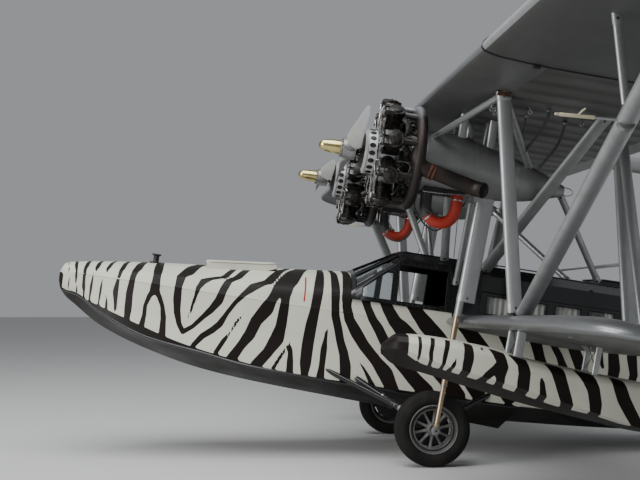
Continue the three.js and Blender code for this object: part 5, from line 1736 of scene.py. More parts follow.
# Distance out, chord, thickness, blade angle
BLADE = [(80, 110, 100, 62), (170, 145, 84, 56), (280, 205, 54, 49), (450, 196, 40, 38), (700, 170, 30, 28),
         (1000, 137, 18, 20), (1150, 98, 13, 18), (1225, 60, 9, 17), (1250, 30, 7, 17)]
blade_metal = finish("blade_metal", (0.50, 0.505, 0.50), (0.34, 0.34, 0.33), 0.5, patch=5.0, rough=0.46,
                     spread=0.14, metallic=0.35, relief=0.04)
dome_polish = finish("polished_dome", (0.62, 0.52, 0.25), (0.36, 0.29, 0.11), 0.6, patch=8.0, rough=0.12,
                     spread=0.12, metallic=1.0, relief=0.02)


def blade_ring(out):
    chord, thick, angle = (float(v) for v in smooth_rows(BLADE, out))
    turn = np.linspace(0, 2 * math.pi, 28, endpoint=False)
    width = np.cos(turn) * chord / 2
    flat = np.interp(out, [190, 400], [0, 0.45])
    camber = np.sin(turn) * thick / 2 * np.where(np.sin(turn) < 0, 1 - flat, 1)
    a = math.radians(angle)
    ahead = np.array([math.sin(a), 0, math.cos(a)])
    face = np.array([math.cos(a), 0, -math.sin(a)])
    return np.array([0, out, 0]) + np.outer(width, ahead) - np.outer(camber, face)


def propeller_shape(rake):
    where = list(np.linspace(80, 1150, 30)) + [1175, 1200, 1220, 1236, 1246, 1250]
    blade = Shape().rings([blade_ring(x) for x in where])
    cuff = Shape().turned((0, 88, 0), STARBOARD, [(0, 58), (50, 58), (54, 54), (92, 54), (96, 48)], 28, 2)
    whole = Shape()
    for turn in (0, math.pi):
        for part in (blade, cuff):
            whole.merge(rolled(part, turn))
    whole.turned((-345, 0, 0), AFT, [(0, 3), (3, 16), (12, 34), (30, 50), (60, 61), (110, 69), (165, 74),
                                           (236, 76), (240, 72)], 40, 1)
    whole.turned((-112, 0, 0), AFT, [(0, 80), (6, 88), (14, 88), (20, 104), (64, 112), (157, 112), (160, 60),
                                           (162.5, 58)], 40, 2)
    bolt = Shape().turned((-100, 0, 92), FORWARD, [(0, 9), (12, 9), (13, 5), (20, 5)], 6)
    whole.merge(with_look(round_axis(bolt, 12, steel), 2))
    return shifted(rolled(whole, math.radians(-rake)), PROPELLER["x"], ENGINE["y"], ENGINE["z"])


for side, shift in (("starboard", 0), ("port", -2 * ENGINE["y"])):
    shifted(propeller_shape(PROPELLER["rakes"][side]), 0, shift, 0).piece(
        f"propeller_blades_{side}", [blade_metal, dome_polish, steel], body=f"propeller_{side}",
        nodes=f"propeller_{side}", slot="propeller_metal", sharp=40)

# %% [markdown]
# ## Undercarriage
# The aircraft stands on two large wheels and a small tail wheel. Each main wheel turns on
# an axle that three dark tubes brace to the hull, and a bronze-coloured leg carries the
# load up to the lower wing. The wheel is drawn on the x axis, where profiles are easy to
# turn and spokes easy to repeat, and then swung to lie across the aircraft. Bores are
# kept clear of the axle, so the wheel turns free.

# %% Tyre, wheel and brake drum
WHEEL = {"x": 4245, "y": 1430, "z": 28.95, "radius": 396.6}
TYRE_HALF = [(0, 396.6), (11, 396.6), (14, 390), (24, 390), (27, 396.2), (50, 395.4), (53, 388.6),
             (63, 388.2),
             (66, 394), (84, 388), (102, 375), (115, 354), (121, 334), (122.5, 331), (124.5, 327), (125, 305),
             (122.5, 288), (117, 276), (112, 270), (108, 258), (98, 241)]
RIM = [(104, 258), (112, 257), (115, 251), (111, 244), (96, 238), (82, 229), (60, 226), (-60, 226),
       (-82, 229), (-96, 238), (-111, 244), (-115, 251), (-112, 257), (-104, 258), (-98, 242), (98, 242)]
wheel_grey = finish("wheel_grey", (0.17, 0.175, 0.17), (0.075, 0.07, 0.062), 0.7, patch=10.0, rough=0.42,
                    spread=0.2, metallic=0.4, relief=0.15)
bronze_rod = finish("bronze_rod", (0.44, 0.33, 0.22), (0.24, 0.17, 0.11), 0.6, patch=9.0, rough=0.26,
                    spread=0.2, metallic=0.85, relief=0.05)


def swung(shape):
    """From the x axis to across the aircraft."""
    shape.points = [block[:, [1, 0, 2]] for block in shape.points]
    return shape


def wheel_spoke():
    rings = []
    for radius, half, low, high in ((58, 21, -10, 74), (95, 15, 0, 66), (135, 13, 8, 56), (175, 15, 6, 58),
                                    (204, 22, 0, 62)):
        rings.append([(low, -half, radius), (high - 8, -half, radius), (high, -half + 7, radius),
                      (high, half - 7, radius), (high - 8, half, radius), (low, half, radius)])
    return Shape().rings(rings)


def main_wheel():
    wheel = Shape().turned((0, 0, 0), AFT, RIM, 72, closed=True)
    wheel.turned((0, 0, 0), AFT,
                 [(20, 198), (72, 196), (80, 201), (80, 211), (73, 217), (50, 229), (20, 230)],
                 72, closed=True)
    wheel.turned((0, 0, 0), AFT, [(-100, 36), (-100, 64), (-95, 70), (70, 70), (84, 62), (96, 60), (100, 56),
                                        (100, 36)], 40, closed=True)
    wheel.merge(with_look(round_axis(wheel_spoke(), 10, wheel_grey), 0))
    wheel.turned((0, 0, 0), AFT, [(-84, 60), (-84, 186), (-78, 192), (-30, 192), (-24, 186), (-24, 60)], 48,
                 1, closed=True)
    for count, radius, at, size in ((8, 48, 98, 6.5), (10, 84, 66, 7)):
        bolt = Shape().turned((at, 0, radius), AFT,
                              [(0, size), (7, size), (8, size * 0.6), (12, size * 0.6)], 6)
        wheel.merge(with_look(round_axis(bolt, count, steel), 2))
    wheel.turned((70, 60, 213), (1, 0.1, 0.4), [(0, 5), (22, 5), (23, 6.5), (30, 6.5)], 8, 1)
    return shifted(swung(wheel), WHEEL["x"], WHEEL["y"], WHEEL["z"])


def main_tyre():
    profile = [(-along, radius) for along, radius in TYRE_HALF[:0:-1]] + TYRE_HALF
    tyre = Shape().turned((0, 0, 0), AFT, profile, 96, closed=True)
    return shifted(swung(tyre), WHEEL["x"], WHEEL["y"], WHEEL["z"])


wheel, tyre = main_wheel(), main_tyre()
for side, rim, rubber in (("starboard", wheel, tyre), ("port", wheel.mirrored(), tyre.mirrored())):
    rim.piece(f"wheel_and_drum_{side}", [wheel_grey, dark_steel, steel], body=f"main_wheel_{side}",
              nodes=f"main_wheel_{side}", slot="wheel_alloy", sharp=32)
    rubber.piece(f"tyre_{side}", [tyre_rubber], body=f"main_wheel_{side}", nodes=f"main_tyre_{side}",
                 slot="tyre_rubber", sharp=40)

# %% Legs
GEAR_FEET = {"front": (3420, 735, 420), "far": (3080, 735, 470), "rear": (5000, 740, 430)}


def gear_leg():
    leg = Shape()
    x, z = WHEEL["x"], WHEEL["z"]
    leg.turned((x, 1150, z), STARBOARD,
               [(0, 20), (4, 30), (168, 30), (172, 28), (396, 28), (400, 30), (500, 30),
                (504, 24), (515, 24)], 24, 1)
    leg.turned((x, 1154, z), STARBOARD, [(0, 36), (6, 42), (62, 42), (68, 34)], 20, 0)
    inner = (x, 1185, z)
    front, far = np.array(GEAR_FEET["front"], float), GEAR_FEET["far"]
    strut(leg, front, inner, 68, 68, 0, cuffs=(False, True))
    strut(leg, far, front + (np.array(inner) - front) * 0.62, 58, 58, 0, cuffs=(False, True))
    strut(leg, GEAR_FEET["rear"], inner, 68, 68, 0, cuffs=(False, True))
    for share in (0.4, 0.63):
        band = front + (np.array(inner) - front) * share
        leg.turned(band, np.array(inner) - front, [(0, 36), (2, 40), (22, 40), (24, 36)], 20, 1)
    leg.turned((x, 1604, z), STARBOARD, [(0, 40), (4, 46), (46, 46), (50, 40)], 28, 1)
    leg.turned((x, 1652, z), STARBOARD, [(0, 22), (10, 22), (11, 12), (13, 12)], 6, 1)
    foot, head = np.array([x, 1628, z]), np.array([4330, 1545, 1240])
    run = (head - foot) / np.linalg.norm(head - foot)
    leg.turned(foot, run, [(0, 24), (40, 30), (46, 34), (70, 34), (76, 27), (460, 27), (462, 33), (478, 33),
                           (480, 31), (1216, 31)], 28, 2)
    leg.turned(foot + run * 462, run, [(0, 34), (2, 36.5), (18, 36.5), (20, 34)], 28, 1)
    return leg


def brake_line(leg):
    return bent_tube(leg, [(4232, 1262, 62), (4180, 1224, 70), (4050, 1130, 150), (3700, 908, 322),
                           (3440, 764, 446)],
                     5, 24, 8, 0)


legs = brake_line(gear_leg())
both_sides(legs, "gear_tubes", [black_gloss, steel, bronze_rod], "landing_gear_leg", "gear_steel", 40)

# %% Tail wheel and its fork
TAIL_HUB = np.array([9190.0, 0.0, 447.8])
UPRIGHT = np.array([-math.sin(NOSE_UP), 0, math.cos(NOSE_UP)])
AHEAD = np.array([-math.cos(NOSE_UP), 0, -math.sin(NOSE_UP)])


def fork_point(up, ahead, y=0.0):
    return TAIL_HUB + UPRIGHT * up + AHEAD * ahead + (0, y, 0)


def tail_fork():
    fork = Shape()
    fork.turned(fork_point(186, 70), UPRIGHT, [(0, 34), (6, 36), (14, 36), (18, 22), (210, 22)], 20, 1)
    crown = [(-64, 150), (-56, 178), (-30, 188), (30, 188), (56, 178), (64, 150)]
    fork.rings([[fork_point(up, ahead, y * 0.92) for y, up in crown] + [fork_point(146, ahead, y * 0.8)
                                                                       for y, up in crown[::-1]]
                for ahead in (12, 20, 72, 80)])
    for side in (-1, 1):
        rings = []
        for up, ahead, half in ((176, 34, 24), (120, 22, 22), (40, 8, 20), (0, 0, 24), (-15, -2, 16)):
            middle = fork_point(up, ahead, side * 52)
            rings.append([middle + AHEAD * a + (0, b, 0)
                          for a, b in ((half, -6), (half, 6), (-half, 6), (-half, -6))])
        fork.rings(rings)
        fork.turned(fork_point(0, 0, side * 57), (0, side, 0), [(0, 14), (3, 14)], 6, 1)
    fork.turned(fork_point(0, 0, -58), STARBOARD, [(0, 13), (116, 13)], 16, 1)
    return fork


def small_wheel():
    half = [(0, 123.1), (8, 123.1), (22, 120), (31, 110), (35, 98), (34, 80), (29, 72)]
    profile = [(-a, r) for a, r in half[:0:-1]] + half
    rubber = Shape().turned(TAIL_HUB, STARBOARD, profile, 56, 0, closed=True)
    rubber.turned(TAIL_HUB, STARBOARD,
                  [(-32, 70), (-34, 74), (-28, 75), (28, 75), (34, 74), (32, 70), (16, 64),
                   (10, 40), (26, 34), (26, 20), (-26, 20), (-26, 34), (-10, 40), (-16, 64)],
                  40, 1, closed=True)
    return rubber


tail_fork().piece("tail_fork_castings", [dark_steel, steel], body="tail_fork", nodes="tail_fork",
                  slot="gear_steel", sharp=35)
small_wheel().piece("tail_wheel_rubber", [tyre_rubber, wheel_grey], body="tail_wheel", nodes="tail_wheel",
                    slot="tyre_rubber", sharp=40)

# %% [markdown]
# ## Tail
# Two booms run aft from the top of the upper wing and carry the tailplane, with a fin and a
# rudder on each. All of it is silver fabric over ribs, apart from the booms, which are
# riveted sheet. A fin is a plate with rounded edges: one outline, its corners cut twice
# to round them, is drawn at several distances from the middle and pulled in near the
# sides.

# %% Booms
BOOM = [(4800, 3640, 50, 50), (5050, 3630, 130, 170), (5300, 3620, 150, 214), (7800, 3618, 150, 214),
        (11090, 3632, 96, 130)]
BOOM_ENDS = (BOOM[0][0], BOOM[-1][0])
BOOM_SQUARENESS = 2.6


def boom_ring(x, grow=0.0):
    z, width, height = (float(v) for v in smooth_rows(BOOM, x))
    end = min(1.0, 0.35 + (x - BOOM_ENDS[0]) / 120)
    turn = np.linspace(0, 2 * math.pi, 32, endpoint=False)
    power = BOOM_SQUARENESS
    squarer = 1 / (np.abs(np.cos(turn)) ** power + np.abs(np.sin(turn)) ** power) ** (1 / power)
    return [(x, ENGINE["y"] + float(math.cos(a) * s) * (width / 2 * end + grow),
             z + float(math.sin(a) * s) * (height / 2 * end + grow)) for a, s in zip(turn, squarer * 0.97)]


def boom_shape():
    where = list(np.linspace(BOOM_ENDS[0], 5300, 26)) + list(np.linspace(5360, BOOM_ENDS[1], 60))
    shape = Shape().rings([boom_ring(x) for x in where])
    for x in (6600, 8200, 9700):
        shape.rings([boom_ring(x - 30), boom_ring(x - 29, 2.0), boom_ring(x + 29, 2.0), boom_ring(x + 30)], 0,
                    ends=False)
    strut(shape, (5640, ENGINE["y"], 3446), (5640, ENGINE["y"], 3560), 120, 40, 1, cuffs=(False, False))
    for x, level in ((4930, 3588), (5080, 3560), (5230, 3534)):
        for sign in (-1, 1):
            shape.block((x - 26, ENGINE["y"] + sign * 82 - 20, level), (x + 26, ENGINE["y"] + sign * 82 + 20,
                                                                        level + 10), 2)
    return shape


boom_lines = [[boom_ring(x, 1.5)[k] for k in range(32)] for x in (6580, 6620, 8180, 8220, 9680, 9720)]
for turn in (4, 12, 20, 28):
    boom_lines.append([boom_ring(x, 0.5)[turn] for x in np.linspace(5680, 11050, 30)])
boom = boom_shape().merge(with_look(rivets(boom_lines, 70, 4.0, steel), 2))
both_sides(boom, "boom_sheet", [nacelle_sheet, strut_silver, steel], "tail_boom", "silver_sheet", 35)

# %% Tailplane and elevator
TAILPLANE = {"z": 3715, "lead": 10350, "hinge": 11150, "trail": 11900, "half": 2300, "tip": 260}
ELEVATOR_TIP = 300


def tail_section(y):
    """One ring round the tailplane, from its nose to the post of the hinge."""
    share = max(0.0, (abs(y) - TAILPLANE["half"] + TAILPLANE["tip"]) / TAILPLANE["tip"])
    round_off = math.sqrt(max(0.0, 1 - share**2))
    nose = TAILPLANE["lead"] + TAILPLANE["tip"] * (1 - round_off)
    half = 22 + 28 * round_off
    post = TAILPLANE["hinge"] - 40
    u = np.linspace(0, 1, 16) ** 2
    height = smooth([0, 0.05, 0.15, 0.3, 0.6, 1], [0, 0.52, 0.86, 1.0, 0.94, 0.66], u) * half
    top = [(nose + (post - nose) * s, y, TAILPLANE["z"] + h) for s, h in zip(u, height)]
    return top + [(x, y, 2 * TAILPLANE["z"] - z) for x, y, z in top[:0:-1]]


def elevator_section(y):
    share = max(0.0, (abs(y) - TAILPLANE["half"] + ELEVATOR_TIP) / ELEVATOR_TIP)
    trail = TAILPLANE["trail"] - ELEVATOR_TIP * (1 - math.sqrt(max(0.0, 1 - share**2)))
    half = 33 - 12 * share
    arc = np.linspace(1.5, 0.5, 13) * math.pi
    nose = [(TAILPLANE["hinge"] + half * math.cos(a), y, TAILPLANE["z"] + half * math.sin(a)) for a in arc]
    u = np.linspace(0, 1, 8)[1:]
    top = [(TAILPLANE["hinge"] + (trail - TAILPLANE["hinge"]) * s, y, TAILPLANE["z"] + half + (5 - half) * s)
           for s in u]
    return nose + top + [(x, y, 2 * TAILPLANE["z"] - z) for x, y, z in top[::-1]]


def span_stations(inner):
    """Stations across the whole span, closer together where the tips are rounded."""
    reach = TAILPLANE["half"] - 0.5
    ends = inner + (reach - inner) * np.sin(np.linspace(0, math.pi / 2, 12))
    return np.concatenate([-ends[::-1], np.linspace(-inner, inner, 24)[1:-1], ends])


plane = Shape().rings([tail_section(float(y)) for y in span_stations(2040)])
flap = Shape().rings([elevator_section(float(y)) for y in span_stations(2000)])
print("tailplane faces:", len(plane.faces), "elevator faces:", len(flap.faces))

# %% Fins and rudders
FIN_OUTLINE = [(10520, 3700), (10640, 4200), (10820, 4490), (11000, 4580), (11190, 4610), (11190, 3840),
               (11090, 3735), (11090, 3700)]
RUDDER_OUTLINE = [(11230, 3850), (11230, 4630), (11380, 4730), (11710, 4730), (12090, 4620), (12270, 4460),
                  (12210, 4350), (11900, 4200)]


def cut_corners(outline, times=2, share=0.24):
    p = np.asarray(outline, float)
    for _ in range(times):
        after = np.roll(p, -1, axis=0)
        p = np.stack([p + (after - p) * share, after + (p - after) * share], 1).reshape(-1, 2)
    return p


def edged_plate(shape, outline, middle, half):
    """A plate in the x-z plane whose edges are rounded."""
    p = cut_corners(outline)
    along = np.roll(p, -1, axis=0) - np.roll(p, 1, axis=0)
    inward = np.stack([-along[:, 1], along[:, 0]], -1)
    inward = inward / np.linalg.norm(inward, axis=1)[:, None]
    if ((p.mean(0) - p) * inward).sum() < 0:
        inward = -inward
    rings = []
    for share, pull in ((-1, 0.9), (-0.92, 0.45), (-0.7, 0.16), (-0.35, 0.0), (0.35, 0.0), (0.7, 0.16),
                        (0.92, 0.45), (1, 0.9)):
        q = p + inward * pull * half
        rings.append([(x, middle + share * half, z) for x, z in q])
    return shape.rings(rings)


for side in (-1, 1):
    edged_plate(plane, FIN_OUTLINE, side * ENGINE["y"], 36)
for y in (-2000, -700, 700, 2000):
    plane.block((TAILPLANE["hinge"] - 60, y - 10, TAILPLANE["z"] - 18), (TAILPLANE["hinge"] - 40, y + 10,
                                                                       TAILPLANE["z"] + 18), 1)
for y in (700, 2000):
    for side in (-1, 1):
        bent_tube(plane, [(10700, side * 1450, 4400), (10760, side * (1450 - y * 0.6), 3762)], 5, look=2,
                  sides=6)
rudder = Shape()
edged_plate(rudder, RUDDER_OUTLINE, ENGINE["y"], 25)
rudder.turned((11230, ENGINE["y"], 3831), UP, [(0, 28), (4, 33), (775, 33), (779, 28)], 24)
rudder.block((11300, ENGINE["y"] + 24, 4140), (11390, ENGINE["y"] + 30, 4156), 1)
tail_fabric = ribbed_silver("tail_fabric", (0.35, 0.36, 0.37), (0.26, 0.265, 0.265), 0.24, 14.0, 0.004, 0.4,
                            0.2)
plane.piece("tailplane_and_fin_skins", [tail_fabric, steel, dark_steel], nodes="tailplane_and_fins",
            slot="silver_dope", sharp=45)
flap.piece("elevator_skin", [tail_fabric], body="elevator", nodes="elevator", slot="silver_dope", sharp=45)
both_sides(rudder, "rudder_skin", [tail_fabric, steel], "rudder", "silver_dope", 45, body="rudder")

# %% [markdown]
# ## Cockpit and cabin
# Above the sill the hull carries a black-painted glazed cockpit and a long low cabin. The
# cockpit is a sheet-metal frame with flat panes, so its outer and inner faces are two
# grids of points a wall's thickness apart. Leaving out the cells of the panes and closing
# the edges gives every opening a real depth. The panes are grids of the same kind, set in
# the middle of the wall. The side window next to the pilots is open, as in the picture of
# the aircraft at rest.


# %% Walls from two grids
def walled(shape, outer, inner, kept):
    """A wall between two grids of points; cells that aren't kept are openings."""
    rows, columns = kept.shape
    wide = columns + 1
    flat = np.concatenate([np.asarray(outer, float).reshape(-1, 3), np.asarray(inner, float).reshape(-1, 3)])
    second = (rows + 1) * wide
    faces, edges = [], {}
    for r in range(rows):
        for c in range(columns):
            if not kept[r, c]:
                continue
            face = (r * wide + c, r * wide + c + 1, (r + 1) * wide + c + 1, (r + 1) * wide + c)
            faces += [face, tuple(i + second for i in face[::-1])]
            for a, b in zip(face, face[1:] + face[:1]):
                key = (min(a, b), max(a, b))
                edges[key] = None if key in edges else (a, b)
    faces += [(b, a, a + second, b + second) for a, b in (e for e in edges.values() if e)]
    return shape.patch(flat, faces)


COCKPIT_ROWS = np.array([[3300.3, 700, 640, 1345, 360, 1540, 1600], [3870, 700, 620, 1800, 340, 1895, 1915],
                         [4380, 700, 625, 1800, 340, 1895, 1915], [4760, 700, 640, 1780, 400, 1885, 1900]])
ROOF_ROWS = np.array([[4760.3, 700, 640, 1745, 440, 1860, 1892], [6999.7, 655, 600, 1730, 410, 1830, 1872]])


def skin_corners(table, x, inset, foot):
    """Foot, shoulder, crease and top of one side of the skin at x."""
    sill, shoulder, shoulder_z, mid, mid_z, top = (float(np.interp(x, table[:, 0],
                                                                   table[:, k])) for k in range(1, 7))
    lean = (shoulder - sill) / (shoulder_z - SILL)
    return np.array([[sill - inset + lean * (foot - SILL), foot],
                     [shoulder - inset, shoulder_z - inset * 0.6],
                     [mid - inset * 0.6, mid_z - inset], [0, top - inset]])


WINDOW_TOP = ([3300, 3420, 3680, 3745, 3800, 3810, 4370, 4760],
              [1316, 1420, 1640, 1640, 1690, 1730, 1730, 1715])
CANOPY_COLUMNS = [("side", 1270.3), ("side", 1315.0), ("side", None), ("band", 0.0), ("band", 0.2),
                  ("band", 0.86), ("top", 0.0), ("top", 0.1), ("top", 0.93), ("top", 1.0)]


def canopy_line(x, inset=0.0):
    """One row of the cockpit's grid, from the port sill over the top to starboard."""
    outer = skin_corners(COCKPIT_ROWS, x, 0.0, 1270.3)
    inner = skin_corners(COCKPIT_ROWS, x, inset, 1270.3)
    half = []
    for kind, value in CANOPY_COLUMNS:
        first = {"side": 0, "band": 1, "top": 2}[kind]
        share = value
        if kind == "side":
            level = float(np.interp(x, *WINDOW_TOP)) if value is None else value
            share = (level - outer[0, 1]) / (outer[1, 1] - outer[0, 1])
        y, z = inner[first] + (inner[first + 1] - inner[first]) * min(share, 0.97 if kind == "side" else 1.0)
        half.append((y, z))
    return [(x, -y, z) for y, z in half] + [(x, y, z) for y, z in half[:-1][::-1]]


# %% Cockpit frame
CANOPY_X = [3300.3, 3352, 3420, 3530, 3680, 3745, 3777, 3810, 3816, 3870, 4000, 4200, 4370, 4400, 4580, 4760]


def canopy_openings():
    """Cells of the windscreen and of the side windows, by name."""
    found = {}
    middle = [(a + b) / 2 for a, b in zip(CANOPY_X, CANOPY_X[1:])]
    for r, x in enumerate(middle):
        for c in range(18):
            side = min(c, 17 - c)
            if side == 1 and 3420 < x < 3745:
                found[r, c] = "front_side"
            if side == 1 and 3810 < x < 4370:
                found[r, c] = "open_side"
            if side in (4, 7) and 3352 < x < 3816:
                found[r, c] = "windscreen"
    return found


OPENINGS = canopy_openings()
kept_cells = np.ones((len(CANOPY_X) - 1, 18), bool)
for r, c in OPENINGS:
    kept_cells[r, c] = False
canopy = Shape()
shifted_x = [min(max(x, 3330.0), 4730.0) for x in CANOPY_X]
walled(canopy, [canopy_line(x) for x in CANOPY_X], [canopy_line(x, 30.0) for x in shifted_x], kept_cells)
print("openings in the cockpit:", len(OPENINGS), "cells")


# %% Ends, beads and screws of the cockpit
def end_wall(shape, table, x0, x1, foot, doorway):
    """A flat end wall between two stations, with an optional doorway (half width, top)."""
    corners = skin_corners(table, x0, 2.0, foot)
    outline = [(-y, z) for y, z in corners] + [(y, z) for y, z in corners[:-1][::-1]]
    if not doorway:
        return shape.rings([[(x, y, z) for y, z in outline] for x in (x0, x1)])
    half, top = doorway
    for sign in (-1, 1):
        ys = [(sign * half, foot), (sign * corners[0, 0], foot), (sign * corners[1, 0], corners[1, 1]),
              (sign * corners[2, 0], corners[2, 1]), (sign * half, corners[3, 1] - 4), (sign * half, top)]
        shape.rings([[(x, y, z) for y, z in ys] for x in (x0, x1)])
    lintel = [(-half, top), (half, top), (half, corners[3, 1] - 4), tuple(corners[3]),
              (-half, corners[3, 1] - 4)]
    return shape.rings([[(x, y, z) for y, z in lintel] for x in (x0, x1)])


def bead(shape, loop_points, radius, look):
    """A rubber bead round an opening."""
    ring = list(loop_points) + [loop_points[0]]
    for a, b in zip(ring, ring[1:]):
        bent_tube(shape, [a, b], radius, look=look, sides=6)
    return shape


def cell_loop(rows, columns, inset):
    """The corners round a block of the grid's cells."""
    grid = [canopy_line(CANOPY_X[r], inset) for r in rows]
    loop_points = [grid[0][c] for c in columns] + [row[columns[-1]] for row in grid[1:]]
    return loop_points + [grid[-1][c] for c in columns[-2::-1]] + [row[columns[0]] for row in grid[-2:0:-1]]


end_wall(canopy, COCKPIT_ROWS, 3300.5, 3329.0, 1270.3, None)
end_wall(canopy, COCKPIT_ROWS, 4731.0, 4759.8, 1270.3, (260, 1760))
PANES = {"port_outer": ((1, 8), (4, 5)), "port_inner": ((1, 8), (7, 8)),
         "starboard_inner": ((1, 8), (10, 11)),
         "starboard_outer": ((1, 8), (13, 14)), "port_side": ((2, 5), (1, 2)),
         "starboard_side": ((2, 5), (16, 17)),
         "port_open": ((7, 12), (1, 2)), "starboard_open": ((7, 12), (16, 17))}
bead_paths = {}
for name, ((r0, r1), (c0, c1)) in PANES.items():
    bead_paths[name] = cell_loop(range(r0, r1 + 1), range(c0, c1 + 1), 0.0)
    bead(canopy, bead_paths[name], 5.5, 1)
frame_screws = []
for (r0, r1), (c0, c1) in PANES.values():
    ring = np.array(cell_loop(range(r0, r1 + 1), range(c0, c1 + 1), -1.0))
    ring = ring.mean(0) + (ring - ring.mean(0)) * (1.05, 1.07, 1.10)
    frame_screws.append(ring.tolist())
canopy.merge(with_look(rivets(frame_screws, 62, 3.4, steel), 2))
for c, x0, x1 in ((6, 3330, 4740), (12, 3330, 4740), (3, 3340, 4740), (15, 3340, 4740)):
    bent_tube(canopy, [canopy_line(x, -2.0)[c] for x in np.linspace(x0, x1, 14)], 6, 30, 8, 0)
canopy.piece("cockpit_sheet", [black_gloss, tyre_rubber, steel], nodes="cockpit_frame", slot="black_paint",
             sharp=30)


# %% Glass
def window_glass(name, colour, rough, veil=1.0):
    """Solid glass, or with a veil below one a thin pane that also lets the lights through."""
    material, _, surface, _, _ = start_finish(
        name, colour, tuple(0.93 * c for c in colour), 0.3, patch=2.5, rough=rough, spread=0.05, relief=0.02)
    if veil < 1.0:
        surface.inputs["Alpha"].default_value = veil
        return material
    surface.inputs["Transmission Weight"].default_value = 1.0
    surface.inputs["IOR"].default_value = 1.46
    return material


clear_glass = window_glass("cockpit_glass", (0.86, 0.90, 0.91), 0.015)
glass = Shape()
for name, ((r0, r1), (c0, c1)) in PANES.items():
    if name.endswith("_open"):
        continue
    corners = [[canopy_line(CANOPY_X[r], depth)[c] for r in range(r0, r1 + 1) for c in (c0, c1)]
               for depth in (12, 17)]
    grids = []
    for points in corners:
        p = np.array(points, float)
        middle = p.mean(0)
        grids.append(((p - middle) * 1.03 + middle).reshape(r1 - r0 + 1, 2, 3))
    walled(glass, grids[0], grids[1], np.ones((r1 - r0, 1), bool))
glass.piece("cockpit_panes", [clear_glass], nodes="windscreen_glass", slot="window_glass", sharp=30)

# %% [markdown]
# ### Cabin
# The cabin has a black wall with five windows a side and a glossy black roof with a drip
# rail. Its wall is again two grids with openings. Snap fasteners run along the crease of
# the roof, and the hatch for the passengers stands on a coaming near the rear.

# %% Cabin walls
WINDOWS = [4980, 5380, 5780, 6180, 6580]
WALL_X = [4760.3] + [x + d for x in WINDOWS for d in (-150, 150)] + [6999.7]
WALL_Z = [1270.3, 1315, 1515, 1549.7]


def wall_y(x, inset=0.0):
    return float(np.interp(x, [4760, 6450, 7000], [700, 690, 655])) - inset


def cabin_wall(sign):
    wall = Shape()
    kept = np.ones((len(WALL_X) - 1, 3), bool)
    kept[1::2, 1] = False
    outer = [[(x, sign * wall_y(x), z) for z in WALL_Z] for x in WALL_X]
    inner = [[(x, sign * wall_y(x, 35.0), z) for z in WALL_Z] for x in WALL_X]
    walled(wall, outer, inner, kept)
    for x in WINDOWS:
        loop_points = [(x + dx, sign * wall_y(x + dx, -0.5), z)
                       for dx, z in four_corners(-150, 150, 1315, 1515)]
        bead(wall, loop_points, 5.5, 1)
    return wall


walls = cabin_wall(-1).merge(cabin_wall(1))
walls.block((6965, -654, 1270.3), (6999.5, 654, 1549.5))
for z in (1292, 1533):
    for sign in (-1, 1):
        walls.merge(with_look(rivets([[(x, sign * wall_y(x, -1.0), z) for x in np.linspace(4800, 6960, 12)]],
                                     60, 3.2, steel), 2))
for sign in (-1, 1):
    bent_tube(walls, [(4790, sign * 648, 1531), (5800, sign * 648, 1531), (6940, sign * 606, 1531)], 5, 16, 8,
              2)
walls.piece("cabin_wall_sheet", [black_gloss, tyre_rubber, steel], nodes="cabin_walls", slot="hull_paint",
            sharp=30)

cabin_glass = Shape()
for sign in (-1, 1):
    for x in WINDOWS:
        grid = [[[(x + dx, sign * wall_y(x + dx, depth), z) for z in (1310, 1520)] for dx in (-155, 155)]
                for depth in (14, 18)]
        walled(cabin_glass, grid[0], grid[1], np.ones((1, 1), bool))
thin_glass = window_glass("cabin_glass", (0.30, 0.32, 0.32), 0.03, veil=0.18)
cabin_glass.piece("cabin_panes", [thin_glass], slot="window_glass", sharp=30)

# %% Roof and its hatch
ROOF_HATCH = {"front": 6260, "rear": 6840, "half": 300}


def roof_line(x, inset=0.0):
    corners = skin_corners(ROOF_ROWS, x, inset, 1550.0)
    half = []
    for first, shares in ((0, (0.0, 0.5, 0.9)), (1, (0.0, 0.12, 0.5, 0.88)), (2, (0.0, 0.13))):
        for share in shares:
            half.append(corners[first] + (corners[first + 1] - corners[first]) * share)
    hatch = ROOF_HATCH["half"]
    share = (corners[2, 0] - hatch) / corners[2, 0]
    half.append(corners[2] + (corners[3] - corners[2]) * share)
    half.append(corners[3])
    return [(x, -y, z) for y, z in half] + [(x, y, z) for y, z in half[:-1][::-1]]


def cabin_roof():
    stations = [4760.3, 4800, 5200, 5700, ROOF_HATCH["front"], 6550, ROOF_HATCH["rear"], 6950, 6999.7]
    kept = np.ones((len(stations) - 1, 20), bool)
    kept[4:6, 9:11] = False
    roof = Shape()
    inner_x = [min(max(x, 4790.0), 6970.0) for x in stations]
    walled(roof, [roof_line(x) for x in stations], [roof_line(x, 28.0) for x in inner_x], kept)
    end_wall(roof, ROOF_ROWS, 4760.5, 4789.0, 1550.0, (260, 1760))
    end_wall(roof, ROOF_ROWS, 6971.0, 6999.5, 1550.0, None)
    x0, x1, y = ROOF_HATCH["front"], ROOF_HATCH["rear"], ROOF_HATCH["half"]

    def square(grow, z):
        return [(a, b, z) for a, b in four_corners(x0 - grow, x1 + grow, -y - grow, y + grow)]

    roof.rings([square(30, 1806), square(30, 1894), square(26, 1899), square(3, 1899), square(0, 1894),
                square(0, 1806), square(30, 1806)], 0, ends=False)
    return roof


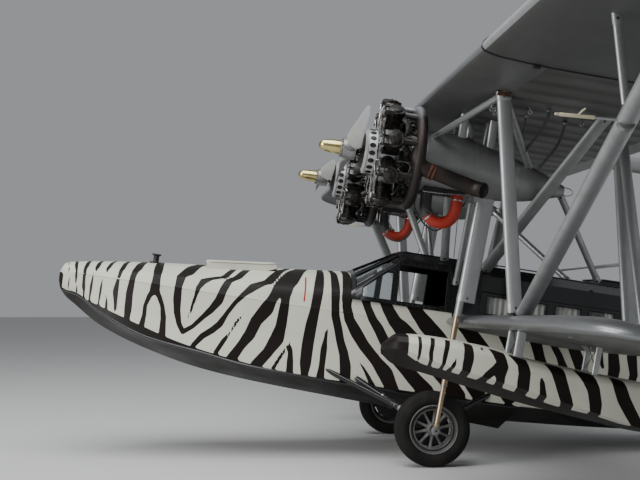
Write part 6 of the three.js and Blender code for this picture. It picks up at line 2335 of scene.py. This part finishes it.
roof = cabin_roof()
for sign in (-1, 1):
    for corner, radius in ((0, 7), (2, 6)):
        line = []
        for x in np.linspace(4770, 6990, 12):
            y, z = skin_corners(ROOF_ROWS, x, -2.0, 1556.0)[corner]
            line.append((x, sign * y, z))
        bent_tube(roof, line, radius, 24, 8)
crease = []
for sign in (-1, 1):
    edge = [(x, skin_corners(ROOF_ROWS, x, 0, 1550)[2]) for x in np.linspace(4800, 6960, 12)]
    crease.append([(x, sign * (y + 30), z - 10) for x, (y, z) in edge])
roof.merge(with_look(rivets(crease, 74, 5.0, steel), 1))
for x in (4850, 5500):
    roof.turned((x, -340, 1868), UP, [(0, 12), (26, 12)], 10, 1)
bent_tube(roof, [(4850, -340, 1892), (5180, -340, 1894), (5500, -340, 1890)], 8, 8, 10, 1)
roof.piece("cabin_roof_sheet", [black_gloss, steel], nodes="cabin_roof", slot="black_paint", sharp=28)


def roof_lid():
    x0, x1, y = ROOF_HATCH["front"] - 36, ROOF_HATCH["rear"] + 36, ROOF_HATCH["half"] + 36

    def sheet(grow, z):
        corners = cut_corners(four_corners(x0 - grow, x1 + grow, -y - grow, y + grow), 3, 0.05)
        return [(a, b, z) for a, b in corners]

    lid = Shape().rings([sheet(-4, 1901), sheet(0, 1904), sheet(0, 1912), sheet(-5, 1917), sheet(-60, 1919),
                         sheet(-66, 1921.5), sheet(-120, 1921.5)])
    for side in (-1, 1):
        lid.block((x1 - 40, side * 150 - 14, 1916), (x1 - 12, side * 150 + 14, 1921.8), 1)
    return lid


roof_lid().piece("cabin_hatch_lid", [black_gloss, steel], body="cabin_hatch", nodes="cabin_hatch",
                 slot="black_paint", sharp=35)

# %% Bow hatch and bollard
cream_paint = finish("cream_deck_paint", (0.60, 0.60, 0.515), (0.43, 0.42, 0.345), 0.5, patch=2.0, rough=0.36,
                     spread=0.2, relief=0.1, coat=0.15)


def bow_lid():
    length = HATCH["rear"] - HATCH["front"]
    grow = HATCH["coaming"] + 8
    low, high = 30.6, 30.3 + HATCH["lid"]

    def sheet(pull, height):
        half = HATCH["half"] + grow - pull
        corners = cut_corners(four_corners(pull - grow, length + grow - pull, -half, half), 3, 0.06)
        return under_hatch([(a, b, height) for a, b in corners])

    lid = Shape().rings([sheet(5, low), sheet(0, low + 4), sheet(0, high - 9), sheet(4, high - 4),
                         sheet(40, high - 1), sheet(160, high)])
    for side in (-1, 1):
        x, y = length + grow - 20, side * 150
        flaps = [under_hatch([(a, b, level) for a, b in four_corners(x - 60, x, y - 16, y + 16)])
                 for level in (high - 3, high + 1.5)]
        lid.rings(flaps, 1)
    handle = under_hatch([(20, -60, high - 2), (20, -52, high + 7), (20, 52, high + 7), (20, 60, high - 2)])
    return bent_tube(lid, handle, 5, 12, 8, 1)


bow_lid().piece("bow_hatch_lid", [cream_paint, steel], body="bow_hatch", nodes="bow_hatch", slot="hull_paint",
                sharp=30)
post = Shape().turned((1060, 0, 1362), UP,
                      [(0, 78), (14, 78), (20, 70), (24, 40), (30, 33), (92, 33), (97, 38),
                       (102, 53), (114, 55), (118, 48)], 36)
post.turned((1060, -92, 1432), STARBOARD, [(0, 12), (3, 14), (181, 14), (184, 12)], 14)
bolt = Shape().turned((0, 0, 58), AFT, [(0, 9), (8, 9), (9, 5), (13, 5)], 6)
bolts = round_axis(bolt, 6, steel)
bolts.points = [block[:, [1, 2, 0]] + (1060, 0, 1378) for block in bolts.points]
post.merge(with_look(bolts, 1))
post.piece("mooring_post", [dark_steel, steel], nodes="bow_bollard", slot="steel_fittings", sharp=35)

# %% [markdown]
# ## Seats
# Two pilots' seats and four cabin seats, each a padded squab and a padded back on a light
# frame. A cushion isn't a block: it is a cover sewn over foam, crowned in the middle and
# pulled in at its seams. The cover is a slightly smaller rounded box, remeshed evenly and
# swelled by a cloth simulation with pressure and no gravity. How far a point may move is
# capped, and the side that rests on the frame stays flat. The sewn channels are pressed
# in afterwards, because remeshing would lose them.

# %% Leather
seat_leather = finish("seat_leather", (0.115, 0.045, 0.026), (0.055, 0.026, 0.018), 0.6, patch=9.0,
                      rough=0.42, spread=0.2, relief=0.35, fine=380.0, share=0.8, coat=0.1)
leather_piping = finish("leather_piping", (0.05, 0.022, 0.015), (0.03, 0.017, 0.013), 0.5, patch=20.0,
                        rough=0.5, relief=0.3, fine=380.0)
print("leather:", seat_leather.name)


# %% A swelled cover
def rounded_box(low, high, radius, pull):
    """A box in metres with rounded edges, smaller by the pull on every side."""
    low, high = np.array(low) / 1000 + pull, np.array(high) / 1000 - pull
    work = bmesh.new()
    bmesh.ops.create_cube(work, size=1.0)
    for vert in work.verts:
        vert.co = Vector(((np.array(vert.co) + 0.5) * (high - low) + low).tolist())
    bmesh.ops.bevel(work, geom=work.edges[:] + work.verts[:], offset=radius / 1000, segments=4, profile=0.5,
                    affect="EDGES")
    data = bpy.data.meshes.new("cover")
    work.to_mesh(data)
    work.free()
    return data


def finished_mesh(holder):
    graph = bpy.context.evaluated_depsgraph_get()
    return bpy.data.meshes.new_from_object(holder.evaluated_get(graph))


MOVE_CAP = 24.0
VOXEL = 0.008
SWELL_FRAMES = 20


def swelled(low, high, rests):
    """A swelled cushion's points and faces, in drawn millimetres; rests is the axis of its flat side."""
    holder = bpy.data.objects.new("cover", rounded_box(low, high, 22, 0.010))
    bpy.context.scene.collection.objects.link(holder)
    remesh = holder.modifiers.new("even", "REMESH")
    remesh.mode = "VOXEL"
    remesh.voxel_size = VOXEL
    even = finished_mesh(holder)
    holder.modifiers.remove(remesh)
    holder.data = even
    before = coordinates(even)
    after = before
    cloth = holder.modifiers.new("foam", "CLOTH")
    cloth.settings.quality = 4
    cloth.settings.use_pressure = True
    cloth.settings.uniform_pressure_force = 4
    cloth.settings.effector_weights.gravity = 0
    cloth.point_cache.frame_start = 1
    cloth.point_cache.frame_end = SWELL_FRAMES
    for number in range(1, SWELL_FRAMES + 1):
        bpy.context.scene.frame_set(number)
    after = coordinates(finished_mesh(holder))
    holder.modifiers.remove(cloth)
    bpy.context.scene.frame_set(1)
    move = (after - before) * 1000
    far = np.linalg.norm(move, axis=1)
    move *= np.minimum(1, MOVE_CAP / np.maximum(far, 1e-6))[:, None]
    points = before * 1000 + move
    axis, sign = abs(rests) - 1, np.sign(rests)
    level = low[axis] + 6 if sign < 0 else high[axis] - 6
    points[:, axis] = np.maximum(points[:, axis], level) if sign < 0 else np.minimum(points[:, axis], level)
    faces = [tuple(face.vertices) for face in even.polygons]
    bpy.data.objects.remove(holder)
    print("cushion of", len(points), "points, moved at most",
          round(float(np.linalg.norm(move, axis=1).max()), 1), "mm")
    return points, faces


CHANNELS = {"panels": 4, "depth": 7.0, "width": 7}


def channelled(points, low, high, rests, along):
    """Presses sewn channels into the side opposite the flat one."""
    axis, sign = abs(rests) - 1, np.sign(rests)
    middle = (low[axis] + high[axis]) / 2
    upper = np.clip((middle - points[:, axis]) * sign / (high[axis] - low[axis]) * 4, 0, 1)
    for k in range(1, CHANNELS["panels"]):
        seam = low[along] + (high[along] - low[along]) * k / CHANNELS["panels"]
        away = np.abs(points[:, along] - seam)
        points[:, axis] += sign * upper * CHANNELS["depth"] * np.exp(-(away / CHANNELS["width"]) ** 2)
    return points


PADS = {"pilot_squab": ((4055, 125, 722), (4400, 535, 822), -3, 1),
        "pilot_back": ((4402, 130, 826), (4482, 530, 1334), 1, 1),
        "cabin_squab": ((5155, 180, 742), (5535, 600, 880), -3, 1),
        "cabin_back": ((5536, 182, 884), (5606, 598, 1374), 1, 1)}
covers = {}
for name, (low, high, rests, along) in PADS.items():
    points, faces = swelled(low, high, rests)
    covers[name] = (channelled(points, low, high, rests, along), faces)


# %% Cushions in place
def piping(name):
    """The welt round a cushion's crowned side."""
    (x0, y0, z0), (x1, y1, z1) = PADS[name][:2]
    if name.endswith("squab"):
        ring = [(x, y, z1 - 20)
                for x, y in cut_corners(four_corners(x0 + 2, x1 - 2, y0 + 2, y1 - 2), 3, 0.07)]
    else:
        ring = [(x0 + 20, y, z)
                for y, z in cut_corners(four_corners(y0 + 2, y1 - 2, z0 + 2, z1 - 2), 3, 0.07)]
    welt = Shape()
    for a, b in zip(ring, ring[1:] + ring[:1]):
        bent_tube(welt, [a, b], 4.5, sides=6)
    return welt


def place_cushion(name, title, dx, sign):
    points, faces = covers[name]
    pad = Shape().patch(points, faces, 0)
    pad.merge(with_look(piping(name), 1))
    if sign < 0:
        pad = pad.mirrored()
    pad.points = [block + (dx, 0, 0) for block in pad.points]
    node = "pilot_seats" if name.startswith("pilot") else "cabin_seats"
    piece = pad.piece(title, [seat_leather, leather_piping], nodes=node, slot="seat_cover", sharp=70)


for side, sign in (("starboard", 1), ("port", -1)):
    for part in ("squab", "back"):
        place_cushion(f"pilot_{part}", f"pilot_{part}_{side}", 0, sign)
        for row, dx in (("front", 0), ("rear", 700)):
            place_cushion(f"cabin_{part}", f"cabin_{part}_{row}_{side}", dx, sign)

# %% Seat frames
seat_metal = finish("seat_frame_metal", (0.16, 0.17, 0.155), (0.09, 0.09, 0.08), 0.6, patch=11.0, rough=0.4,
                    spread=0.2, metallic=0.3, relief=0.12)
seat_frames = Shape()
for sign in (-1, 1):
    y = 330 * sign
    seat_frames.block((4062, y - 206, 704), (4482, y + 206, 721))
    seat_frames.rings([[(x, y + dy, z)
                        for dy, z in ((-198, 720), (-206, 900), (-196, 1325), (-150, 1338), (150, 1338),
                              (196, 1325), (206, 900), (198, 720))] for x in (4484, 4496)])
    for x, foot in ((4110, 4130), (4440, 4420)):
        for dy in (-180, 180):
            bent_tube(seat_frames, [(x, y + dy, 706), (foot, y + dy * 0.8, 560), (foot, y + dy * 0.8, 482)],
                      12, 10, 10)
    for dy in (-144, 144):
        seat_frames.block((4060, y + dy - 14, 481), (4490, y + dy + 14, 500), 1)
    bent_tube(seat_frames, [(4470, y - 222, 930), (4300, y - 226, 940), (4130, y - 222, 930)], 13, 10, 10)
seat_frames.block((4180, -330, 481), (4270, 330, 530))
seat_frames.piece("pilot_seat_frames", [seat_metal, steel], nodes="pilot_seats", slot="control_metal",
                  sharp=30)

cabin_frames = Shape().block((4900, -620, 481), (6400, 620, 496), 1)
for dx in (0, 700):
    cabin_frames.block((5190 + dx, -558, 496), (5530 + dx, 558, 640))
    for y in (-390, 390):
        cabin_frames.block((5156 + dx, y - 208, 640), (5628 + dx, y + 208, 740))
        cabin_frames.rings([[(x + dx, y + dy, z)
                             for dy, z in ((-206, 738), (-206, 1340), (-170, 1376), (170, 1376),
                                   (206, 1340), (206, 738))] for x in (5608, 5626)])
cabin_floor = finish("cabin_floor_mat", (0.075, 0.07, 0.062), (0.12, 0.11, 0.095), 0.6, patch=5.0, rough=0.8,
                     relief=0.4, fine=300.0)
cabin_frames.piece("cabin_seat_frames", [seat_metal, cabin_floor], nodes="cabin_seats", slot="control_metal",
                   sharp=30)

# %% [markdown]
# ## Controls and instruments
# The panel is a dark sheet with round dials. A dial is a bezel, a black face, white ticks
# and a needle: the same few parts each time, so the ticks come from the tree that sets
# copies round an axis. The two control wheels share one column.

# %% Dials
dial_white = finish("dial_white", (0.72, 0.72, 0.66), (0.5, 0.49, 0.42), 0.3, patch=40.0, rough=0.5)
crackle_black = finish("crackle_black", (0.015, 0.015, 0.016), (0.035, 0.034, 0.032), 0.5, patch=20.0,
                       rough=0.6, relief=0.5, fine=500.0, share=0.9)


def dial(radius, needle):
    """A dial round the x axis that faces aft."""
    face = Shape().turned((0, 0, 0), AFT, [(0, radius), (9, radius), (11, radius - 3), (9, radius - 6),
                                                 (4, radius - 7), (4, 1)], 32, 0)
    tick = Shape().block((4, -1.2, radius - 14), (5.2, 1.2, radius - 8))
    face.merge(with_look(round_axis(tick, 12, dial_white), 1))
    c, s = math.cos(needle), math.sin(needle)
    hand = [(-2.4, -6), (2.4, -6), (0.6, radius - 15), (-0.6, radius - 15)]
    face.rings([[(x, y * c + z * s, z * c - y * s) for y, z in hand] for x in (5.4, 6.4)], 1)
    return face


controls = Shape()
panel = [(-560, 990), (-560, 1195), (-520, 1236), (520, 1236), (560, 1195), (560, 990), (520, 980),
         (-520, 980)]
controls.rings([[(x, y, z) for y, z in panel] for x in (3484, 3508)])
controls.rings([[(x, y, z) for y, z in ((-560, 1196), (-520, 1236), (520, 1236), (560, 1196), (552, 1186),
                                              (516, 1226), (-516, 1226), (-552, 1186))] for x in (3482,
                                                                                                  3570)])
dials = []
for radius, z, places in ((44, 1160, (-450, -340, -230, 230, 340, 450)),
                          (36, 1056, (-440, -335, -230, 230, 335, 440)),
                          (30, 1160, (-115, -38, 38, 115)), (30, 1075, (-115, -38, 38, 115))):
    dials += [(y, z, radius) for y in places]
for number, (y, z, radius) in enumerate(dials):
    face = shifted(dial(radius, 0.9 * number), 3508, y, z)
    face.looks = [2 if look == 1 else 1 for look in face.looks]
    controls.merge(face)
for y in np.linspace(-150, 150, 9):
    controls.turned((3508, float(y), 1012), (1, 0, 0.35),
                    [(0, 5), (4, 5), (5, 2.4), (20, 2.4), (21, 4), (26, 3)], 8, 3)
print("dials:", len(dials))

# %% Column, wheels and pedals
controls.block((3484, -60, 481), (3508, 60, 985))
controls.block((3484, -60, 481), (3770, 60, 512))
bent_tube(controls, [(3750, 0, 500), (3748, 0, 700), (3715, 0, 960), (3690, 0, 1080)], 24, 16, 16, 3)
bent_tube(controls, [(3690, -330, 1080), (3690, 330, 1080)], 19, look=3, sides=16)
for sign in (-1, 1):
    y = 330 * sign
    controls.turned((3690, y, 1080), AFT, [(0, 26), (24, 26), (34, 20), (38, 8)], 20, 3)
    rim = [(3720 + 13 * math.cos(a), 150 + 13 * math.sin(a)) for a in np.linspace(0, 2 * math.pi, 13)[:-1]]
    controls.turned((0, y, 1080), AFT, rim, 56, 1, closed=True)
    for angle in (90, 210, 330):
        a = math.radians(angle)
        bent_tube(controls, [(3716, y, 1080), (3722, y + 75 * math.cos(a), 1080 + 75 * math.sin(a)),
                             (3720, y + 148 * math.cos(a), 1080 + 148 * math.sin(a))], 8, 8, 8, 3)
    for dy in (-90, 90):
        controls.block((3500, y + dy - 40, 560), (3516, y + dy + 40, 660), 3)
        bent_tube(controls, [(3510, y + dy, 600), (3540, y + dy, 540), (3545, y + dy, 482)], 9, 8, 8, 3)
for y in (-30, 0, 30):
    bent_tube(controls, [(3500, y, 985), (3560, y, 1010), (3585, y, 1060)], 5, 10, 8, 3)
    controls.turned((3583, y, 1056), (0.3, 0, 1), [(0, 6), (4, 12), (18, 12), (22, 6)], 12, 1)
controls.piece("panel_and_controls", [inside_paint, crackle_black, dial_white, seat_metal],
               nodes="controls_and_panel", slot="control_metal", sharp=35)

# %% [markdown]
# ## Curtains
# Pale curtains hang gathered along the cabin windows. Each is one sheet whose width
# follows a wave, deeper at the hem than at the rail. A sheet keeps the size it was cut
# to, so the wave is measured, and its true length is printed.

# %% Curtains
curtain_cloth = finish("curtain_cloth", (0.84, 0.83, 0.78), (0.70, 0.69, 0.64), 0.5, patch=8.0, rough=0.85,
                       relief=0.4, fine=600.0, share=0.9)
CURTAINS = {"front": (4800, 5560), "middle": (5610, 6060), "rear": (6230, 6760)}


RAIL = {"y": 636, "z": 1524}
CURTAIN_DROP = 236
CURTAIN_STEP = 9


def curtain(x0, x1, sign, seed):
    """A gathered sheet below the rail, and the size it was cut to."""
    source = random.Random(seed)
    phase, waves = 0.0, []
    for _ in range(int((x1 - x0) / CURTAIN_STEP) + 1):
        phase += CURTAIN_STEP / (64 + 14 * source.random()) * 2 * math.pi
        waves.append(phase)
    rows = []
    for drop in np.linspace(0, 1, 9):
        depth = 8 + 11 * drop
        row = []
        for k, wave in enumerate(waves):
            x = x0 + CURTAIN_STEP * k
            inward = 40 * max(0, x - 6450) / 550
            row.append((x + 3 * math.sin(wave * 0.5) * drop,
                        sign * (RAIL["y"] - inward + depth * math.sin(wave)),
                        RAIL["z"] - CURTAIN_DROP * drop + 2.5 * math.sin(wave * 0.31) * drop))
        rows.append(row)
    grid = np.array(rows)
    sheet = Shape().rings(grid, 0, around=False, ends=False)
    across_it = np.linalg.norm(np.diff(grid, axis=1), axis=2).sum(1).mean() / 1000
    down_it = np.linalg.norm(np.diff(grid, axis=0), axis=2).sum(0).mean() / 1000
    return sheet, (float(across_it), float(down_it))


for side, sign in (("starboard", 1), ("port", -1)):
    for number, (place, (x0, x1)) in enumerate(CURTAINS.items()):
        sheet, flat = curtain(x0, x1, sign, 11 + number)
        hung = sheet.piece(f"curtain_{place}_{side}", [curtain_cloth], slot="seat_cover", sharp=80)
        print(f"cut to {flat[0]:.2f} by {flat[1]:.2f} m")

# %% [markdown]
# ## Lines, ducts and small fittings
# What is left is small but fills the space round the engines: black fuel hoses from the
# wing to the nacelle, a cooling duct, light fuel pipes, cable stays, hooks under the wing
# and a plate where the lower wing carries its float. They are tubes along routes, so one
# piece for each side holds them. Both ends of every line of 9 mm radius or more go into a fitting.

# %% Hoses and pipes near the engines
LINES = [
    # route, radius, look
    ([(4729, 2600, 3330), (4735, 2580, 3240), (4735, 2300, 3130), (4718, 1905, 2990)], 15, 0),
    ([(5021, 2200, 3318), (5040, 2100, 3220), (5050, 1900, 3100), (4975, 1620, 2900)], 15, 0),
    ([(4626, 2200, 3325), (4612, 2180, 3230), (4618, 2110, 3120), (4622, 2085, 3030)], 12, 0),
    ([(4398, 1450, 3040), (4405, 1450, 3200), (4425, 1450, 3345)], 20, 1),
    ([(4398, 1370, 3030), (4405, 1370, 3200), (4425, 1370, 3345)], 20, 1),
    ([(4240, 1180, 2640), (4330, 900, 2350), (4420, 560, 1900)], 4, 2),
    ([(6000, 660, 2000), (7800, 850, 2460), (9585, 1040, 2900)], 14, 1),
    ([(3760, 1450, 2530), (3780, 1300, 2300), (4050, 1250, 2120), (4330, 1300, 2480)], 9, 0),
    ([(3790, 1560, 2520), (3810, 1600, 2330), (3950, 1560, 2260), (4020, 1490, 2240)], 8, 0),
    ([(3900, 1400, 2500), (3905, 1400, 2380), (3960, 1420, 2290), (4000, 1440, 2262)], 10, 1),
]


def lines_and_ducts():
    shape = Shape()
    for route, radius, look in LINES:
        bent_tube(shape, route, radius, 22, 10, look)
        if radius < 9:
            continue
        for end, inner in ((route[0], route[1]), (route[-1], route[-2])):
            run = np.array(inner, float) - np.array(end, float)
            shape.turned(end, run, [(0, radius * 1.4), (3, radius * 1.5), (26, radius * 1.5),
                                    (30, radius * 1.1)], 10, 3)
    scoop = [(4080, 1450, 3222), (4106, 1450, 3266), (4148, 1450, 3290), (4190, 1450, 3278),
             (4219, 1450, 3228), (4223, 1450, 3150), (4220, 1450, 3070)]
    bent_tube(shape, scoop, 47, 26, 24, 1)
    shape.turned((4090, 1450, 3239), (-26, 0, -44), [(0, 48), (22, 48), (24, 47), (24, 42), (0, 40)], 24, 1)
    shape.turned(scoop[0], (-26, 0, -44), [(0, 41.5), (1.5, 41.5)], 24, 0)
    shape.turned((4221, 1450, 3112), UP, [(0, 52), (2, 55), (20, 55), (22, 51)], 24, 3)
    for x, y in ((4215, 2400), (4290, 2250), (4560, 2550), (5150, 2350)):
        shape.turned((x, y, 3336), DOWN, [(0, 26), (8, 26), (12, 10), (40, 8)], 12, 3)
        eye = [(x - 8, y, 3300), (x - 20, y, 3284), (x, y, 3266), (x + 20, y, 3284), (x + 8, y, 3300)]
        bent_tube(shape, eye, 5, 16, 8, 1)
    probe_y = JURY_FOOT[1]
    for dy in (-26, 26):
        fork = [(4005, probe_y, 2618), (4030, probe_y + dy * 0.6, 2650), (4048, probe_y + dy, 2672)]
        bent_tube(shape, fork, 6, 8, 8, 4)
    shape.turned((3878, probe_y, 2609.6), (-1, 0, -0.06), [(0, 8), (2, 10), (24, 10), (28, 5)], 12, 4)
    plate = ((5215, 1150), (5330, 1150), (5310, 1040))
    return shape.rings([[(x, y, z) for x, z in plate] for y in (2870, 2864)], 1)


line_looks = [duct_black, strut_silver, dark_steel, steel, probe_yellow]
both_sides(lines_and_ducts(), "lines_and_ducts", line_looks, None, "hose_rubber", 40)
